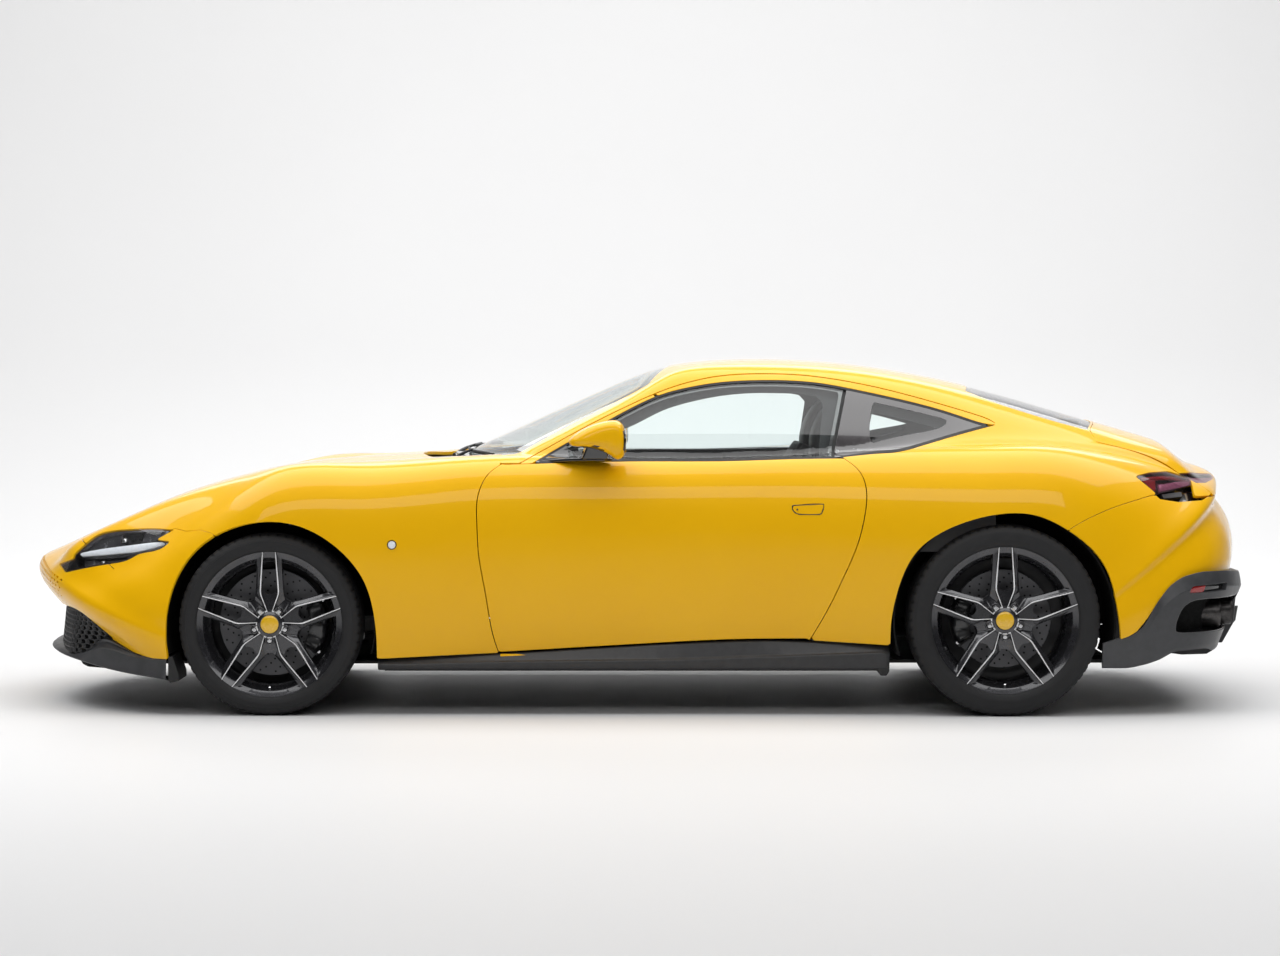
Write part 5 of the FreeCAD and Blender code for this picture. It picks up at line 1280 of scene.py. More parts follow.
lid_gap = in_plan([(1.712, .606), [(1.712, .606), (1.80, .596), (1.90, .582), (2.00, .572), (2.06, .578), (2.11, .606), (2.16, .616), (2.40, .618)],
                   [(2.40, -.618), (2.16, -.616), (2.11, -.606), (2.06, -.578), (2.00, -.572), (1.90, -.582), (1.80, -.596), (1.712, -.606)],
                   [(1.6955, -.533), (1.7405, -.28), (1.7555, 0), (1.7405, .28), (1.6955, .533)]])
TLQ = [(1.829, .8655), (1.838, .871), (1.891, .880), (1.978, .881), (2.069, .857), (2.066, .829), (2.062, .780), (1.93, .78), (1.904, .802)]
qkeep = only(in_side([[(.6315, .276), (.6945, .388), (.7475, .499), (.8015, .628), (.8275, .736), (.8335, .816), (.8115, .886), (.7515, .9375)], [(.7525, .9385), (.884, .951), (.962, .958), (1.146, 1.006), (1.323, 1.051)], (1.345, 1.062),
                      (1.36, 1.2), (2.135, 1.2), (2.135, .792), (1.99, .791), (1.906, .802), (1.882, .800), [(1.882, .800), (1.792, .777), (1.711, .752), (1.623, .715), (1.566, .684)],
                      (1.50, .60), (1.2, .30), (.94, .25), [(.918, .257), (.800, .264), (.6315, .274)]]), lambda p: np.abs(p[:, 1]) > .40, -1.0)
fuel = None
quarter_f = lambda p, s, v: np.minimum.reduce([qkeep(p, s, v), -ARCHR(p, s, v), -in_side(TLQ_P)(p, s, v)])
TLQ_P = outline([TLQ + [TLQ[0]]])
TLQ_P = np.array(TLQ)
roof_keep = in_side([(-.60, 1.40), (1.85, 1.40), (1.85, .985), (1.712, .985), (1.45, 1.003), (1.345, 1.055), SEAM[::-1], (-.4315, .9175), (-.487, .9175), (-.60, .9175)])
wsf, rwf = in_plan(WSP), in_plan(RWP)
roof_f = lambda p, s, v: np.minimum.reduce([roof_keep(p, s, v), -only(wsf, lambda q: q[:, 0] < .2, -1)(p, s, v)])
both_f = lambda p, s, v: np.maximum(quarter_f(p, s, v), roof_f(p, s, v))
roof = panel("body_side_and_roof", 2.02, 4.745, .05, 2 * VMAX - .05, [low_r, both_f, neg(rwf), neg(only(lid_gap, lambda p: (p[:, 2] > .6), -1))], PAINT, "body", step=.0105, slot="body_paint", rep=("roof", "rear_quarters"), rim=.001)

# strip between the roof seam and the side windows
strip_keep = in_side([[(a, b - .0046) for a, b in SEAM], (1.323, 1.0585), DLO[::-1], (-.4305, .9145)])
for sd, sg in (("left", -1), ("right", 1)):
    panel("window_frame_" + sd, 2.16, 4.05, .76, 1.10, [strip_keep], PAINT, "body", side=sg, step=.010, vstep=.006, rim=.0008, depth=.014, slot="body_paint")

# boot lid with its lip, closed underneath
lid_out = in_plan([LID_F, LID_S, [(x, -y) for x, y in LID_S[::-1]]])
LAMP_IN = [(-.607, .836), (-.572, .872), (-.50, .874), (-.36, .866), (-.24, .861), (-.25, .850), (-.38, .842), (-.52, .834)]
LAMP_R = [(-y, z) for y, z in LAMP_IN[::-1]]
lampf = either(in_rear(np.array(LAMP_IN)), in_rear(np.array(LAMP_R)))
# the lid's underside takes the darkened yellow, painted shade
lid = panel("boot_lid_skin", 4.20, 4.885, .90, 2 * VMAX - .90, [lid_out, lambda p, s, v: p[:, 2] - .7925, neg(only(lampf, lambda p: p[:, 0] > 2.02, -1))], PAINT, "boot_lid", step=0.0104, slot="body_paint", rep=("boot_lid",), back=.009, depth=.009, mat2=PIN_SHADED)

# rear bumper
rkeep = in_side([[(1.566, .680), (1.623, .711), (1.711, .748), (1.792, .773), (1.882, .796)], (1.901, .7965), (1.914, .783), (1.990, .771), (2.09, .775), (2.118, .786), (2.40, .786), (2.40, .44), (2.20, .50), (2.089, .514),
                 (1.989, .495), (1.943, .469), (1.898, .426), (1.850, .355), (1.811, .309), (1.779, .291), (1.748, .282), (1.70, .30), (1.55, .60)])
rbump = panel("rear_bumper_skin", 4.22, SMAX - .03, .43, 2 * VMAX - .43, [rkeep, neg(ARCHR)], PAINT, "body", step=.0105, slot="body_paint", rep=("rear_bumper",))


# ---- perforated nose grille, in the body's colour ---------------------------------
def perforated(name, s0, s1, ns, v0, v1, nv, mat, body, size, depth=.007, stagger=.5, slot=None, surf=None, off=0.0, edge=.6):
    P, polys = [], []
    us, vs = (s1 - s0) / ns, (v1 - v0) / nv
    SS, VV, kind = [], [], []
    for i in range(ns):
        sh = stagger * vs * (i % 2)
        for j in range(nv + (1 if stagger else 0)):
            a, b = s0 + i * us, v0 + j * vs - sh
            lo, hi = max(v0, b), min(v1, b + vs)
            if hi - lo < 1e-6:
                continue
            w, h = (hi - lo) / vs, size((i + .5) / ns, ((lo + hi) / 2 - v0) / (v1 - v0))
            base = len(SS)
            outer = [(0, 0), (0, .5), (0, 1), (.5, 1), (1, 1), (1, .5), (1, 0), (.5, 0)]
            for (p, q) in outer:
                SS.append(a + p * us)
                VV.append(lo + q * (hi - lo))
                kind.append(0)
            if w < .7 or h <= .05:
                polys.append([base + k for k in range(8)])
                continue
            cs, cv = a + us / 2, (lo + hi) / 2
            for k, (p, q) in enumerate(outer):
                r = edge if k % 2 == 0 else 1.0
                f = .80 if k % 2 == 0 else 1.0
                SS.append(cs + (p - .5) * us * h * (.86 if k % 2 == 0 else 1))
                VV.append(cv + (q - .5) * (hi - lo) * h * (.86 if k % 2 == 0 else 1))
                kind.append(0)
            for k in range(8):
                SS.append(SS[base + 8 + k])
                VV.append(VV[base + 8 + k])
                kind.append(1)
            for k in range(8):
                l = (k + 1) % 8
                polys.append([base + k, base + l, base + 8 + l, base + 8 + k])
                polys.append([base + 8 + k, base + 8 + l, base + 16 + l, base + 16 + k])
    P, N = (normals_of(surf, np.array(SS), np.array(VV)) if surf else SN(np.array(SS), np.array(VV)))
    kind = np.array(kind)
    P = P + N * off
    P[kind == 1] -= N[kind == 1] * depth
    q = polys[0]
    if np.cross(P[q[1]] - P[q[0]], P[q[2]] - P[q[0]]) @ N[q[0]] < 0:
        polys = [r[::-1] for r in polys]
    P, N, polys = weld(P, N, polys, .0004)
    ob = mesh_obj(name, P, polys, mat)
    ob.data.set_sharp_from_angle(angle=math.radians(35))
    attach(ob, body)
    if slot:
        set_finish(ob, slot)
    return ob


perforated("nose_grille", GR_S[0], GR_S[1], 7, GR_V, 2 * VMAX - GR_V, 58, PAINT, "body", lambda a, b: .62 * (.45 + .55 * a) * (1 - .25 * abs(2 * b - 1) ** 3), slot="body_paint")
panel("nose_grille_backing", GR_S[0] - .02, GR_S[1] + .02, GR_V - .02, 2 * VMAX - GR_V + .02, [], M["gloss_black"], "body", off=-.022, step=.02, rim=0, depth=0, slot="black_trim")

# ---- glass ------------------------------------------------------------------------
def scaled(P, k, c):
    return np.array([[c + (x - c) * k, y * k] for x, y in P])


panel("windscreen_glass", 1.86, 2.84, .84, 2 * VMAX - .84, [in_plan(scaled(WSP, .992, -.30))], M["glass"], "body", off=-.003, step=.014, rim=.0006, depth=.004, slot="glass", rep=("windscreen",))
inner_ws = outline([[(.005, -.545), (-.09, -.565), (-.215, -.600), (-.345, -.640), (-.44, -.675)], [(-.44, -.675), (-.555, -.47), (-.622, -.24), (-.64, 0), (-.622, .24), (-.555, .47), (-.44, .675)],
                    [(-.44, .675), (-.345, .640), (-.215, .600), (-.09, .565), (.005, .545)], [(.005, .545), (.062, .28), (.08, 0), (.062, -.28), (.005, -.545)]])
panel("windscreen_border", 1.86, 2.84, .84, 2 * VMAX - .84, [in_plan(scaled(WSP, .999, -.30)), neg(in_plan(inner_ws))], M["frit"], "body", off=-.0095, step=.014, rim=0, depth=.006, slot="black_trim")
panel("rear_window_glass", 3.80, 4.46, .98, 2 * VMAX - .98, [in_plan(scaled(RWP, .990, 1.50))], M["glass_dark"], "body", off=-.003, step=.014, rim=.0006, depth=.004, slot="glass", rep=("rear_window",))
panel("rear_window_border", 3.80, 4.46, .98, 2 * VMAX - .98, [in_plan(scaled(RWP, .999, 1.50)), neg(in_plan(scaled(RWP, .87, 1.49)))], M["frit"], "body", off=-.0095, step=.014, rim=0, depth=.006, slot="black_trim")
DG = [[(-.380, .9195), (-.259, .987), (-.109, 1.068), (.060, 1.152), (.180, 1.187), (.300, 1.207), (.421, 1.215), (.547, 1.215), (.662, 1.207), (.765, 1.190)], (.7065, .9385), [(.7065, .9385), (.535, .935), (.300, .929), (-.054, .928), (-.380, .9195)]]
QG = [[(.778, 1.188), (.962, 1.148), (1.152, 1.098), (1.275, 1.0585)], (1.308, 1.053), [(1.308, 1.053), (1.146, 1.012), (.962, .965), (.884, .957), (.719, .940)]]
QCLEAR = outline([[(.880, 1.139), (1.00, 1.112), (1.120, 1.083)], [(1.120, 1.083), (1.146, 1.072), (1.142, 1.058)], [(1.142, 1.058), (1.118, 1.044), (.99, 1.018), (.868, .990)], [(.868, .990), (.858, 1.003), (.870, 1.125), (.880, 1.139)]])
DLO_P = outline([DLO, BELT])
for sd, sg in (("left", -1), ("right", 1)):
    g = panel("door_window_" + sd, 2.20, 3.46, .76, 1.07, [in_side(DG)], M["glass"], "door_" + sd, side=sg, off=-.0045, step=.014, vstep=.008, rim=.0005, depth=.004, slot="glass", rep=("door_glass_" + sd,))
    inner_dg = grow(outline(DG), -.012)
    panel("door_window_edge_" + sd, 2.20, 3.46, .76, 1.07, [in_side(outline(DG)), neg(in_side(inner_dg))], M["frit"], "door_" + sd, side=sg, off=-.0098, step=.012, vstep=.006, rim=0, depth=.003, slot="black_trim")
    panel("quarter_window_" + sd, 3.33, 4.03, .78, 1.08, [in_side(QG)], M["glass"], "body", side=sg, off=-.0035, step=.014, vstep=.008, rim=.0005, depth=.004, slot="glass")
    panel("quarter_window_border_" + sd, 3.33, 4.03, .78, 1.08, [in_side(outline(QG)), neg(in_side(QCLEAR))], M["frit"], "body", side=sg, off=-.0029, step=.012, vstep=.006, rim=0, depth=.0004, slot="black_trim")
    # seal round the window opening, and the pillar strip
    bel = lambda p, s, v: np.interp(p[:, 0], [q[0] for q in BELT[::-1]], [q[1] for q in BELT[::-1]]) + .0085 - p[:, 2]
    ring_ = [in_side(grow(DLO_P, .0012)), neg(in_side(grow(DLO_P, -.0075)))]
    panel("window_seal_" + sd, 2.18, 4.06, .76, 1.09, ring_ + [either(neg(bel), lambda p, s, v: p[:, 0] - .744)], M["belt"], "body", side=sg, off=-.0015, step=.010, vstep=.004, rim=.0006, depth=.014, slot="black_trim")
    panel("belt_seal_" + sd, 2.18, 3.40, .76, 1.09, ring_ + [bel, lambda p, s, v: .706 - p[:, 0], lambda p, s, v: p[:, 0] + .372], M["belt"], "door_" + sd, side=sg, off=-.0015, step=.010, vstep=.004, rim=.0006, depth=.006, slot="black_trim")
    panel("pillar_strip_" + sd, 3.30, 3.46, .78, 1.05, [in_side([(.757, 1.196), (.792, 1.190), (.733, .937), (.698, .937)])], M["belt"], "body", side=sg, off=-.0105, step=.012, vstep=.01, rim=0, depth=.006, slot="black_trim")
for o_ in bpy.data.objects:
    if o_.name == "quarter_window_left":
        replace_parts(o_, "quarter_windows")
panel("roof_lining", 2.84, 3.92, 1.02, 2 * VMAX - 1.02, [in_plan([(.10, -.52), (1.22, -.46), (1.22, .46), (.10, .52)])], M["lining"], "body", off=-.045, step=.03, rim=0, depth=.01, slot="interior_trim")


# ---- wheels, tyres and brakes -----------------------------------------------------
AXL = {"front": (XF, .332, .949, .245, .2755), "rear": (XR, .348, .980, .285, .2785)}


def wheel_center(ax, sg):
    x, R, yo, W, rr = AXL[ax]
    return x, sg * yo, R


def place(ob, c):
    """Moves the mesh so the object's own origin is the wheel centre."""
    ob.data.transform(Matrix.Translation((-c[0], -c[1], -c[2])))
    ob.location = c


def tyre_piece(ax, sg, name, body):
    x, R, yo, W, rr = AXL[ax]
    rb = rr - .012
    hw = W / 2
    # (across, radius): from the outer bead over the tread to the inner bead; across = 0 at the outer side wall
    prof = [(.022, rb), (.012, rb + .001), (.006, rb + .006), (.0035, rb + .013), (.0020, rb + .017), (.0006, rb + .022), (.0000, rb + .026), (.0006, rb + .030), (.0010, rb + .034), (.0012, rb + .040),
            (.0030, R - .028), (.0045, R - .024), (.0062, R - .021), (.0085, R - .017), (.0105, R - .0135), (.0130, R - .0102), (.0165, R - .0072), (.0210, R - .0045), (.0265, R - .0025)]
    grooves = [.062, hw - .018, hw + .018, W - .062]
    tread = []
    xs = [.034]
    for g in grooves:
        tread += [(g - .0050, 0), (g - .0042, -.0062), (g + .0042, -.0062), (g + .0050, 0)]
    tread = [(.033, -.0016), (.045, -.0008)] + tread + [(W - .045, -.0008), (W - .033, -.0016)]
    prof2 = prof + [(a, R + d) for a, d in tread] + [(W - a, r) for a, r in prof[::-1]]
    n = 320
    P, polys = [], []
    m = len(prof2)
    for i in range(n):
        t = 2 * math.pi * i / n
        ph = i % 5
        for a, r in prof2:
            q = r
            # lateral grooves in the shoulder blocks
            out = min(a, W - a)
            if .0085 <= out <= .056 and r > R - .019:
                if ph == 0:
                    q -= .0045 if out > .016 else .0022
            P.append([x + q * math.cos(t), sg * (yo - a), R + q * math.sin(t)])
    for i in range(n):
        k = (i + 1) % n
        for j in range(m - 1):
            polys.append([i * m + j, k * m + j, k * m + j + 1, i * m + j + 1])
    ob = mesh_obj(name, P, polys, M["tyre"])
    fix_normals(ob)
    ob.data.set_sharp_from_angle(angle=math.radians(50))
    place(ob, wheel_center(ax, sg))
    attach(ob, body)
    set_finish(ob, "tyre")
    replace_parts(ob, "tyre_" + name.split("tyre_")[1].replace("_ring", ""))
    return ob


def rot(p, a):
    c, s_ = math.cos(a), math.sin(a)
    return (p[0] * c - p[1] * s_, p[0] * s_ + p[1] * c)


def wheel_piece(ax, sg, name, body):
    x, R, yo, W, rr = AXL[ax]
    f0 = yo - .008
    k_ = rr / .2755
    mats = [M["rim"], M["silver"], M["gloss_black"]]
    P, F, MI = [], [], []

    def dep(r):
        return .004 + .020 * (1 - min(1, r / (.272 * k_))) ** 1.3

    def add(pts):
        b = len(P)
        P.extend(pts)
        return list(range(b, b + len(pts)))

    def strip(a, b, mi):
        for i in range(len(a) - 1):
            F.append([a[i], a[i + 1], b[i + 1], b[i]])
            MI.append(mi)
    Rr = .2725 * k_
    for k in range(5):
        a0 = math.radians(90 + 72 * k)
        a1 = a0 + math.radians(72)
        # petal between spoke k and spoke k+1; local frame of a spoke: (r, t)
        def sp(r, t, which):
            p = rot((r, t if which == 0 else -t), a0 if which == 0 else a1)
            return p

        def side(which):
            bend = [(Rr, .0212), (.255 * k_, .0222), (.225 * k_, .0240), (.19 * k_, .0262), (.155 * k_, .0284), (.130, .0298), (.118, .0304), (.108, .0292), (.098, .0262), (.084, .0212), (.070, .0161), (.056, .0112), (.0455, .0072)]
            inn = [(.2405 * k_, .0450), (.232 * k_, .0455), (.205 * k_, .0463), (.178 * k_, .0475), (.150 * k_, .0490), (.133, .0500), (.124, .0508), (.1165, .0516), (.110, .0523), (.1045, .0530), (.0995, .0537), (.0950, .0545), (.0915, .0556)]
            return [sp(r, t, which) for r, t in bend], [sp(r, t, which) for r, t in inn]
        o0, i0 = side(0)
        o1, i1 = side(1)
        # arc at the rim between the two spokes
        def ang(p):
            return math.atan2(p[1], p[0])
        def arc(p, q, n):
            r0, r1 = math.hypot(*p), math.hypot(*q)
            t0, t1 = ang(p), ang(q)
            while t1 < t0:
                t1 += 2 * math.pi
            return [((r0 + (r1 - r0) * i / n) * math.cos(t0 + (t1 - t0) * i / n), (r0 + (r1 - r0) * i / n) * math.sin(t0 + (t1 - t0) * i / n)) for i in range(n + 1)]
        na = 22
        out_arc = arc(o0[0], o1[0], na)
        in_arc = arc(i0[0], i1[0], na)
        hub_out = arc(o0[-1], o1[-1], 6)
        hub_in = arc(i0[-1], i1[-1], 6)
        # closed loops, starting at spoke 0's rim corner, along the rim, down spoke 1, round the hub, back up spoke 0
        Lo = out_arc + o1[1:] + hub_out[::-1][1:] + o0[::-1][1:-1]
        Li = in_arc + i1[1:] + hub_in[::-1][1:] + i0[::-1][1:-1]
        Lo, Li = np.array(Lo), np.array(Li)
        n = len(Lo)
        d = Li - Lo
        L = np.linalg.norm(d, axis=1)[:, None]
        u = d / L
        hub = np.hypot(Lo[:, 0], Lo[:, 1]) < .0462
        def ring(shift_, depth):
            pts = []
            for i in range(n):
                p = Lo[i] + u[i] * (shift_[i] if hasattr(shift_, "__len__") else shift_)
                pts.append([x + p[0], sg * (f0 - dep(math.hypot(*Lo[i])) - (depth[i] if hasattr(depth, "__len__") else depth)), R + p[1]])
            return add(pts)
        wsil = np.full(n, .0052)
        r_gap = ring(0.0, .030)
        r0 = ring(0.0, .0008)
        r0b = ring(.0005, .0)
        r1 = ring(wsil, .0)
        r1b = ring(wsil + .0010, .0012)
        r2 = ring(np.minimum(.5 * L[:, 0], .012), .0050)
        r3 = ring(L[:, 0] - .0015, .0105)
        r4 = ring(L[:, 0], .0125)
        r5 = ring(L[:, 0] + .0005, .040)
        rings = [(r_gap, r0, 0), (r0, r0b, 1), (r0b, r1, 1), (r1, r1b, 0), (r1b, r2, 0), (r2, r3, 0), (r3, r4, 0), (r4, r5, 0), (r5, r_gap, 0)]
        for A, B, mi in rings:
            strip(A + [A[0]], B + [B[0]], mi)
        # sunk web between the two limbs, near the hub, in a separate closed plate
        wl = [(.0455, .0068), (.056, .0108), (.070, .0157), (.084, .0208), (.098, .0258), (.108, .0288), (.116, .0296)]
        end = [(.119, .022), (.112, .012), (.109, 0.0)]
        loop = [(r, t) for r, t in wl] + [(r, t) for r, t in end] + [(r, -t) for r, t in end[:-1][::-1]] + [(r, -t) for r, t in wl[::-1]]
        tp = [rot(q, a0) for q in loop]
        top = add([[x + p[0], sg * (f0 - dep(math.hypot(*p)) - .009 - .010 * (math.hypot(*p) - .045) / .075), R + p[1]] for p in tp])
        bot = add([[x + p[0], sg * (f0 - dep(math.hypot(*p)) - .030), R + p[1]] for p in tp])
        F.append(top)
        MI.append(0)
        strip(top + [top[0]], bot + [bot[0]], 0)
    ob = mesh_obj(name + "_star", P, F, mats)
    ob.data.polygons.foreach_set("material_index", MI)
    fix_normals(ob)
    ob.data.set_sharp_from_angle(angle=math.radians(28))
    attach(ob, body)
    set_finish(ob, "rim")
    # barrel and rim flange
    f = yo - .0075
    e = rr
    prof = [(f - .0002, e - .0030), (f + .0000, e - .0005), (f - .0008, e + .0016), (f - .0035, e + .0022), (f - .0065, e + .0006), (f - .009, e - .006), (f - .012, e - .0125), (f - .032, e - .020), (f - .07, e - .046), (f - W * .55, e - .050),
            (f - W + .062, e - .046), (f - W + .047, e - .022), (f - W + .028, e - .014), (f - W + .022, e - .002), (f - W + .018, e + .001), (f - W + .015, e - .003), (f - W + .020, e - .020), (f - W + .050, e - .050), (f - W + .070, e - .054),
            (f - W * .55, e - .0565), (f - .078, e - .0540), (f - .048, e - .0445), (f - .034, e - .0365), (f - .020, e - .0345), (f - .016, e - .0325), (f - .012, e - .020), (f - .006, e - .008), (f - .0040, e - .0038)]
    rim = lathe(name + "_barrel", prof, (x, 0, R), [M["rim"], M["silver"]], n=160, sg=sg, body=body, slot="rim")
    rim.data.set_sharp_from_angle(angle=math.radians(40))
    # hub pad, lug nuts in their pockets, centre cap
    hub = lathe(name + "_hub", [(f0 - .030, .002), (f0 - .030, .052), (f0 - .0245, .0530), (f0 - .0205, .0500), (f0 - .0195, .0420), (f0 - .0185, .0405), (f0 - .0185, .002)], (x, 0, R), M["rim"], n=72, sg=sg, body=body, slot="rim")
    hub.data.set_sharp_from_angle(angle=math.radians(35))
    back = lathe(name + "_back", [(f0 - .075, .060), (f0 - .075, .076), (f0 - .034, .080), (f0 - .030, .050), (f0 - .060, .046)], (x, 0, R), M["rim"], n=48, sg=sg, body=body, slot="rim")
    cap = lathe(name + "_cap", [(f0 - .0200, .0002), (f0 - .0200, .0355), (f0 - .0150, .0362), (f0 - .0135, .0350), (f0 - .0140, .0325), (f0 - .0142, .0318), (f0 - .0132, .0305), (f0 - .0118, .022), (f0 - .0112, .010), (f0 - .0110, .0002)], (x, 0, R), [M["rim"], M["cap"]], n=64, sg=sg, body=body, slot="rim")
    for p in cap.data.polygons:
        c = p.center
        if math.hypot(c[0] - x, c[2] - R) < .0322 and abs(c[1]) > f0 - .0144:
            p.material_index = 1
    cap.data.set_sharp_from_angle(angle=math.radians(30))
    nuts = []
    for k in range(5):
        a = math.radians(90 + 36 + 72 * k)
        bx, bz = x + .0585 * math.cos(a), R + .0585 * math.sin(a)
        seat = lathe("%s_nut_seat_%d" % (name, k), [(f0 - .030, .0118), (f0 - .030, .0166), (f0 - .0190, .0172), (f0 - .0172, .0162), (f0 - .0176, .0148), (f0 - .0225, .0128), (f0 - .0270, .0118)], (bx, 0, bz), M["rim"], n=28, sg=sg, body=body, slot="rim")
        seat.data.set_sharp_from_angle(angle=math.radians(35))
        nut = lathe("%s_nut_%d" % (name, k), [(f0 - .030, .0002), (f0 - .030, .0112), (f0 - .0240, .0114), (f0 - .0225, .0094), (f0 - .0120, .0090), (f0 - .0104, .0076), (f0 - .0100, .0050), (f0 - .0108, .0046), (f0 - .0108, .0002)], (bx, 0, bz), M["chrome"], n=24, sg=sg, body=body, slot="rim")
        nut.data.set_sharp_from_angle(angle=math.radians(35))
        nuts += [seat, nut]
    # valve
    va = math.radians(-90)
    vr = rr - .026
    valve = tube(name + "_valve", [(x + (vr - .004) * math.cos(va), sg * (f0 - .030), R + (vr - .004) * math.sin(va)), (x + (vr - .022) * math.cos(va), sg * (f0 - .012), R + (vr - .022) * math.sin(va))], .0042, M["chrome"], body, "rim", n=12)
    one = join(name + "_wheel", [ob, rim, hub, back, cap] + nuts + [valve])
    place_obj(one, wheel_center(ax, sg))
    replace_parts(one, "wheel_" + name)
    return one


def place_obj(ob, c):
    mw = ob.matrix_world.copy()
    ob.data.transform(Matrix.Translation((-c[0], -c[1], -c[2])))
    par = ob.parent
    ob.parent = None
    ob.matrix_world = Matrix.Translation(c) @ mw
    if par is not None:
        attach(ob, par.name if par.name in frame["bodies"] else [k for k, v in frame["bodies"].items() if v == par][0])


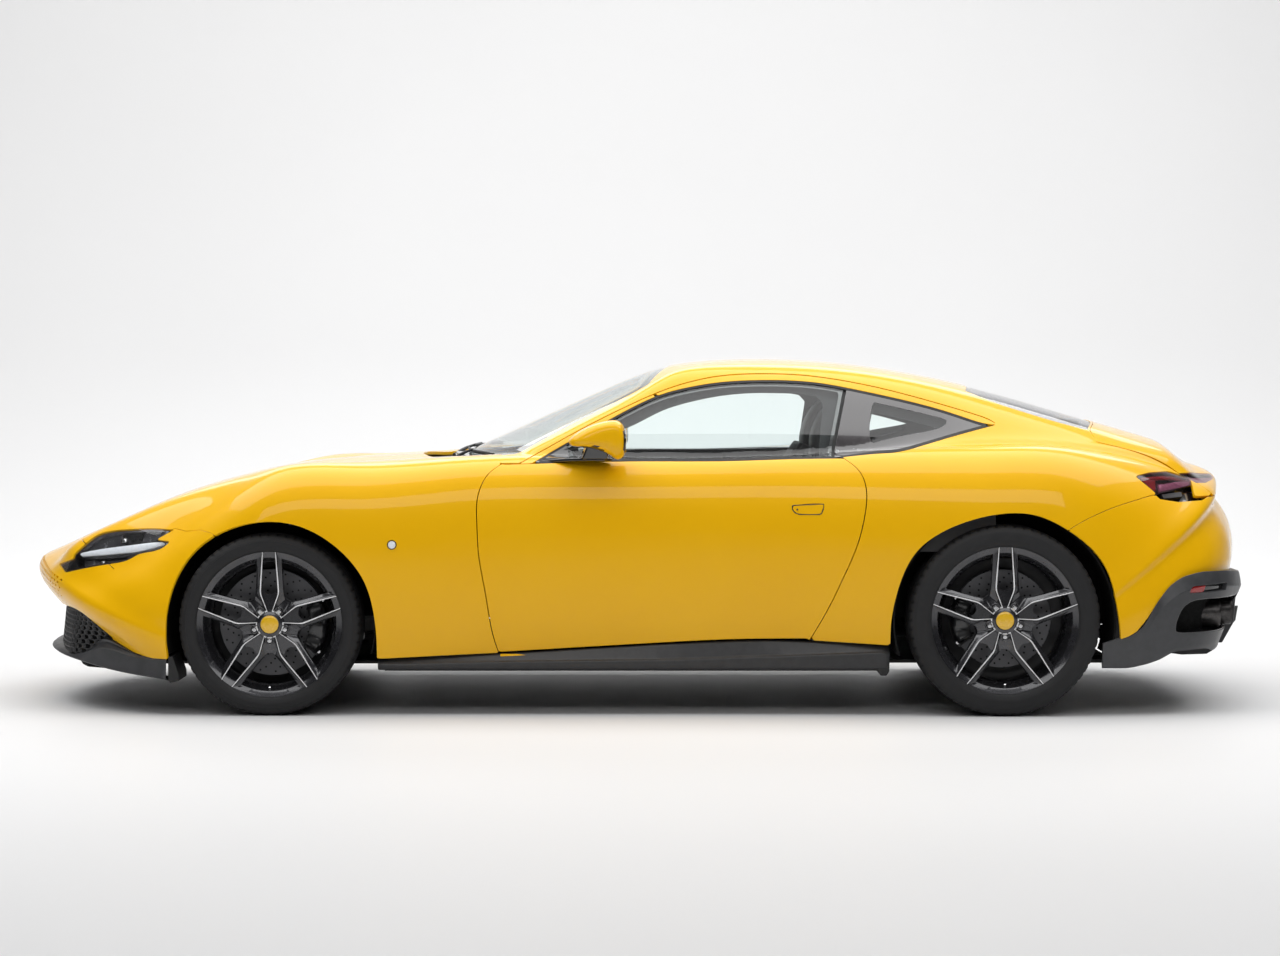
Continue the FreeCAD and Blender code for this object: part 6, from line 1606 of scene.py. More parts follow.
def brake_piece(ax, sg, name, body, kbody):
    x, R, yo, W, rr = AXL[ax]
    rd = .195 if ax == "front" else .180
    yd = yo - .150
    prof = [(yd - .017, .102), (yd - .017, rd - .001), (yd - .016, rd), (yd - .0062, rd), (yd - .0060, rd - .006), (yd + .0060, rd - .006), (yd + .0062, rd), (yd + .016, rd), (yd + .017, rd - .001), (yd + .017, .106),
            (yd + .020, .104), (yo - .082, .098), (yo - .0775, .094), (yo - .0775, .030), (yo - .086, .030), (yo - .086, .088), (yd + .012, .094), (yd + .004, .102)]
    d = lathe(name + "_rotor", prof, (x, 0, R), [M["disc"], M["alloy"]], n=120, sg=sg)
    d.data.set_sharp_from_angle(angle=math.radians(30))
    for p in d.data.polygons:
        c = p.center
        if math.hypot(c[0] - x, c[2] - R) < .1045:
            p.material_index = 1
    place(d, wheel_center(ax, sg))
    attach(d, body)
    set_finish(d, "brake_disc")
    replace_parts(d, "brake_disc_" + name)
    # caliper: bridge block following the disc, with pistons' housings, pads' slot and bolts
    sgx = 1 if ax == "front" else -1
    a0, a1 = (-38, 30) if ax == "front" else (-34, 30)
    ro, ri = rd + .014, rd - .058
    G = []
    N = 22
    for i in range(N + 1):
        t = i / N
        a = math.radians(a0 + (a1 - a0) * t)
        e = min(1, math.sin(math.pi * t) * 3.2) ** .5
        swell = 1.0
        bump_ = .006 * (math.sin(math.pi * 3 * t) ** 2)
        sec = [(ri + .016 * (1 - e), .024), (ri + .002 + .010 * (1 - e), .046 * e + .012), ((ri + ro) / 2 - .010, (.050 + bump_) * e + .008), ((ri + ro) / 2 + .014, (.052 + bump_) * e + .006), (ro - .010 * (2 - e), .046 * e + .006), (ro * swell - .010 * (1 - e) * 2 - .004, .030 * e), (ro * swell - .006 * (1 - e) * 2 - .004, 0.0)]
        full = [(r, w) for r, w in sec] + [(r, -w * .9) for r, w in sec[::-1][1:]]
        G.append([(x + sgx * r * math.cos(a), sg * (yd + w), R + r * math.sin(a)) for r, w in full])
    G = np.array(G)
    m = G.shape[1]
    P = G.reshape(-1, 3).tolist()
    polys = [[i * m + j, (i + 1) * m + j, (i + 1) * m + j + 1, i * m + j + 1] for i in range(N) for j in range(m - 1)]
    # inner slot for the disc
    P2 = []
    for i in range(N + 1):
        t = i / N
        a = math.radians(a0 + (a1 - a0) * t)
        for r, w in ((ri + .004, .021), (rd + .007, .0205), (rd + .007, -.0205), (ri + .004, -.021)):
            P2.append([x + sgx * r * math.cos(a), sg * (yd + w), R + r * math.sin(a)])
    b = len(P)
    P += P2
    polys += [[b + i * 4 + j, b + i * 4 + j + 1, b + (i + 1) * 4 + j + 1, b + (i + 1) * 4 + j] for i in range(N) for j in range(3)]
    for i in range(N):
        polys.append([i * m, (i + 1) * m, b + (i + 1) * 4, b + i * 4])
        polys.append([i * m + m - 1, b + i * 4 + 3, b + (i + 1) * 4 + 3, (i + 1) * m + m - 1])
    for i in (0, N):
        polys.append([i * m + j for j in range(m)] + [b + i * 4 + 3, b + i * 4 + 2, b + i * 4 + 1, b + i * 4])
    cal = solid(name + "_caliper_body", P, polys, M["caliper"], kbody, "cast_alloy", bev=.0015, seg=2)
    extra = []
    for aa in (-24, 2, 20) if ax == "front" else (-18, 14):
        a = math.radians(aa)
        r = (ri + ro) / 2 + .004
        extra.append(lathe("%s_pot_%d" % (name, aa), [(yd + .050, .0002), (yd + .050, .019), (yd + .0585, .0175), (yd + .0600, .015), (yd + .0600, .0002)], (x + sgx * r * math.cos(a), 0, R + r * math.sin(a)), M["caliper"], n=28, sg=sg, body=kbody, slot="cast_alloy"))
    for aa in (a0 + 6, a1 - 6):
        a = math.radians(aa)
        r = rd + .006
        extra.append(lathe("%s_bolt_%d" % (name, aa), [(yd + .034, .0002), (yd + .034, .0075), (yd + .0425, .0075), (yd + .0440, .006), (yd + .0440, .0002)], (x + sgx * r * math.cos(a), 0, R + r * math.sin(a)), M["chrome"], n=6, sg=sg, body=kbody, slot="cast_alloy"))
    cal = join(name + "_caliper", [cal] + extra)
    # upright behind the disc with the hub carrier
    up = lathe(name + "_hub_carrier", [(yd - .115, .003), (yd - .115, .040), (yd - .095, .047), (yd - .052, .050), (yd - .045, .062), (yd - .030, .064), (yd - .026, .060), (yd - .026, .003)], (x, 0, R), M["alloy"], n=48, sg=sg, body=kbody, slot="cast_alloy")
    arm = prism(name + "_upright", [(x - .036, sg * (yd - .082), R + .128), (x - .046, sg * (yd - .082), R + .02), (x - .030, sg * (yd - .082), R - .10), (x + .030, sg * (yd - .082), R - .10), (x + .046, sg * (yd - .082), R + .02), (x + .036, sg * (yd - .082), R + .128)], (0, sg * .030, 0), M["alloy"], kbody, "cast_alloy", bev=.006, seg=3)
    lug = prism(name + "_caliper_lug", [(x + sgx * .03, sg * (yd - .078), R - .06), (x + sgx * .158, sg * (yd - .078), R - .07), (x + sgx * .165, sg * (yd - .078), R + .05), (x + sgx * .03, sg * (yd - .078), R + .07)], (0, sg * .022, 0), M["alloy"], kbody, "cast_alloy", bev=.005, seg=3)
    sh = lathe(name + "_shield", [(yd - .026, .066), (yd - .026, rd - .004), (yd - .0245, rd - .002), (yd - .0230, rd - .004), (yd - .0230, .066)], (x, 0, R), M["black"], n=64, sg=sg, body=kbody, slot="cast_alloy")
    k = join(name + "_upright_group", [up, arm, lug, sh])
    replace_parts(k, ("knuckle_" + name) if name.startswith("front") else "rear_knuckles")
    return d


for ax in ("front", "rear"):
    for sd, sg in (("left", -1), ("right", 1)):
        nm = ax + "_" + sd
        wb = "wheel_" + nm
        kb = "knuckle_" + sd if ax == "front" else "body"
        tyre_piece(ax, sg, "tyre_" + nm + "_ring", wb)
        wheel_piece(ax, sg, nm, wb)
        brake_piece(ax, sg, nm, wb, kb)


# ---- placing small things on the outer surface ------------------------------------
def px_sv(px, py, s0, s1, v0, v1, n=46):
    """Surface parameters where the side view's line of sight meets the left side."""
    for k in range(5):
        Sg, Vg = np.repeat(np.linspace(s0, s1, n), n), np.tile(np.linspace(v0, v1, n), n)
        P = S(Sg, Vg)
        D = 12.55 - P[:, 1]
        d = (640 + (P[:, 0] - .0095) * 3204 / D - px) ** 2 + (380 + (1.22 - P[:, 2]) * 3204 / D - py) ** 2
        i = int(d.argmin())
        a, b = (s1 - s0) / n * 1.8, (v1 - v0) / n * 1.8
        s0, s1, v0, v1, n = Sg[i] - a, Sg[i] + a, Vg[i] - b, Vg[i] + b, 16
    return float(Sg[i]), float(Vg[i])


def px_pts(pts, zone, offs=0.0, side=-1):
    """Points on the surface under a list of side-view points, pushed out by offs; with normals."""
    sv = np.array([px_sv(x, y, *zone) for x, y in pts])
    P, N = SN(sv[:, 0], sv[:, 1])
    o = np.broadcast_to(np.asarray(offs, float), (len(pts),))[:, None]
    mir = np.array([1, side, 1.0])
    return (P + N * o) * mir, N * mir


def px_block(name, pts, zone, off, depth, mat, body, slot=None, bev=.0008, seg=2):
    """A plate with the outline of side-view points, lying under the surface by off and depth thick."""
    P, N = px_pts(pts, zone, off)
    n = N.mean(0)
    n /= np.linalg.norm(n)
    m = len(P)
    V = np.concatenate([P, P - N * depth])
    c = len(V)
    V = np.concatenate([V, [P.mean(0)], [(P - N * depth).mean(0)]])
    polys = [[i, (i + 1) % m, c] for i in range(m)] + [[m + (i + 1) % m, m + i, c + 1] for i in range(m)] + [[i, m + i, m + (i + 1) % m, (i + 1) % m] for i in range(m)]
    return solid(name, V, polys, mat, body, slot, bev, seg)


def px_ribbon(name, up, lo, zone, off_u, off_l, crown, depth, mat, body, slot=None, n=6):
    """A crowned bar between an upper and a lower row of side-view points."""
    up, lo = smooth_run(up, n), smooth_run(lo, n)
    k = len(up)
    fr = [0, .18, .5, .82, 1]
    ou, ol = np.broadcast_to(np.asarray(off_u, float), (k,)), np.broadcast_to(np.asarray(off_l, float), (k,))
    rows = []
    for f in fr:
        pts = [(a[0] + (b[0] - a[0]) * f, a[1] + (b[1] - a[1]) * f) for a, b in zip(up, lo)]
        e = crown * (1 - (2 * f - 1) ** 2)
        rows.append(px_pts(pts, zone, ou + (ol - ou) * f + e)[0])
    bk = [px_pts(q, zone, ou - depth)[0] for q in (lo, up)]
    G = np.array(rows + bk)
    r = len(G)
    V = G.reshape(-1, 3)
    polys = [[i * k + j, i * k + j + 1, ((i + 1) % r) * k + j + 1, ((i + 1) % r) * k + j] for i in range(r) for j in range(k - 1)]
    polys += [[i * k for i in range(r)], [i * k + k - 1 for i in range(r)][::-1]]
    return solid(name, V, polys, mat, body, slot, .0006, 2)


ZH = (.30, 1.02, .60, 1.08)

# ---- headlights -------------------------------------------------------------------
LENS_P = grow(HEAD_POLY, -.0024)
HL = []
lens = panel("headlight_lens_left", .34, 1.0, .60, 1.10, [in_side(LENS_P)], M["lens"], "body", side=-1, off=-.0012, step=.011, rim=.0006, depth=.003, slot="lamp_clear", rep=("headlights",))
HL.append(panel("headlight_border_left", .34, 1.0, .60, 1.10, [in_side(LENS_P), neg(in_side(grow(HEAD_POLY, -.0105)))], M["frit"], "body", side=-1, off=-.0068, step=.009, rim=.0004, depth=.030, slot="black_trim"))
HL.append(panel("headlight_floor_left", .34, 1.0, .60, 1.10, [in_side(LENS_P)], M["lamp_dark"], "body", side=-1, off=-.036, step=.012, rim=0, depth=0, slot="lamp_clear"))
HL.append(px_block("headlight_filler_left", [(56.5, 565.5), (64, 562), (72.8, 558), (74.5, 564), (76.5, 569.2), (64.5, 573)], ZH, -.0062, .026, M["gloss_black"], "body", "black_trim", .0012))
# inner surround, a paler plate round each cell
HL.append(px_ribbon("headlight_bar_left", [(77, 552.3), (100, 547.9), (120, 545.3), (140, 542.6), (152, 541.2), (164, 540.9)], [(79, 555.3), (100, 553.6), (120, 551.9), (140, 549.4), (152, 546.0), (164, 542.6)], ZH, -.0095, -.013, .0022, .016, M["drl"], "body", "lamp_clear", n=4))
HL.append(px_ribbon("headlight_sill_left", [(78, 556.0), (100, 554.4), (120, 552.8), (138, 550.6), (150, 548.6)], [(78.5, 558.2), (100, 557.6), (120, 556.6), (134, 554.6), (144, 551.6)], ZH, -.016, -.014, .0, .018, M["gloss_black"], "body", "black_trim", n=4))
HL.append(px_ribbon("headlight_lower_reflector_left", [(78.5, 558.6), (96, 558.2), (112, 557.6), (126, 556.6)], [(80.5, 567.4), (97, 565.6), (112, 561.8), (124, 558.6)], ZH, -.026, -.015, -.003, .008, M["lamp_grey"], "body", "lamp_clear", n=4))
HL.append(px_ribbon("headlight_upper_reflector_left", [(83, 544.5), (92, 538.6), (104, 533.2), (118, 530.6)], [(79, 551.0), (92, 548.0), (106, 545.9), (122, 544.3)], ZH, -.016, -.026, -.003, .008, M["lamp_grey"], "body", "lamp_clear", n=4))
HL.append(px_ribbon("headlight_fin_a_left", [(121, 530.6), (131, 530.2), (141, 530.0)], [(124, 543.6), (131, 542.6), (137, 541.8)], ZH, -.018, -.030, .0, .006, M["lamp_dark"], "body", "lamp_clear", n=3))
HL.append(px_ribbon("headlight_fin_b_left", [(143, 530.0), (150, 529.8), (158, 529.9), (168, 530.0)], [(139, 541.4), (144, 540.6), (149, 539.7), (154, 538.6)], ZH, -.012, -.024, .0, .006, M["lamp_grey"], "body", "lamp_clear", n=3))
for nm, cx, cy, r in (("upper", 121.6, 539.2, 3.0), ("lower", 99.6, 562.0, 2.6)):
    loop = [(cx - r, cy - r * .8), (cx + r, cy - r * .95), (cx + r * .9, cy + r * .8), (cx - r * .95, cy + r * .9)]
    HL.append(px_block("headlight_unit_%s_left" % nm, loop, ZH, -.0135, .018, M["gloss_black"], "body", "black_trim", .0012))
    k = .72
    HL.append(px_block("headlight_projector_%s_left" % nm, [(cx + (a - cx) * k, cy + (b - cy) * k) for a, b in loop], ZH, -.0115, .010, M["chrome"], "body", "lamp_clear", .0014, 3))
hl_all = join("headlight_inside_left", HL)
copy_mirror(lens, "headlight_lens_right", "body")
copy_mirror(hl_all, "headlight_inside_right", "body")

# ---- lower intake: honeycomb behind the mouth, with its dark surround -------------
_sg, _vg = np.meshgrid(np.linspace(.03, .34, 70), np.linspace(.60, VMAX, 90), indexing="ij")
_P = S(_sg.ravel(), _vg.ravel())


def nose_x(y, z):
    """x of the nose at (|y|, z), from near surface points."""
    y, z = np.abs(np.asarray(y, float)), np.asarray(z, float)
    out = np.empty(len(y))
    for i in range(0, len(y), 400):
        d = (_P[None, :, 1] - y[i:i + 400, None]) ** 2 + ((_P[None, :, 2] - z[i:i + 400, None]) * .9) ** 2
        k = np.argsort(d, 1)[:, :6]
        w = 1 / (np.take_along_axis(d, k, 1) + 1e-5)
        out[i:i + 400] = (w * _P[k, 0]).sum(1) / w.sum(1)
    return out


_ys, _zs = np.linspace(0, .86, 30), np.linspace(.19, .40, 9)
_gx = np.array([nose_x(np.full(9, q), _zs) for q in _ys])


def nose_x2(y, z):
    a = np.clip(np.abs(y) / .86 * 29, 0, 28.999)
    b = np.clip((z - .19) / .21 * 8, 0, 7.999)
    i, j = a.astype(int), b.astype(int)
    fa, fb = a - i, b - j
    return _gx[i, j] * (1 - fa) * (1 - fb) + _gx[i + 1, j] * fa * (1 - fb) + _gx[i, j + 1] * (1 - fa) * fb + _gx[i + 1, j + 1] * fa * fb


def mouth_surf(z, y):
    """Slightly sunk sheet across the mouth, as (height, width) -> point."""
    z, y = np.asarray(z, float), np.asarray(y, float)
    k = nstep(.60, .78, np.abs(y))
    drop = nose_x2(y, np.full(len(y), .368)) + .014 - (.368 - z) * .10
    return np.stack([drop * (1 - k) + (nose_x2(y, z) + .022) * k, y, z], -1)


def honeycomb(name, surf, y0, y1, z0, z1, r, wall, depth, mat, body, slot, keepf):
    """A sheet of open hexagonal cells, pushed back by depth."""
    P, F = [], []
    dx, dz = r * math.sqrt(3), r * 1.5
    nz, ny = int((z1 - z0) / dz) + 1, int((y1 - y0) / dx) + 1
    hexes = []
    for j in range(nz):
        for i in range(ny):
            cy, cz = y0 + i * dx + (dx / 2 if j % 2 else 0), z0 + j * dz
            if keepf(cy, cz):
                hexes.append((cy, cz))
    for cy, cz in hexes:
        b = len(P)
        rin = r - wall
        for R_, dd in ((r, 0), (rin, 0), (rin - .0004, depth)):
            for k in range(6):
                a = math.radians(60 * k + 30)
                P.append((cz + R_ * math.sin(a), cy + R_ * math.cos(a), dd))
        for k in range(6):
            l = (k + 1) % 6
            F.append([b + k, b + l, b + 6 + l, b + 6 + k])
            F.append([b + 6 + k, b + 6 + l, b + 12 + l, b + 12 + k])
    A = np.array(P)
    Q = surf(A[:, 0], A[:, 1])
    Q[:, 0] += A[:, 2]
    Q, _, F = weld(Q, np.zeros_like(Q), F, .0003)
    ob = mesh_obj(name, Q, F, mat, smooth=False)
    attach(ob, body)
    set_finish(ob, slot)
    return ob


MP = np.array(outline([MOUTH]))
mz = lambda y, z: bool(sdist(MP, np.array([[y, z]]))[0] > -.010) and z > .20
honeycomb("intake_mesh", mouth_surf, -.80, .80, .215, .385, .0115, .0016, .010, M["black"], "body", "black_trim", mz)
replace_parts(bpy.data.objects["intake_mesh"], "intake_grille")
G = [[mouth_surf(np.array([z]), np.array([y]))[0] + np.array([.075, 0, 0]) for z in np.linspace(.15, .40, 6)] for y in np.linspace(-.84, .84, 30)]
grid_obj("intake_backing", G, M["liner"], body="body", slot="black_trim")
# surround: follows the mouth's edge inward
mo = outline([MOUTH], 10)
mo = mo[(mo[:, 1] > .2)]
G = []
order = np.argsort(mo[:, 0])
for y, z in mo[order]:
    x = nose_x2(np.array([y]), np.array([z]))[0]
    G.append([(x - .0005, y, z + .0012), (x + .012, y * .999, z - .001), (x + .050, y * .997, z - .003), (x + .080, y * .996, z - .004)])
grid_obj("intake_surround", G, M["black"], body="body", slot="black_trim")
# two tapered guide vanes across the mouth and a cooler behind the mesh
for i, zz in enumerate((.262, .322)):
    loop = [(nose_x2(np.array([y]), np.array([zz]))[0] + .052, y, zz) for y in np.linspace(-.70, .70, 25)]
    back = [(nose_x2(np.array([y]), np.array([zz]))[0] + .100, y, zz + .008) for y in np.linspace(.70, -.70, 25)]
    prism("intake_vane_%d" % i, loop + back, (0, 0, .006), M["black"], "body", "black_trim", bev=.0015)
cube("radiator_core", -1.985, -1.955, -.56, .56, .235, .56, M["alloy"], "body", "structure", bev=.006)
for sgn, nm in ((-1, "left"), (1, "right")):
    cube("radiator_tank_" + nm, -1.992, -1.948, sgn * .58 - .022, sgn * .58 + .022, .230, .565, M["black"], "body", "black_trim", bev=.010)

# ---- front splitter with the skirts to the wheel arches ---------------------------
tt = [0, .18, .36, .52, .64, .74, .84, .93, 1.0]
ey = [0, .19, .38, .55, .675, .772, .853, .905, .930]
ex = [-2.267 + .30 * q * q + .42 * q ** 5 for q in ey]
zb = [.206, .205, .200, .191, .179, .1625, .147, .138, .131]
zt_ = [.2165, .2155, .2110, .2050, .2050, .236, .2140, .2060, .2035]
wt = [.105, .102, .092, .076, .052, .014, .009, .006, .005]
zi = [.2600, .2580, .2520, .2430, .2290, .2640, .2240, .2120, .2095]
F_ = {k: NS(tt, v) for k, v in (("x", ex), ("y", ey), ("zb", zb), ("zt", zt_), ("w", wt), ("zi", zi))}


def splitter_rows(sg):
    rows = []
    for t in np.linspace(0, 1, 64):
        x, y = float(F_["x"](np.array([t]))[0]), float(F_["y"](np.array([t]))[0])
        h = 1e-3
        dx = float(F_["x"](np.array([min(1, t + h)]))[0] - F_["x"](np.array([t - h]))[0])
        dy = float(F_["y"](np.array([min(1, t + h)]))[0] - F_["y"](np.array([t - h]))[0])
        n = np.array([dy, -dx])
        n /= np.linalg.norm(n)
        if t == 0:
            n = np.array([1.0, 0])
        B, T, W, I = (float(F_[k](np.array([t]))[0]) for k in ("zb", "zt", "w", "zi"))
        q = lambda d, z: (x + n[0] * d, sg * (y + n[1] * d), z)
        lip = min(.010, (T - B) * .5)
        rows.append([q(.34 if t < .7 else max(.06, .34 - 1.2 * (t - .7)), B - .022 * (1 - t) + .004), q(.070, B - .010), q(.022, B - .004), q(.006, B - .0005), q(.0, B + .004), q(.0008, B + lip), q(.0035, T - .004), q(.0080, T + .0005),
                     q(.020 if W > .03 else W * .6 + .006, T + (I - T) * (.10 if W > .03 else .6)), q(W * .55 + .010, T + (I - T) * .52), q(W + .004, I), q(W + .020, I + .006), q(W + .045, I - .004)])
    return rows


G = [r for r in splitter_rows(-1)[::-1]] + [r for r in splitter_rows(1)[1:]]
sp = grid_obj("front_splitter_skin", G, M["grey"], body="body", slot="black_trim")
sp.data.set_sharp_from_angle(angle=math.radians(32))
k_ = sp.modifiers.new("thick", "SOLIDIFY")
k_.thickness, k_.offset = .003, 0
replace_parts(sp, "front_splitter")
for sg, nm in ((-1, "left"), (1, "right")):
    # rubber air dam flap in front of each front wheel
    prism("front_flap_" + nm, [(-1.706, sg * .928, .214), (-1.690, sg * .925, .214), (-1.668, sg * .922, .150), (-1.668, sg * .922, .126), (-1.700, sg * .926, .1185), (-1.707, sg * .928, .134)], (0, -sg * .20, 0), M["belt"], "body", "black_trim", bev=.002)

# ---- sills ------------------------------------------------------------------------
LOWX, LOWZ = [-.948, -.861, -.515, -.054, .301, .472, .626, .918], [.207, .211, .227, .253, .272, .276, .272, .257]
for sg, nm in ((-1, "left"), (1, "right")):
    rows = []
    for x in np.linspace(-.944, .916, 60):
        zt = float(NS(LOWX, LOWZ)(np.array([x]))[0]) - .0062
        yo = .9255 + .012 * float(np.ravel(nstep(.2, .9, x))[0])
        zs = float(np.interp(x, [-.86, -.52, .17, .62, .90], [.184, .191, .1995, .2165, .2263]))
        rows.append([(x, sg * (yo - a), z) for a, z in ((.130, zt + .002), (.034, zt + .001), (.029, zt - .001), (.024, zt - .006), (.0125, zs + .010), (.0085, zs + .0062), (.0015, zs + .0025), (.0, zs), (.0005, zs - .004), (.004, .176), (.0075, .1715), (.013, .1685), (.034, .1645), (.130, .165))])
    so = grid_obj("sill_trim_" + nm, rows, M["black"], body="body", slot="black_trim")
    so.data.set_sharp_from_angle(angle=math.radians(30))
    kk = so.modifiers.new("thick", "SOLIDIFY")
    kk.thickness, kk.offset = .003, 0
    if sg < 0:
        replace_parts(so, "sills")
    # rubber flap ahead of the rear wheel, and a jack pad
    prism("rear_flap_" + nm, [(.880, sg * .934, .232), (.913, sg * .934, .232), (.916, sg * .934, .162), (.905, sg * .934, .146), (.884, sg * .934, .146), (.872, sg * .934, .163)], (0, -sg * .17, 0), M["belt"], "body", "black_trim", bev=.002)
    prism("jack_pad_front_" + nm, [(-.84, sg * .74, .153), (-.76, sg * .74, .153), (-.76, sg * .66, .153), (-.84, sg * .66, .153)], (0, 0, -.0028), M["belt"], "body", "black_trim", bev=.001)

# ---- side markers -----------------------------------------------------------------
sv = px_sv(391.5, 545, 1.2, 2.2, .3, .9)
Pm, Nm = SN(np.array([sv[0]]), np.array([sv[1]]))
Pm, Nm = Pm[0], Nm[0]
for sg, nm in ((-1, "left"), (1, "right")):
    c, n = Pm * np.array([1, sg, 1]), Nm * np.array([1, sg, 1])
    q = Vector(n).to_track_quat("Z", "Y")
    for part, prof, mat, slot_ in (("ring", [(-.006, .0176), (.0006, .0176), (.0016, .0168), (.0018, .0150), (.0010, .0140), (-.006, .0140)], M["gloss_black"], "black_trim"), ("lens", [(-.006, .0139), (-.0002, .0139), (.0008, .0125), (.0014, .006), (.0015, .0001), (-.006, .0001)], M["drl"], "lamp_clear")):
        ob = lathe("side_marker_%s_%s" % (part, nm), prof, (0, 0, 0), mat, n=40, axis=2)
        ob.data.transform(Matrix.Translation(c) @ q.to_matrix().to_4x4())
        ob.data.set_sharp_from_angle(angle=math.radians(40))
        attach(ob, "body")
        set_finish(ob, slot_)


# ---- door mirrors -----------------------------------------------------------------
MZ = [(-.2520, .9990), (-.2330, 1.0200), (-.1786, 1.0530), (-.1250, 1.0700), (-.0773, 1.0745), (-.0530, 1.0600), (-.0420, 1.0320), (-.0400, .9960), (-.0430, .9600), (-.0530, .9400), (-.0737, .9320), (-.0969, .9460), (-.1550, .9680), (-.2150, .9765), (-.2420, .9830)]
MZ = np.array(smooth_run(MZ + [MZ[0]], 4)[:-1])
xr, zc = -.041, 1.003
for sg, nm in ((-1, "left"), (1, "right")):
    G = []
    for y, kx, kz, dx, dz in ((.8600, .30, .28, -.010, -.012), (.8610, .44, .42, -.008, -.010), (.8650, .58, .60, -.006, -.008), (.8740, .74, .78, -.003, -.005), (.8900, .88, .92, -.001, -.002), (.9150, .97, .985, 0, 0), (.9450, 1, 1, 0, 0),
                              (.9750, .985, .985, -.001, 0), (.9980, .93, .94, -.004, .001), (1.0150, .83, .85, -.009, .002), (1.0250, .68, .70, -.015, .003), (1.0295, .48, .50, -.022, .004), (1.0305, .22, .24, -.030, .004)):
        G.append([(xr + dx + (x - xr) * kx, sg * y, zc + dz + (z - zc) * kz) for x, z in MZ])
    G = np.array(G)
    n, m = G.shape[:2]
    P = G.reshape(-1, 3).tolist()
    F = [[i * m + j, (i + 1) * m + j, (i + 1) * m + (j + 1) % m, i * m + (j + 1) % m] for i in range(n - 1) for j in range(m)] + [list(range(m)), [(n - 1) * m + j for j in range(m)]]
    body_ = "door_" + nm
    h = mesh_obj("mirror_housing_" + nm, P, F, [M["paint"], M["gloss_black"]])
    fix_normals(h)
    for p in h.data.polygons:
        c = p.center
        if (c[0] > -.0500 and p.normal[0] > .93) or (c[2] < .982 and c[0] < -.115 and p.normal[2] < -.75):
            p.material_index = 1
    k_ = h.modifiers.new("sub", "SUBSURF")
    k_.levels = k_.render_levels = 1
    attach(h, body_)
    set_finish(h, "body_paint")
    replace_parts(h, "mirror_" + nm)
    # mirror plate, slightly sunk in its frame
    pl = [(yy, zz) for yy, zz in [(.884, .962), (.900, .950), (.960, .945), (.996, .955), (1.008, .985), (1.006, 1.020), (.990, 1.046), (.950, 1.056), (.905, 1.050), (.886, 1.030), (.880, .995)]]
    pl = smooth_run(pl + [pl[0]], 4)[:-1]
    pl = [(.9430 + (yy - .9430) * .90, 1.001 + (zz - 1.001) * .80) for yy, zz in pl]
    prism("mirror_frame_" + nm, [(-.0485, sg * yy, zz) for yy, zz in pl], (.0070, 0, 0), M["gloss_black"], body_, "black_trim", bev=.0018)
    cy, cz = .945, 1.001
    prism("mirror_plate_" + nm, [(-.0440, sg * (cy + (yy - cy) * .93), cz + (zz - cz) * .91) for yy, zz in pl], (.0035, 0, 0), M["mirror"], body_, "glass", bev=.0006)
    # dark foot on the door's shoulder
    foot = [(-.330, .838, .9165), (-.255, .842, .9165), (-.150, .846, .9195), (-.100, .852, .9210), (-.092, .876, .9225), (-.120, .912, .9260), (-.180, .915, .9260), (-.255, .880, .9235)]
    prism("mirror_foot_" + nm, [(x, sg * y, z) for x, y, z in foot], (0, 0, .0125), M["gloss_black"], body_, "black_trim", bev=.004, seg=3)
    stalk = [(-.215, .880, .930), (-.115, .872, .930), (-.105, .915, .930), (-.200, .918, .930)]
    top = [(-.190, .885, .985), (-.110, .880, .985), (-.105, .930, .985), (-.180, .935, .985)]
    P = [(x, sg * y, z) for x, y, z in stalk + top]
    solid("mirror_stalk_" + nm, P, [[3, 2, 1, 0], [4, 5, 6, 7], [0, 1, 5, 4], [1, 2, 6, 5], [2, 3, 7, 6], [3, 0, 4, 7]], M["gloss_black"], body_, "black_trim", bev=.010, seg=3)
    # small sail at the front corner of the window
    panel("mirror_sail_" + nm, 2.20, 2.50, .76, .92, [in_side([(-.376, .9215), (-.300, .9590), (-.262, .9800), (-.244, .9235)])], M["gloss_black"], body_, side=sg, off=-.0020, step=.010, vstep=.006, rim=.0006, depth=.006, slot="black_trim")

# ---- wipers -----------------------------------------------------------------------
for i, (a, b, piv) in enumerate((((-.535, -.600), (-.655, -.080), (-.705, -.330)), ((-.640, .000), (-.545, .500), (-.715, .060)))):
    L = [(a[0] + (b[0] - a[0]) * t - .030 * math.sin(math.pi * t), a[1] + (b[1] - a[1]) * t) for t in np.linspace(0, 1, 9)]
    zz = z_green(np.array([p[0] for p in L]), np.array([p[1] for p in L]))
    bl = [(x, y, float(z) + .0105) for (x, y), z in zip(L, zz)]
    rub = [(x, y, float(z) + .0035) for (x, y), z in zip(L, zz)]
    w1 = tube("wiper_blade_%d" % i, bl, .0060, M["black"], "body", "black_trim", n=10, radii=[.003, .0055, .0065, .0055, .003])
    w2 = tube("wiper_rubber_%d" % i, rub, .0022, M["belt"], "body", "black_trim", n=8)
    mid = bl[4]
    pz = float(z_green(np.array([piv[0]]), np.array([piv[1]]))[0])
    arm = tube("wiper_arm_%d" % i, [(piv[0], piv[1], pz + .006), (piv[0] * .65 + mid[0] * .35, piv[1] * .65 + mid[1] * .35, pz * .65 + mid[2] * .35 + .014), (mid[0], mid[1], mid[2] + .006)], .0055, M["black"], "body", "black_trim", n=10, radii=[.009, .0065, .004])
    cap_ = lathe("wiper_pivot_%d" % i, [(pz - .020, .0002), (pz - .020, .0125), (pz + .006, .0135), (pz + .012, .0115), (pz + .014, .0002)], (piv[0], piv[1], 0), M["black"], n=24, axis=2, body="body", slot="black_trim")
    join("wiper_%d" % i, [w1, w2, arm, cap_])

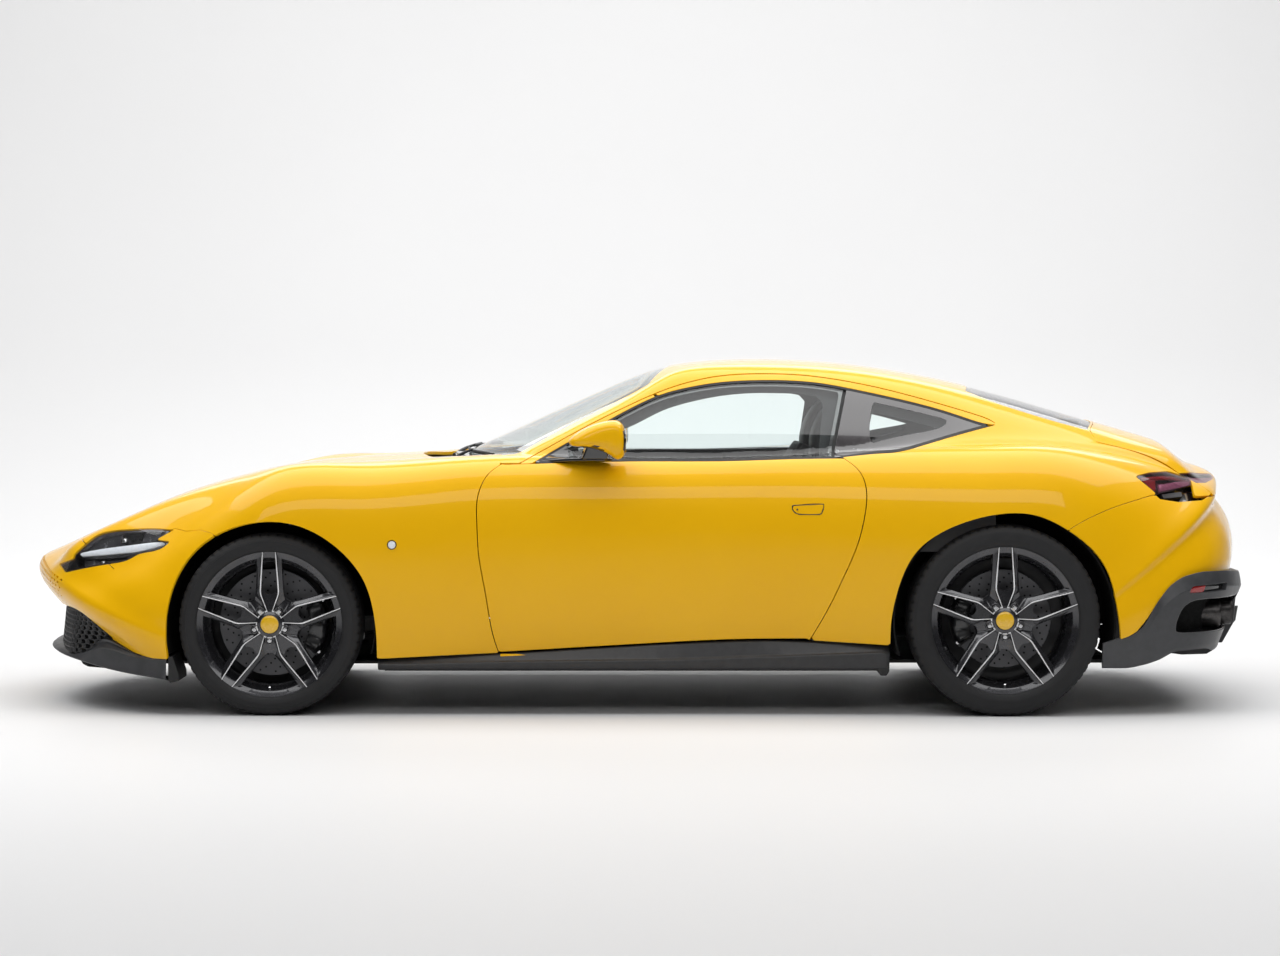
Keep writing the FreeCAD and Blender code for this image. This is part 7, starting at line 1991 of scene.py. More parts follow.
# ---- what shows past the panels: carried-over nodes get their materials -----------
for n_, m_ in (("cowl", "black"), ("floor_pan", "under"), ("rear_liners", "liner"), ("subframes", "alloy"), ("engine_block", "engine"), ("sills", "black"), ("dashboard", "trim"), ("steering_wheel", "seat"), ("front_seats", "seat"), ("rear_seat", "seat")):
    ob = frame["nodes"].get(n_)
    if ob is None:
        continue
    if not ob.material_slots:
        ob.data.materials.append(M[m_])
    for s_ in ob.material_slots:
        s_.material = M[m_]

# ---- felt liners of the front arches, kept inside the skin ------------------------
_sg, _vg = np.meshgrid(np.linspace(.55, 2.35, 150), np.linspace(.05, 1.05, 90), indexing="ij")
_pp = S(_sg.ravel(), _vg.ravel())


def skin_y(x, z):
    d = (_pp[:, 0] - x) ** 2 + (_pp[:, 2] - z) ** 2
    return abs(float(_pp[int(np.argmin(d)), 1]))


A_ = np.radians(np.linspace(-16.5, 196.5, 72))
for sg, nm in ((-1, "left"), (1, "right")):
    rows = []
    for t in (0, .12, .25, .4, .55, .7, .85, 1.0):
        row = []
        for a in A_:
            x, z = XF + .3835 * math.cos(a), .332 + .3835 * math.sin(a)
            yo = min(.921, skin_y(x, z) - .014)
            rib = .0022 * math.cos(2 * math.pi * t * 4) if .1 < t < .9 else 0
            k = (.3835 + rib) / .3835
            row.append((XF + (x - XF) * k, sg * (.538 + (yo - .538) * t), .332 + (z - .332) * k))
        rows.append(row)
    sh_ = grid_obj("arch_shell_" + nm, np.array(rows), M["liner"], body="body", slot="black_trim")
    so = sh_.modifiers.new("solid", "SOLIDIFY")
    so.thickness, so.offset = .004, 0
    wl = []
    for r in (.050, .12, .20, .28, .34, .381):
        wl.append([(XF + r * math.cos(a), sg * (.5365 + .004 * math.cos(r * 60)), max(.335, .332 + r * math.sin(a))) for a in np.radians(np.linspace(0, 180, 60))])
    wall = grid_obj("arch_wall_" + nm, np.array(wl), M["liner"], body="body", slot="black_trim")
    so = wall.modifiers.new("solid", "SOLIDIFY")
    so.thickness, so.offset = .004, 0
    lj = join("front_liner_" + nm, [sh_, wall])
    if sg < 0:
        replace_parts(lj, "front_liners")


# ---- tail lamps -------------------------------------------------------------------
TLP = outline([[(1.8325, .8655), (1.840, .8690), (1.891, .8785), (1.978, .8790), (2.066, .8545)], (2.0605, .8320), (1.9075, .8035)])
TLI = grow(TLP, -.0035)
ZT = (4.40, 4.80, .70, 1.22)
TA = []
tl_lens = panel("tail_lamp_lens_left", 4.40, 4.76, .70, 1.20, [in_side(TLP)], M["lens_red"], "body", side=-1, off=-.0012, step=.008, rim=.0008, depth=.003, slot="lamp_red", rep=("tail_lights",))
TA.append(panel("tail_lamp_wall_left", 4.40, 4.76, .70, 1.20, [in_side(TLP), neg(in_side(TLI))], M["gloss_black"], "body", side=-1, off=-.006, step=.008, rim=.0003, depth=.024, slot="black_trim"))
TA.append(panel("tail_lamp_floor_left", 4.40, 4.76, .70, 1.20, [in_side(TLP)], M["lamp_red_dark"], "body", side=-1, off=-.028, step=.010, rim=0, depth=0, slot="lamp_red"))
TA.append(px_ribbon("tail_lamp_band_left", [(1160, 483.2), (1170, 481.6), (1181, 479.7), (1190, 478.6)], [(1161.5, 489.8), (1171, 488.0), (1182, 485.4), (1191, 483.0)], ZT, -.008, -.010, .002, .010, M["lamp_band"], "body", "lamp_red", n=3))
TA.append(px_ribbon("tail_lamp_guide_left", [(1142, 476.2), (1154, 474.4), (1170, 474.0), (1186, 476.6)], [(1143, 477.6), (1155, 477.0), (1171, 476.8), (1187, 478.0)], ZT, -.010, -.012, .001, .008, M["red"], "body", "lamp_red", n=3))
TA.append(px_ribbon("tail_lamp_facet_left", [(1144, 478.6), (1150, 478.3), (1157, 478.2)], [(1150, 483.5), (1154, 485.8), (1158.5, 488.4)], ZT, -.010, -.018, .0, .008, M["red"], "body", "lamp_red", n=3))
tl_in_ = join("tail_lamp_inside_left", TA)
copy_mirror(tl_lens, "tail_lamp_lens_right", "body")
copy_mirror(tl_in_, "tail_lamp_inside_right", "body")
# stepped dark recess below the lamps
RC = outline([(1.896, .806), (1.914, .782), (1.990, .770), (2.100, .770), (2.100, .862), (2.05, .862)])
rc = panel("lamp_recess_left", 4.42, 4.80, .66, 1.25, [in_side(RC)], M["gloss_black"], "body", side=-1, off=-.030, step=.010, rim=0, depth=.006, slot="black_trim")
copy_mirror(rc, "lamp_recess_right", "body")
st = px_block("lamp_step_left", [(1163.5, 492.6), (1183, 489.8), (1184.5, 494.6), (1166, 497.0)], ZT, -.010, .020, M["black"], "body", "black_trim", .002)
copy_mirror(st, "lamp_step_right", "body")
# lamps in the lid
LI = np.array([(y * .994 - .0024, z * .955 + .856 * .045) for y, z in LAMP_IN])
lidl = []
inner_lens = panel("lid_lamp_lens_left", 4.60, 4.82, .88, 1.42, [only(in_rear(LI), lambda p: p[:, 0] > 2.0, -1)], M["lens_red"], "boot_lid", side=-1, off=-.0006, step=.007, rim=.0008, depth=.003, slot="lamp_red", rep=("lid_lamps",))
LIm = np.array([(-y, z) for y, z in LI[::-1]])
lens_r = panel("lid_lamp_lens_right", 4.60, 4.82, .88, 1.42, [only(in_rear(LIm), lambda p: p[:, 0] > 2.0, -1)], M["lens_red"], "boot_lid", side=1, off=-.0006, step=.007, rim=.0008, depth=.003, slot="lamp_red")
for nm, poly in (("left", LI), ("right", LIm)):
    sd_ = -1 if poly[:, 0].mean() < 0 else 1
    q = []
    q.append(panel("lid_lamp_floor_" + nm, 4.60, 4.82, .88, 1.42, [only(in_rear(grow(poly, .0012)), lambda p: p[:, 0] > 2.0, -1)], M["lamp_red_dark"], "boot_lid", side=sd_, off=-.018, step=.008, rim=0, depth=.004, slot="lamp_red"))
    mid = np.array([(y, (z - .8535) * .42 + .8490) for y, z in poly])
    q.append(panel("lid_lamp_band_" + nm, 4.60, 4.82, .88, 1.42, [only(in_rear(mid), lambda p: p[:, 0] > 2.0, -1)], M["lamp_band"], "boot_lid", side=sd_, off=-.008, step=.007, rim=.0006, depth=.008, slot="lamp_red"))
    join("lid_lamp_inside_" + nm, q)

# ---- diffuser ---------------------------------------------------------------------
_du = [0, .10, .20, .30, .41, .52, .63, .74, .87, 1.0]
PLD, PLY = NS(_du, [1.690, 1.80, 1.90, 2.00, 2.095, 2.175, 2.238, 2.283, 2.314, 2.3265]), NS(_du, [.952, .953, .942, .914, .862, .785, .670, .515, .275, 0])
TOP_D = [(0, .262), (.05, .280), (.09, .291), (.13, .316), (.19, .405), (.25, .470), (.31, .500), (.41, .5135), (.52, .512), (.63, .505), (.74, .497), (.87, .488), (1, .484)]
BOT_D = [(0, .172), (.07, .172), (.14, .183), (.20, .200), (.28, .232), (.41, .236), (.55, .222), (.74, .205), (1, .200)]
_uu = np.linspace(0, 1, 240)
_top = np.array([pchip([p[0] for p in TOP_D], [p[1] for p in TOP_D], float(q)) for q in _uu])
_bot = np.array([pchip([p[0] for p in BOT_D], [p[1] for p in BOT_D], float(q)) for q in _uu])


def diffS(u, t):
    u, t = np.clip(np.asarray(u, float), 0, 2), np.asarray(t, float)
    q = np.where(u <= 1, u, 2 - u)
    sg = np.where(u <= 1, -1.0, 1.0)
    x, y = PLD(q), PLY(q)
    e = .01
    qa, qb = np.maximum(0, q - e), np.minimum(1, q + e)
    dx, dy = PLD(qb) - PLD(qa), PLY(qb) - PLY(qa)
    L = np.hypot(dx, dy)
    nx, ny = -dy / L, dx / L
    zt, zb = np.interp(q, _uu, _top), np.interp(q, _uu, _bot)
    z = zb + (zt - zb) * t
    k = nstep(.12, .30, q)
    lean = (.105 * nstep(.25, .9, q) + .022) * (1 - np.clip(t, 0, 1)) ** 1.25
    # bright upper facet, and a rolled lower lip
    lean = lean + k * .020 * np.clip((t - .84) / .16, 0, 1.3) + .010 * np.clip((.06 - t) / .06, 0, 1) ** 2
    # shallow waist between the facet and the outlets
    lean = lean + k * .005 * np.exp(-((t - .62) / .10) ** 2) * nstep(.62, .80, q)
    return np.stack([x - nx * lean, sg * (y - ny * lean), z], -1)


OUTP = outline([[(1.958, .302), (1.958, .330), (1.968, .362), (1.988, .396), (2.020, .416), (2.070, .4235), (2.130, .4245)], (2.42, .4245), (2.42, .296), [(2.10, .296), (2.03, .2955), (1.980, .2965), (1.958, .302)]])
out_f = lambda p, s, v: np.minimum(sdist(OUTP, p[:, [0, 2]]), np.abs(p[:, 1]) - .492)
REFP = outline([[(2.009, .441), (2.012, .452), (2.022, .4675), (2.035, .4725)], (2.165, .4785), (2.172, .472), (2.165, .4475)])
ref_f = lambda p, s, v: np.minimum(sdist(REFP, p[:, [0, 2]]), np.abs(p[:, 1]) - .575)


def inset(f, d):
    return lambda p, s, v: f(p, s, v) - d


CENP = outline([(-.395, .262), (-.385, .262), [(-.385, .262), (-.395, .300), (-.372, .352), (-.340, .362)], (.340, .362), [(.340, .362), (.372, .352), (.395, .300), (.385, .262)]])
cen_f = lambda p, s, v: np.minimum(sdist(CENP, p[:, [1, 2]]), p[:, 0] - 2.15)
dif = panel("diffuser_skin", 0, 2, 0, 1.02, [neg(out_f), neg(ref_f), neg(cen_f)], M["grey"], "body", sstep=.0075, vstep=.022, rim=.0018, depth=.018, slot="black_trim", rep=("rear_diffuser",), surf=diffS)
panel("outlet_ring", 0, 2, -.02, 1.0, [inset(out_f, -.004), neg(inset(out_f, .0035))], M["gloss_black"], "body", sstep=.0075, vstep=.022, rim=.0010, depth=.060, off=-.003, slot="black_trim", surf=diffS)
panel("outlet_liner", 0, 2, -.02, 1.0, [inset(out_f, -.010)], M["liner"], "body", sstep=.012, vstep=.05, rim=0, depth=0, off=-.062, slot="black_trim", surf=diffS)
panel("reflector_slot", 0, 2, 0, 1.0, [inset(ref_f, -.004)], M["gloss_black"], "body", sstep=.010, vstep=.03, rim=0, depth=0, off=-.018, slot="black_trim", surf=diffS)
panel("diffuser_centre_ring", 0, 2, 0, 1.0, [inset(cen_f, -.003), neg(inset(cen_f, .004))], M["gloss_black"], "body", sstep=.0075, vstep=.022, rim=.0010, depth=.030, off=-.003, slot="black_trim", surf=diffS)
panel("diffuser_centre_bed", 0, 2, 0, 1.0, [inset(cen_f, -.006)], M["black"], "body", sstep=.012, vstep=.05, rim=0, depth=0, off=-.034, slot="black_trim", surf=diffS)
for i, y in enumerate((-.30, -.18, -.06, .06, .18, .30)):
    prism("diffuser_vane_%d" % i, [(2.200, y - .0035, .268), (2.262, y - .0035, .268), (2.290, y - .0035, .300), (2.300, y - .0035, .357), (2.225, y - .0035, .357)], (0, .007, 0), M["gloss_black"], "body", "black_trim", bev=.0025)
red_f = lambda p, s, v: np.minimum(sdist(outline([(2.013, .4435), (2.026, .4695), (2.082, .4720), (2.070, .4455)]), p[:, [0, 2]]), np.abs(p[:, 1]) - .58)
panel("rear_reflector", 0, 2, 0, 1.0, [red_f], M["red"], "body", sstep=.006, vstep=.012, rim=.0012, depth=.008, off=-.007, slot="lamp_red", surf=diffS)
cube("undertray_rear", 1.795, 2.200, -.44, .44, .214, .228, M["black"], "body", "black_trim", bev=.006)
for i, y in enumerate((-.33, -.165, 0, .165, .33)):
    prism("diffuser_fin_%d" % i, [(1.88, y - .004, .220), (2.20, y - .004, .220), (2.205, y - .004, .192), (2.175, y - .004, .174), (2.08, y - .004, .171), (1.93, y - .004, .190)], (0, .008, 0), M["black"], "body", "black_trim", bev=.0025)
# inner walls of the diffuser between the outlets
for sg, nm in ((-1, "left"), (1, "right")):
    prism("diffuser_cheek_" + nm, [(1.80, sg * .455, .228), (2.21, sg * .455, .228), (2.25, sg * .455, .30), (2.262, sg * .455, .42), (1.80, sg * .455, .42)], (0, sg * .012, 0), M["black"], "body", "black_trim", bev=.004)

# ---- exhaust ----------------------------------------------------------------------
ex = []
for sg in (-1, 1):
    for k, (y, x1) in enumerate(((.715, 2.150), (.590, 2.215))):
        tip = lathe("tip_%d_%d" % (sg, k), [(x1 - .150, .0460), (x1 - .060, .0510), (x1 - .010, .0535), (x1 - .003, .0538), (x1 + .0005, .0524), (x1 + .0008, .0508), (x1 - .0030, .0492), (x1 - .050, .0478), (x1 - .095, .0440), (x1 - .096, .0300), (x1 - .125, .0290), (x1 - .126, .0002), (x1 - .150, .0002)], (0, sg * y, .361), M["exhaust"], n=64, axis=0, body="body", slot="dark_metal")
        tip.data.set_sharp_from_angle(angle=math.radians(40))
        rib = lathe("tip_rib_%d_%d" % (sg, k), [(x1 - .050, .0470), (x1 - .050, .0478), (x1 - .046, .0486), (x1 - .042, .0478), (x1 - .042, .0470)], (0, sg * y, .361), M["exhaust"], n=48, axis=0, body="body", slot="dark_metal")
        pipe = tube("tip_pipe_%d_%d" % (sg, k), [(1.99, sg * .40, .350), (2.015, sg * .47, .354), (x1 - .155 if k == 0 else 2.05, sg * (y - .02), .360), (x1 - .130, sg * y, .361)], .030, M["exhaust"], "body", "dark_metal", n=20)
        ex += [tip, rib, pipe]
sil = prism("silencer_shell", outline([[(1.935, .268), (1.910, .285), (1.900, .342), (1.910, .400), (1.935, .418)], [(1.935, .418), (2.0, .421), (2.065, .418)], [(2.065, .418), (2.090, .400), (2.098, .342), (2.090, .285), (2.065, .268)], [(2.065, .268), (2.0, .265), (1.935, .268)]], 4).tolist() and
            [(x, -.44, z) for x, z in outline([[(1.935, .268), (1.910, .285), (1.900, .342), (1.910, .400), (1.935, .418)], [(1.935, .418), (2.0, .421), (2.065, .418)], [(2.065, .418), (2.090, .400), (2.098, .342), (2.090, .285), (2.065, .268)], [(2.065, .268), (2.0, .265), (1.935, .268)]], 4)], (0, .88, 0), M["exhaust"], "body", "dark_metal", bev=.006, seg=3)
ex.append(sil)
for i, y in enumerate((-.41, -.14, .14, .41)):
    ex.append(prism("silencer_band_%d" % i, [(x, y - .008, z) for x, z in grow(outline([[(1.935, .268), (1.910, .285), (1.900, .342), (1.910, .400), (1.935, .418)], [(1.935, .418), (2.0, .421), (2.065, .418)], [(2.065, .418), (2.090, .400), (2.098, .342), (2.090, .285), (2.065, .268)], [(2.065, .268), (2.0, .265), (1.935, .268)]], 4), .0025)], (0, .016, 0), M["exhaust"], "body", "dark_metal", bev=.001))
exo = join("exhaust_system", ex)
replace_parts(exo, "exhaust")


# ---- cabin ------------------------------------------------------------------------
def pillow(name, mid, half, mat, body, slot, na=28, nb=40, pa=5, pb=5, grooves=(), pipe=None):
    """A stuffed form: a middle sheet mid(a, b) with the half thickness half(a, b) to both sides, closed at its edges."""
    a = np.sin(np.linspace(-math.pi / 2, math.pi / 2, na))
    b = .5 + .5 * np.sin(np.linspace(-math.pi / 2, math.pi / 2, nb))
    A, B = np.meshgrid(a, b, indexing="ij")
    Mid = mid(A, B)
    e = .004
    Ta = mid(A + e, B) - mid(A - e, B)
    Tb = mid(A, B + e) - mid(A, B - e)
    N = np.cross(Ta, Tb)
    N /= np.linalg.norm(N, axis=2)[:, :, None] + 1e-12
    shape = (np.clip(1 - np.abs(A) ** pa, 0, 1) ** (1 / 2.4)) * (np.clip(1 - np.abs(2 * B - 1) ** pb, 0, 1) ** (1 / 2.4))
    H = half(A, B) * shape
    g = np.zeros_like(H)
    for fn, w, d in grooves:
        g = np.maximum(g, d * np.exp(-(fn(A, B) / w) ** 2))
    top = Mid + N * (H - g * (shape > .25))[:, :, None]
    bot = Mid - N * (H * .9)[:, :, None]
    P = np.concatenate([top.reshape(-1, 3), bot.reshape(-1, 3)])
    polys = []
    for i in range(na - 1):
        for j in range(nb - 1):
            q = [i * nb + j, (i + 1) * nb + j, (i + 1) * nb + j + 1, i * nb + j + 1]
            polys.append(q)
            polys.append([k + na * nb for k in q][::-1])
    P, _, polys = weld(P, P, polys, .0004)
    polys = [p for p in polys if len(set(p)) > 2]
    ob = mesh_obj(name, P, polys, mat)
    fix_normals(ob)
    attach(ob, body)
    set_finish(ob, slot)
    return ob


def puff(ob, cap=.010, voxel=.010, frames=14, press=4.0):
    """Lets cloth swell a stuffed form a little, keeping each point within cap of where it began."""
    m = ob.modifiers.new("remesh", "REMESH")
    m.mode, m.voxel_size = "VOXEL", voxel
    dg = bpy.context.evaluated_depsgraph_get()
    me = bpy.data.meshes.new_from_object(ob.evaluated_get(dg))
    ob.modifiers.clear()
    old = ob.data
    mats = list(old.materials)
    ob.data = me
    me.materials.clear()
    for q in mats:
        me.materials.append(q)
    base = np.array([v.co for v in me.vertices])
    sc = bpy.context.scene
    c = ob.modifiers.new("cloth", "CLOTH")
    s = c.settings
    s.quality, s.mass = 4, .4
    s.tension_stiffness = s.compression_stiffness = 18
    s.shear_stiffness, s.bending_stiffness = 8, 1.2
    s.use_pressure, s.uniform_pressure_force = True, press
    s.effector_weights.gravity = 0
    c.point_cache.frame_start, c.point_cache.frame_end = 1, frames
    for f in range(1, frames + 1):
        sc.frame_set(f)
    dg = bpy.context.evaluated_depsgraph_get()
    ev = ob.evaluated_get(dg).to_mesh()
    new = np.array([v.co for v in ev.vertices])
    ob.evaluated_get(dg).to_mesh_clear()
    ob.modifiers.clear()
    sc.frame_set(1)
    if len(new) == len(base):
        d = new - base
        L = np.linalg.norm(d, axis=1)
        k = np.minimum(1, cap / np.maximum(L, 1e-9))
        me.vertices.foreach_set("co", (base + d * k[:, None]).ravel())
        me.update()
    me.polygons.foreach_set("use_smooth", [True] * len(me.polygons))
    return ob


def welt(name, pts, mat, body, slot, r=.0030):
    return tube(name, pts, r, mat, body, slot, n=8, smooth_n=5)


TL = math.radians(20)
bx, bz = math.sin(TL), math.cos(TL)


def seat(y0, nm):
    obs = []
    # cushion: centre pad and side bolsters
    def mc(A, B):
        x = .035 + .445 * B
        z = .372 + .030 * (1 - B) ** 2 - .020 * np.sin(math.pi * np.clip(B, 0, 1)) + .010 * A * A
        return np.stack([x, y0 + .150 * A, z], -1)
    cush = pillow("seat_cushion_" + nm, mc, lambda A, B: .052 + 0 * A, M["seat"], "body", "seat_leather", na=34, nb=46)
    puff(cush)
    for v in range(1):
        me = cush.data
        co = np.array([q.co for q in me.vertices])
        g = np.zeros(len(co))
        for xg in (.115, .195, .275, .355, .435):
            g = np.maximum(g, .0085 * np.exp(-((co[:, 0] - xg) / .0060) ** 2) * nstep(.155, .110, np.abs(co[:, 1] - y0)))
        g *= nstep(.375, .400, co[:, 2])
        co[:, 2] -= g
        me.vertices.foreach_set("co", co.ravel())
        me.update()
    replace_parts(cush, "front_seats")
    for sg in (-1, 1):
        def mb(A, B, sg=sg):
            x = .020 + .470 * B
            w = .205 + .046 * A
            z = .372 + .022 * (1 - B) ** 2 + .034 * A * .9 + .016 * np.sin(math.pi * np.clip(B, 0, 1))
            return np.stack([x, y0 + sg * w, z], -1)
        p = pillow("seat_cushion_bolster_%s_%s" % (nm, "left" if sg < 0 else "right"), mb, lambda A, B: .058 + 0 * A, M["seat"], "body", "seat_leather", na=20, nb=40, pa=3, pb=5)
        p2 = puff(p, cap=.007)
        welt("seat_cushion_welt_%s_%s" % (nm, "left" if sg < 0 else "right"), [(.045, y0 + sg * .158, .428), (.15, y0 + sg * .158, .417), (.28, y0 + sg * .158, .408), (.40, y0 + sg * .158, .408), (.475, y0 + sg * .156, .412)], M["belt"], "body", "seat_leather")
    # back: centre pad with channels, wings, and the head part
    def bp(u, y, off):
        return np.stack([.446 + u * bx + off * bz, y + 0 * u, .425 + u * bz - off * bx], -1)
    def mk(A, B):
        u = .010 + .560 * B
        off = .046 - .012 * np.sin(math.pi * np.clip(B * 1.15, 0, 1)) - .010 * A * A
        return bp(u, y0 + (.150 + .018 * np.sin(math.pi * np.clip(B, 0, 1))) * A, off)
    back = pillow("seat_back_" + nm, mk, lambda A, B: .046 + 0 * A, M["seat"], "body", "seat_leather", na=34, nb=50)
    puff(back)
    me = back.data
    co = np.array([q.co for q in me.vertices])
    rel = co - np.array([.446, y0, .425])
    uu_ = rel[:, 0] * bx + rel[:, 2] * bz
    of_ = rel[:, 0] * bz - rel[:, 2] * bx
    g = np.zeros(len(co))
    for ug in (.105, .175, .245, .315, .385, .455):
        g = np.maximum(g, .0085 * np.exp(-((uu_ - ug) / .0060) ** 2) * nstep(.165, .115, np.abs(rel[:, 1])))
    g *= (of_ < .040)
    co[:, 0] += g * bz
    co[:, 2] -= g * bx
    me.vertices.foreach_set("co", co.ravel())
    me.update()
    for sg in (-1, 1):
        def mw(A, B, sg=sg):
            u = .020 + .565 * B
            w = .208 + .040 * A + .012 * np.sin(math.pi * np.clip(B, 0, 1)) - .050 * np.clip(B - .72, 0, 1)
            off = .030 - .040 * A * .8 - .018 * np.sin(math.pi * np.clip(B, 0, 1))
            return bp(u, y0 + sg * w, off)
        p = pillow("seat_back_wing_%s_%s" % (nm, "left" if sg < 0 else "right"), mw, lambda A, B: .050 - .012 * B, M["seat"], "body", "seat_leather", na=20, nb=44, pa=3, pb=5)
        p2 = puff(p, cap=.007)
        welt("seat_back_welt_%s_%s" % (nm, "left" if sg < 0 else "right"), [tuple(bp(np.array(u), y0 + sg * .166, of)) for u, of in ((.04, .000), (.16, -.012), (.30, -.018), (.44, -.012), (.55, .006))], M["belt"], "body", "seat_leather")
    def mh(A, B):
        u = .560 + .215 * B
        off = .052 - .006 * A * A - .020 * np.sin(math.pi * np.clip(B, 0, 1)) + .010 * B
        return bp(u, y0 + (.135 - .022 * B) * A, off)
    head = pillow("seat_head_rest_" + nm, mh, lambda A, B: .044 + 0 * A, M["seat"], "body", "seat_leather", na=28, nb=30, pa=4, pb=4)
    puff(head, cap=.008)
    # hard shell behind and the frame below
    sh = []
    for u, w, o in ((.0, .222, .088), (.10, .238, .094), (.30, .246, .098), (.48, .236, .098), (.58, .196, .096), (.66, .150, .092), (.755, .112, .086)):
        for a in np.linspace(-1, 1, 15):
            k = abs(a) ** 3
            sh.append(tuple(bp(np.array(u), y0 + w * a, o - .050 * k)))
    G = np.array(sh).reshape(7, 15, 3)
    shell = grid_obj("seat_shell_" + nm, G, M["gloss_black"], body="body", slot="black_trim")
    so = shell.modifiers.new("solid", "SOLIDIFY")
    so.thickness, so.offset = .006, 0
    k_ = shell.modifiers.new("sub", "SUBSURF")
    k_.levels = k_.render_levels = 1
    base = prism("seat_base_" + nm, [(.05, y0 - .225, .225), (.46, y0 - .225, .225), (.50, y0 - .225, .30), (.47, y0 - .225, .345), (.05, y0 - .225, .350), (.03, y0 - .225, .29)], (0, .45, 0), M["trim"], "body", "black_trim", bev=.012, seg=3)
    r1 = cube("seat_rail_a_" + nm, .03, .50, y0 - .19, y0 - .155, .184, .226, M["alloy"], "body", "structure", bev=.004)
    r2 = cube("seat_rail_b_" + nm, .03, .50, y0 + .155, y0 + .19, .184, .226, M["alloy"], "body", "structure", bev=.004)
    join("seat_frame_" + nm, [base, r1, r2])


before_seat = set(o.name for o in bpy.data.objects)
seat(-.37, "left")
left_ = [o for o in bpy.data.objects if o.name not in before_seat]
for o in left_:
    if o.name.endswith("_left_left") or o.name.endswith("_left_right"):
        nn = o.name[:-len("_left_left")] + "_right_right" if o.name.endswith("_left_left") else o.name[:-len("_left_right")] + "_right_left"
    else:
        nn = o.name[:-5] + "_right"
    c = copy_mirror(o, nn, "body")

# rear bench: two places with a padded hump between
for sg, nm in ((-1, "left"), (1, "right")):
    def rc_(A, B, sg=sg):
        x = .850 + .195 * B
        return np.stack([x, sg * (.315 + .215 * A), .392 + .028 * (1 - B) + .018 * A * A], -1)
    q = pillow("rear_cushion_" + nm, rc_, lambda A, B: .055 + 0 * A, M["seat"], "body", "seat_leather", na=30, nb=24, grooves=[(lambda A, B: (np.abs(A) - .55), .05, .007), (lambda A, B: (B - .5), .04, .006)])
    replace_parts(q, "rear_seat")
    def rb_(A, B, sg=sg):
        u = .01 + .385 * B
        return np.stack([.965 + .10 * B + .012 * A * A, sg * (.315 + (.215 - .03 * B) * A), .455 + u], -1)
    q = pillow("rear_back_" + nm, rb_, lambda A, B: .048 + 0 * A, M["seat"], "body", "seat_leather", na=30, nb=34, grooves=[(lambda A, B: (np.abs(A) - .55), .05, .007)] + [(lambda A, B, c=c: (B - c), .018, .006) for c in (.25, .42, .59, .76)])
mid_ = pillow("rear_hump", lambda A, B: np.stack([.86 + .15 * B, .090 * A, .415 + .020 * B], -1), lambda A, B: .040 + 0 * A, M["seat"], "body", "seat_leather", na=16, nb=20, pa=3)

# dashboard as one lofted form across the cabin
DP = [(-.610, .880), (-.560, .905), (-.480, .915), (-.400, .905), (-.345, .880), (-.318, .845), (-.322, .800), (-.345, .765), (-.350, .715), (-.362, .665), (-.400, .630), (-.470, .610), (-.560, .615), (-.610, .660)]
DP = smooth_run(DP + [DP[0]], 3)[:-1]
rows = []
for y in np.linspace(-.715, .715, 61):
    k = np.exp(-((y + .37) / .150) ** 4)
    c = np.exp(-((y) / .17) ** 4)
    e = abs(y / .715) ** 6
    row = []
    for x, z in DP:
        up = nstep(.80, .90, np.array([z]))[0]
        fr_ = nstep(-.45, -.33, np.array([x]))[0]
        row.append((x + .030 * k * fr_ + .012 * c * fr_ - .045 * e * fr_, y, z - .030 - .026 * e * up - .010 * (y / .7) ** 2 * up + .030 * k * up * fr_))
    rows.append(row)
G = np.array(rows)
n, m = G.shape[:2]
P = G.reshape(-1, 3).tolist()
F = [[i * m + j, (i + 1) * m + j, (i + 1) * m + (j + 1) % m, i * m + (j + 1) % m] for i in range(n - 1) for j in range(m)] + [list(range(m)), [(n - 1) * m + j for j in range(m)]]
dash = solid("dashboard_pad", P, F, M["trim"], "body", "interior_trim", bev=0)
dparts = [prism("dash_screen", [(-.312, -.135, .735), (-.300, -.135, .830), (-.300, .135, .830), (-.312, .135, .735)], (-.022, 0, 0), M["gloss_black"], "body", "interior_trim", bev=.004)]
for y in (-.62, -.20, .20, .62):
    dparts.append(prism("dash_vent_%d" % int(y * 100), [(-.322, y - .045, .775), (-.312, y - .045, .815), (-.312, y + .045, .815), (-.322, y + .045, .775)], (-.02, 0, 0), M["lamp_grey"], "body", "interior_trim", bev=.003))
    for k in range(4):
        z = .781 + k * .009
        dparts.append(prism("dash_slat_%d_%d" % (int(y * 100), k), [(-.318, y - .040, z), (-.306, y - .040, z + .003), (-.306, y + .040, z + .003), (-.318, y + .040, z)], (0, 0, .0022), M["black"], "body", "interior_trim", bev=.0006))
dparts.append(prism("dash_band", [(-.336, -.68, .745), (-.326, -.68, .757), (-.326, .68, .757), (-.336, .68, .745)], (-.015, 0, 0), M["lamp_grey"], "body", "interior_trim", bev=.002))
dparts.append(prism("dash_glove_lid", [(-.352, .18, .650), (-.340, .18, .732), (-.340, .60, .732), (-.352, .60, .650)], (-.02, 0, 0), M["trim"], "body", "interior_trim", bev=.008, seg=3))
dd = join("dashboard_set", [dash] + dparts)
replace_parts(dd, "dashboard")
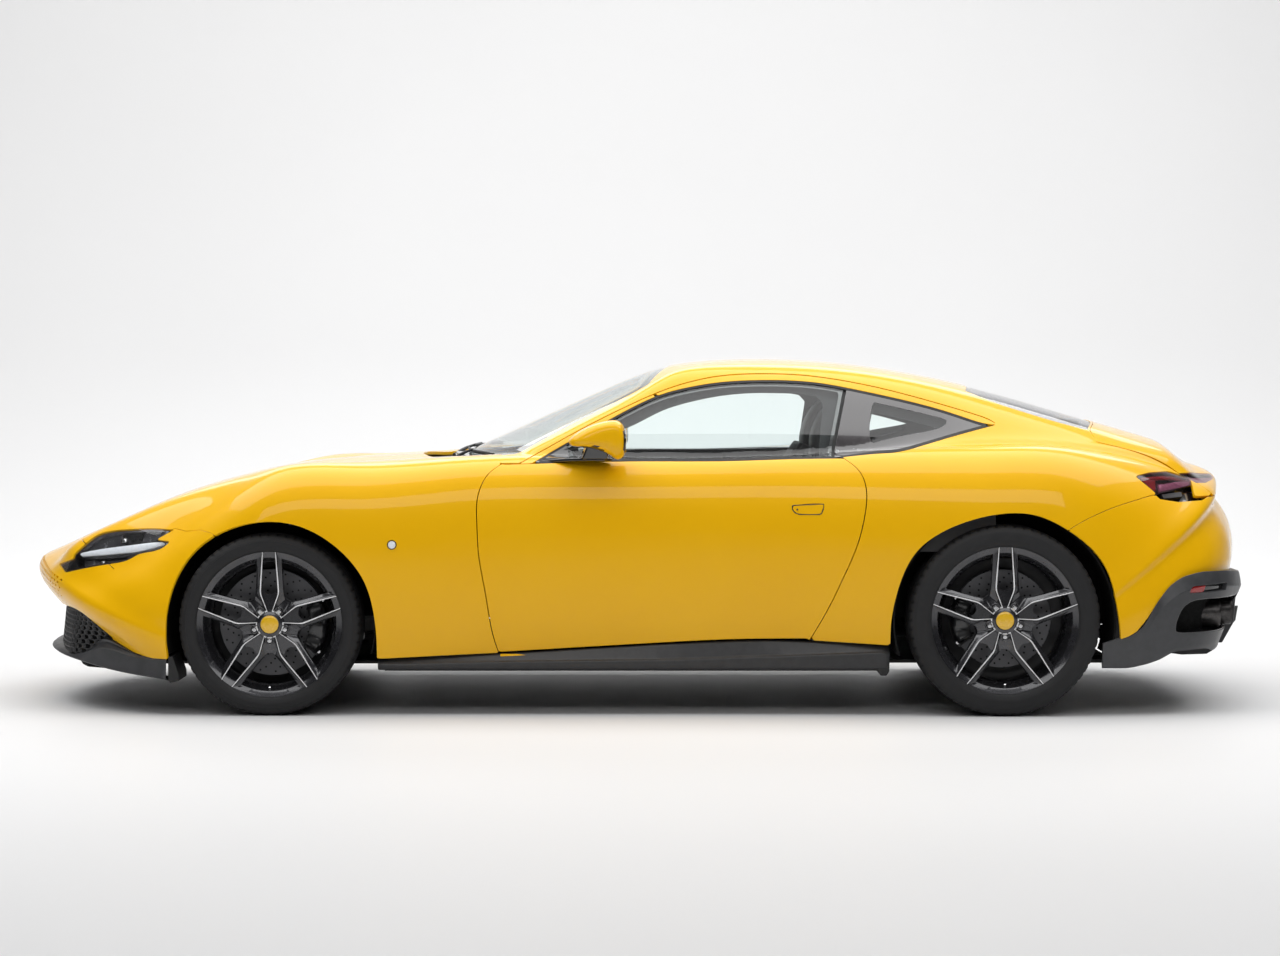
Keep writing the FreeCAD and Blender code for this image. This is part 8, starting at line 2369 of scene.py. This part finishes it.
con = [prism("console_body", [(-.400, -.098, .190), (.780, -.098, .190), (.790, -.098, .330), (.560, -.098, .400), (.180, -.098, .405), (.060, -.098, .440), (-.220, -.098, .470), (-.330, -.098, .600), (-.400, -.098, .620)], (0, .196, 0), M["trim"], "body", "interior_trim", bev=.016, seg=4),
       prism("console_tray", [(-.200, -.070, .4690), (.040, -.070, .4460), (.040, .070, .4460), (-.200, .070, .4690)], (0, 0, .006), M["gloss_black"], "body", "interior_trim", bev=.003),
       lathe("shift_boot", [(.452, .045), (.470, .040), (.490, .022), (.505, .012), (.506, .0002)], (-.115, 0, 0), M["seat"], n=32, axis=2, body="body", slot="interior_trim"),
       lathe("shift_knob", [(.500, .0002), (.500, .008), (.540, .009), (.552, .018), (.570, .024), (.588, .022), (.596, .010), (.597, .0002)], (-.115, 0, 0), M["silver"], n=40, axis=2, body="body", slot="interior_trim")]
join("centre_console", con)
rest = pillow("console_arm_rest", lambda A, B: np.stack([.20 + .30 * B, .078 * A, .415 + 0 * A], -1), lambda A, B: .034 + 0 * A, M["seat2"], "body", "interior_trim", na=16, nb=24)

# steering wheel: rim, three spokes and centre pad, on its column
SWN = np.array([.93, 0, .37])
SWN /= np.linalg.norm(SWN)
swc = np.array([-.205, -.37, .80])
ey_ = np.array([0, 1.0, 0])
ez_ = np.cross(SWN, ey_)
ez_ *= np.sign(ez_[2])


def swp(r, a, d=0.0):
    return swc + ey_ * r * math.sin(a) + ez_ * r * math.cos(a) + SWN * d


G = []
for i in range(72):
    a = 2 * math.pi * i / 72
    row = []
    rad = .176 - .010 * max(0, -math.cos(a)) ** 6
    gr = 1 + .10 * (math.exp(-((abs(math.sin(a)) - .86) / .10) ** 2) if math.cos(a) > -.1 else 0)
    for k in range(16):
        t = 2 * math.pi * k / 16
        row.append(swp(rad + .0150 * gr * math.cos(t), a, .0165 * gr * math.sin(t)))
    G.append(row)
rim_ = grid_obj("steering_rim", np.array(G), M["seat"], close_u=True, close_v=True, body="body", slot="interior_trim")
sp = [rim_]
for i, (a, w) in enumerate(((math.pi / 2, .020), (-math.pi / 2, .020), (math.pi, .026))):
    pts = []
    for r_, ww in ((.040, w * 1.5), (.090, w), (.165, w * .8)):
        pts.append((r_, ww))
    ring_ = [swp(r_, a, -.004) + (ez_ if abs(math.sin(a)) > .5 else ey_) * ww for r_, ww in pts] + [swp(r_, a, -.004) - (ez_ if abs(math.sin(a)) > .5 else ey_) * ww for r_, ww in pts[::-1]]
    sp.append(prism("steering_spoke_%d" % i, [tuple(p) for p in ring_], tuple(SWN * .012), M["lamp_grey"], "body", "interior_trim", bev=.003))
pad_ = []
for t in np.linspace(0, 2 * math.pi, 28, endpoint=False):
    r_ = .062 * (1 + .10 * math.cos(2 * t)) * (1 if math.cos(t) > -.2 else 1.06)
    pad_.append(tuple(swp(r_, t, -.012)))
sp.append(prism("steering_pad", pad_, tuple(SWN * .040), M["seat"], "body", "interior_trim", bev=.012, seg=4))
col = tube("steering_column", [tuple(swc - SWN * .012), tuple(swc - SWN * .075), tuple(swc - SWN * .135)], .034, M["trim"], "body", "interior_trim", n=24, radii=[.036, .040, .048])
sp.append(col)
for sg in (-1, 1):
    sp.append(tube("stalk_%d" % sg, [tuple(swc - SWN * .050 + ey_ * sg * .03), tuple(swc - SWN * .045 + ey_ * sg * .10 + ez_ * .004), tuple(swc - SWN * .038 + ey_ * sg * .155 + ez_ * .008)], .006, M["trim"], "body", "interior_trim", n=10, radii=[.005, .006, .0075]))
sw = join("steering_wheel_set", sp)
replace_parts(sw, "steering_wheel")

# carpets, mats and pedals
for sg, nm in ((-1, "left"), (1, "right")):
    cube("carpet_front_" + nm, -.870, .020, min(sg * .105, sg * .80), max(sg * .105, sg * .80), .1825, .192, M["carpet"], "body", "interior_trim", bev=.004)
    m_ = prism("mat_" + nm, [(x, sg * y, .1925) for x, y in smooth_run([(-.80, .20), (-.80, .50), (-.78, .62), (-.40, .64), (-.12, .62), (-.08, .56), (-.08, .20), (-.12, .16), (-.76, .16), (-.80, .20)], 4)[:-1]], (0, 0, .0075), M["carpet"], "body", "interior_trim", bev=.003)
    cube("carpet_rear_" + nm, .50, .84, min(sg * .105, sg * .62), max(sg * .105, sg * .62), .1825, .192, M["carpet"], "body", "interior_trim", bev=.004)
    # trim behind the doors and below the quarter windows
    panel("quarter_trim_" + nm, 3.36, 4.00, .45, .84, [in_side([(.80, .50), (1.10, .50), (1.30, .60), (1.30, 1.035), (1.146, 1.000), (.962, .950), (.84, .935), (.80, .90)])], M["trim"], "body", side=sg, off=-.058, step=.02, rim=.002, depth=.006, slot="interior_trim")
    panel("post_trim_" + nm, 3.30, 3.52, .46, 1.04, [in_side([(.845, .50), (.850, .935), (.800, 1.185), (.752, 1.192), (.700, .945), (.835, .92), (.835, .50)])], M["trim"], "body", side=sg, off=-.030, step=.014, rim=.0015, depth=.006, slot="interior_trim")
    tube("belt_strap_" + nm, [(.78, sg * .60, 1.10), (.77, sg * .655, .90), (.72, sg * .675, .60), (.66, sg * .665, .36)], .004, M["belt"], "body", "interior_trim", n=8)
pd = []
for i, y in enumerate((-.30, -.39, -.46)):
    pd.append(prism("pedal_%d" % i, [(-.735, y - .022, .300), (-.700, y - .022, .390), (-.700, y + .022, .390), (-.735, y + .022, .300)], (-.006, 0, .003), M["silver"], "body", "interior_trim", bev=.002))
    pd.append(tube("pedal_arm_%d" % i, [(-.725, y, .34), (-.76, y, .48), (-.80, y, .60)], .008, M["black"], "body", "interior_trim", n=10))
join("pedals", pd)
# parcel shelf, boot lining and bulkhead lining
prism("parcel_shelf", [(1.075, -.56, .4915), (1.72, -.60, .4915), (1.72, .60, .4915), (1.075, .56, .4915)], (0, 0, .016), M["carpet"], "body", "interior_trim", bev=.006)
cube("boot_carpet", 1.745, 2.115, -.68, .68, .4605, .470, M["carpet"], "body", "interior_trim", bev=.003)
cube("bulkhead_lining", -.879, -.868, -.735, .735, .195, .860, M["lining"], "body", "interior_trim", bev=.004)

# ---- under the hood ---------------------------------------------------------------
eng = [prism("engine_case", [(-1.29, -.27, .250), (-.94, -.27, .250), (-.94, -.27, .640), (-1.00, -.27, .700), (-1.22, -.27, .690), (-1.29, -.27, .600)], (0, .54, 0), M["engine"], "body", "engine", bev=.014, seg=3)]
for sg in (-1, 1):
    eng.append(prism("cam_cover_%d" % sg, [(-1.27, sg * .075, .690), (-.98, sg * .075, .700), (-.98, sg * .225, .680), (-1.27, sg * .225, .672)], (0, 0, .050), M["engine"], "body", "engine", bev=.014, seg=3))
    for k in range(4):
        x = -1.235 + k * .075
        eng.append(tube("intake_runner_%d_%d" % (sg, k), [(x, sg * .050, .735), (x, sg * .110, .752), (x, sg * .185, .742), (x, sg * .245, .690)], .018, M["engine"], "body", "engine", n=16))
eng.append(prism("intake_box", [(-1.27, -.055, .720), (-.99, -.055, .730), (-.99, .055, .730), (-1.27, .055, .720)], (0, 0, .036), M["black"], "body", "engine", bev=.012, seg=3))
for k in range(5):
    eng.append(cube("engine_rib_%d" % k, -1.255 + k * .056, -1.245 + k * .056, -.045, .045, .752, .762, M["black"], "body", "engine", bev=.002))
eng.append(lathe("crank_pulley", [(-1.318, .0002), (-1.318, .075), (-1.312, .080), (-1.306, .072), (-1.300, .080), (-1.294, .072), (-1.292, .0002)], (0, 0, .36), M["black"], n=48, axis=0, body="body", slot="engine"))
eng.append(lathe("fan_pulley", [(-1.318, .0002), (-1.318, .045), (-1.312, .048), (-1.304, .042), (-1.298, .048), (-1.292, .0002)], (0, .13, .56), M["black"], n=40, axis=0, body="body", slot="engine"))
ee = join("engine_set", eng)
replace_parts(ee, "engine_block")

# ---- cabin lining round the windows -----------------------------------------------
LINO = outline([[(-.345, .935), (-.215, .990), (-.009, 1.077), (.090, 1.127), (.202, 1.162), (.314, 1.185), (.426, 1.196), (.520, 1.196), (.600, 1.193), (.652, 1.184)], [(.652, 1.184), (.684, 1.171), (.690, 1.140)], (.662, .900), (-.400, .900)])
LINQ = outline([[(.880, 1.120), (1.00, 1.092), (1.100, 1.066)], [(1.100, 1.066), (1.120, 1.056), (1.114, 1.044)], [(1.114, 1.044), (1.090, 1.032), (.99, 1.006), (.868, .985)], [(.868, .985), (.860, 1.000), (.868, 1.110), (.880, 1.120)]])
DLO_IN = only(in_side(grow(DLO_P, .010)), lambda q: np.abs(q[:, 1]) > .36, -1)
lin_f = lambda p, s, v: np.minimum.reduce([np.maximum(both_f(p, s, v) + .02, DLO_IN(p, s, v)), p[:, 2] - .925, -only(in_side(LINO), lambda q: np.abs(q[:, 1]) > .36, -1)(p, s, v), -only(in_side(LINQ), lambda q: np.abs(q[:, 1]) > .36, -1)(p, s, v), -only(in_plan(scaled(WSP, .985, -.30)), lambda q: q[:, 0] < .2, -1)(p, s, v), -in_plan(scaled(RWP, .97, 1.50))(p, s, v), 1.40 - p[:, 0]])
panel("cabin_lining", 2.10, 4.16, .70, 2 * VMAX - .70, [lin_f], M["lining"], "body", off=-.032, step=.024, rim=.002, depth=.004, slot="interior_trim")


# ---- more under the hood ----------------------------------------------------------
def under_hood(x, y, gap=.045):
    return float(z_top(np.array([x]), np.array([y]))[0]) - gap


zs = min(under_hood(-2.03, .0, .050), .615)
slam = prism("slam_panel", [(-2.085, -.30, zs), (-2.060, -.46, zs - .010), (-1.985, -.62, zs - .030), (-1.930, -.62, zs - .030), (-1.985, -.44, zs - .008), (-2.000, 0, zs), (-1.985, .44, zs - .008), (-1.930, .62, zs - .030), (-1.985, .62, zs - .030), (-2.060, .46, zs - .010), (-2.085, .30, zs)], (0, 0, -.018), M["black"], "body", "black_trim", bev=.004)
bay = []
for sg in (-1, 1):
    zt = min(under_hood(-1.337, .50, .055), .735)
    bay.append(lathe("tower_%d" % sg, [(zt - .150, .095), (zt - .030, .086), (zt - .010, .078), (zt - .004, .066), (zt - .004, .034), (zt + .008, .030), (zt + .010, .0002)], (-1.300, sg * .500, 0), M["black"], n=48, axis=2, body="body", slot="structure"))
    for k in range(3):
        a = 2 * math.pi * k / 3 + .5
        bay.append(lathe("tower_nut_%d_%d" % (sg, k), [(zt - .006, .0002), (zt - .006, .0095), (zt + .005, .0095), (zt + .007, .006), (zt + .007, .0002)], (-1.300 + .054 * math.cos(a), sg * .500 + .054 * math.sin(a), 0), M["chrome"], n=6, axis=2, body="body", slot="structure"))
    zb_ = min(under_hood(-1.15, .40, .060), .770)
    bay.append(tube("brace_%d" % sg, [(-1.300, sg * .470, zt - .002), (-1.120, sg * .395, min(zb_, .765)), (-.925, sg * .300, .770)], .013, M["grey"], "body", "structure", n=16))
    bay.append(prism("apron_%d" % sg, [(-1.930, sg * .512, zs - .060), (-1.700, sg * .510, min(under_hood(-1.70, .52, .060), .68)), (-1.420, sg * .512, .640), (-1.420, sg * .512, .56), (-1.930, sg * .512, .50)], (0, sg * .006, 0), M["black"], "body", "structure", bev=.002))
join("bay_frame", bay)
bx_ = []
bx_.append(prism("air_box_left", [(-1.900, -.470, .34), (-1.480, -.470, .34), (-1.480, -.150, .34), (-1.900, -.110, .34)], (0, 0, .185), M["black"], "body", "engine", bev=.020, seg=4))
bx_.append(prism("air_box_right", [(-1.900, .470, .34), (-1.480, .470, .34), (-1.480, .150, .34), (-1.900, .110, .34)], (0, 0, .185), M["black"], "body", "engine", bev=.020, seg=4))
for sg in (-1, 1):
    for k in range(6):
        bx_.append(cube("air_box_rib_%d_%d" % (sg, k), -1.850 + k * .058, -1.838 + k * .058, min(sg * .19, sg * .43), max(sg * .19, sg * .43), .524, .533, M["black"], "body", "engine", bev=.003))
    bx_.append(tube("duct_%d" % sg, [(-1.55, sg * .22, .50), (-1.45, sg * .18, .585), (-1.36, sg * .10, .66), (-1.27, sg * .035, .735)], .038, M["black"], "body", "engine", n=24))
    bx_.append(tube("hose_%d" % sg, [(-1.93, sg * .26, .55), (-1.80, sg * .16, .57), (-1.62, sg * .06, .565), (-1.45, sg * .07, .55), (-1.30, sg * .12, .56)], .017, M["belt"], "body", "engine", n=16))
join("air_boxes", bx_)
tank = prism("coolant_tank", [(-1.140, .370, .50), (-.960, .370, .50), (-.960, .520, .50), (-1.110, .520, .50)], (0, 0, .150), M["drl"], "body", "engine", bev=.022, seg=4)
capx = lathe("coolant_cap", [(.640, .028), (.668, .030), (.672, .024), (.673, .0002)], (-1.05, .445, 0), M["black"], n=24, axis=2, body="body", slot="engine")
batt = prism("battery_box", [(-1.140, -.520, .44), (-.950, -.520, .44), (-.950, -.350, .44), (-1.140, -.350, .44)], (0, 0, .205), M["black"], "body", "engine", bev=.010, seg=3)
join("bay_tanks", [tank, capx, batt])

# door step, painted, with a ribbed tread
for sg, nm in ((-1, "left"), (1, "right")):
    prism("door_step_" + nm, [(-.500, sg * y, z) for y, z in ((.905, .172), (.905, .219), (.900, .2225), (.765, .2225), (.748, .235), (.738, .292), (.725, .302), (.695, .302), (.684, .290), (.682, .194), (.682, .172))], (1.335, 0, 0), M["paint"], "body", "body_paint", bev=.003)
    tr = [cube("tread_%s_%d" % (nm, k), -.30, .55, min(sg * (.785 + k * .018), sg * (.791 + k * .018)), max(sg * (.785 + k * .018), sg * (.791 + k * .018)), .2215, .2245, M["belt"], "body", "black_trim", bev=.001) for k in range(6)]
    join("door_tread_" + nm, tr)

# boot: side linings and a front lining
for sg, nm in ((-1, "left"), (1, "right")):
    prism("boot_side_" + nm, [(1.74, sg * .640, .470), (2.11, sg * .600, .470), (2.13, sg * .585, .76), (1.98, sg * .570, .86), (1.78, sg * .600, .93), (1.74, sg * .610, .93)], (0, sg * .008, 0), M["carpet"], "body", "interior_trim", bev=.003)
prism("boot_front_lining", [(1.728, -.60, .500), (1.728, .60, .500), (1.722, .56, .90), (1.722, -.56, .90)], (.008, 0, 0), M["carpet"], "body", "interior_trim", bev=.003)

# ---- inner side of the doors ------------------------------------------------------
for sg, nm in ((-1, "left"), (1, "right")):
    b = "door_" + nm
    arm = pillow("door_arm_rest_" + nm, lambda A, B, sg=sg: np.stack([-.12 + .52 * B, sg * (.722 - .004 * A), .640 + .026 * A + .020 * B], -1), lambda A, B: .020 + 0 * A, M["seat2"], b, "interior_trim", na=16, nb=36, pa=4)
    prism("door_pull_" + nm, [(.535, sg * .7585, .725), (.545, sg * .7585, .775), (.690, sg * .7585, .782), (.695, sg * .7585, .735), (.670, sg * .7585, .722)], (0, sg * .006, 0), M["grey"], b, "interior_trim", bev=.002)
    hd = [tube("door_lever_%s" % nm, [(-.30, sg * .757, .700), (-.285, sg * .740, .704), (-.22, sg * .737, .706), (-.165, sg * .742, .706)], .006, M["silver"], b, "interior_trim", n=12, radii=[.009, .007, .006]),
          lathe("speaker_ring_" + nm, [(.7600, .078), (.7545, .080), (.7530, .076), (.7545, .072), (.7580, .071), (.7600, .071)], (-.34, 0, .425), M["grey"], n=56, sg=sg, body=b, slot="interior_trim"),
          lathe("speaker_mesh_" + nm, [(.7590, .0705), (.7570, .0705), (.7550, .040), (.7545, .0002), (.7590, .0002)], (-.34, 0, .425), M["mesh"], n=56, sg=sg, body=b, slot="interior_trim")]
    join("door_fittings_" + nm, hd)
    prism("door_pocket_" + nm, [(-.22, sg * .754, .30), (-.20, sg * .754, .40), (.42, sg * .754, .415), (.50, sg * .754, .34), (.46, sg * .754, .30)], (0, -sg * .022, 0), M["trim"], b, "interior_trim", bev=.008, seg=3)

# ---- dark shadow gap round the flush door handles -----------------------------------
def skin_point(x, z, off=0.0):
    d = (_pp[:, 0] - x) ** 2 + (_pp[:, 2] - z) ** 2
    i = int(np.argmin(d))
    return abs(float(_pp[i, 1])) + off


_dg = np.meshgrid(np.linspace(2.9, 3.5, 240), np.linspace(.25, .75, 160), indexing="ij")
_dp = S(_dg[0].ravel(), _dg[1].ravel())
hl_ = smooth_run(HANDLE + [HANDLE[0]], 1)
HL = []
for (a, b), (c, d) in zip(HANDLE, HANDLE[1:] + HANDLE[:1]):
    n_ = max(2, int(math.hypot(c - a, d - b) / .008))
    HL += [(a + (c - a) * k / n_, b + (d - b) * k / n_) for k in range(n_)]
HL.append(HL[0])
HY_ = [abs(float(_dp[int(np.argmin((_dp[:, 0] - x) ** 2 + (_dp[:, 2] - z) ** 2)), 1])) for x, z in HL]
for sg, nm in ((-1, "left"), (1, "right")):
    # black tube in the gap round each handle: painted shadow darkening the gap
    tube("handle_gap_" + nm, [(x, sg * (y - .0006), z) for (x, z), y in zip(HL, HY_)], .0019, M["black"], "door_" + nm, "black_trim", n=8, smooth_n=1)

# ---- pressed dust shields behind the brake discs ------------------------------------
for axle, rr_ in (("front", .226), ("rear", .230)):
    for sg, nm in ((-1, "left"), (1, "right")):
        nd = frame["nodes"].get("brake_disc_%s_%s" % (axle, nm))
        if nd is None:
            continue
        q = np.array([nd.matrix_world @ v.co for v in nd.data.vertices])
        yi = float(np.abs(q[:, 1]).min()) - .0060
        cx, cz = XF if axle == "front" else XR, .332 if axle == "front" else .348
        lathe("dust_shield_%s_%s" % (axle, nm), [(yi - .0020, .060), (yi - .0020, .150), (yi - .0050, .160), (yi - .0050, rr_), (yi + .0020, rr_ + .003), (yi + .0020, rr_ + .0045), (yi - .0064, rr_ + .0012), (yi - .0064, .159), (yi - .0034, .149), (yi - .0034, .060), (yi - .0020, .060)], (cx, 0, cz), M["black"], n=72, sg=sg, body=("knuckle_" + nm) if axle == "front" else "body", slot="black_trim")
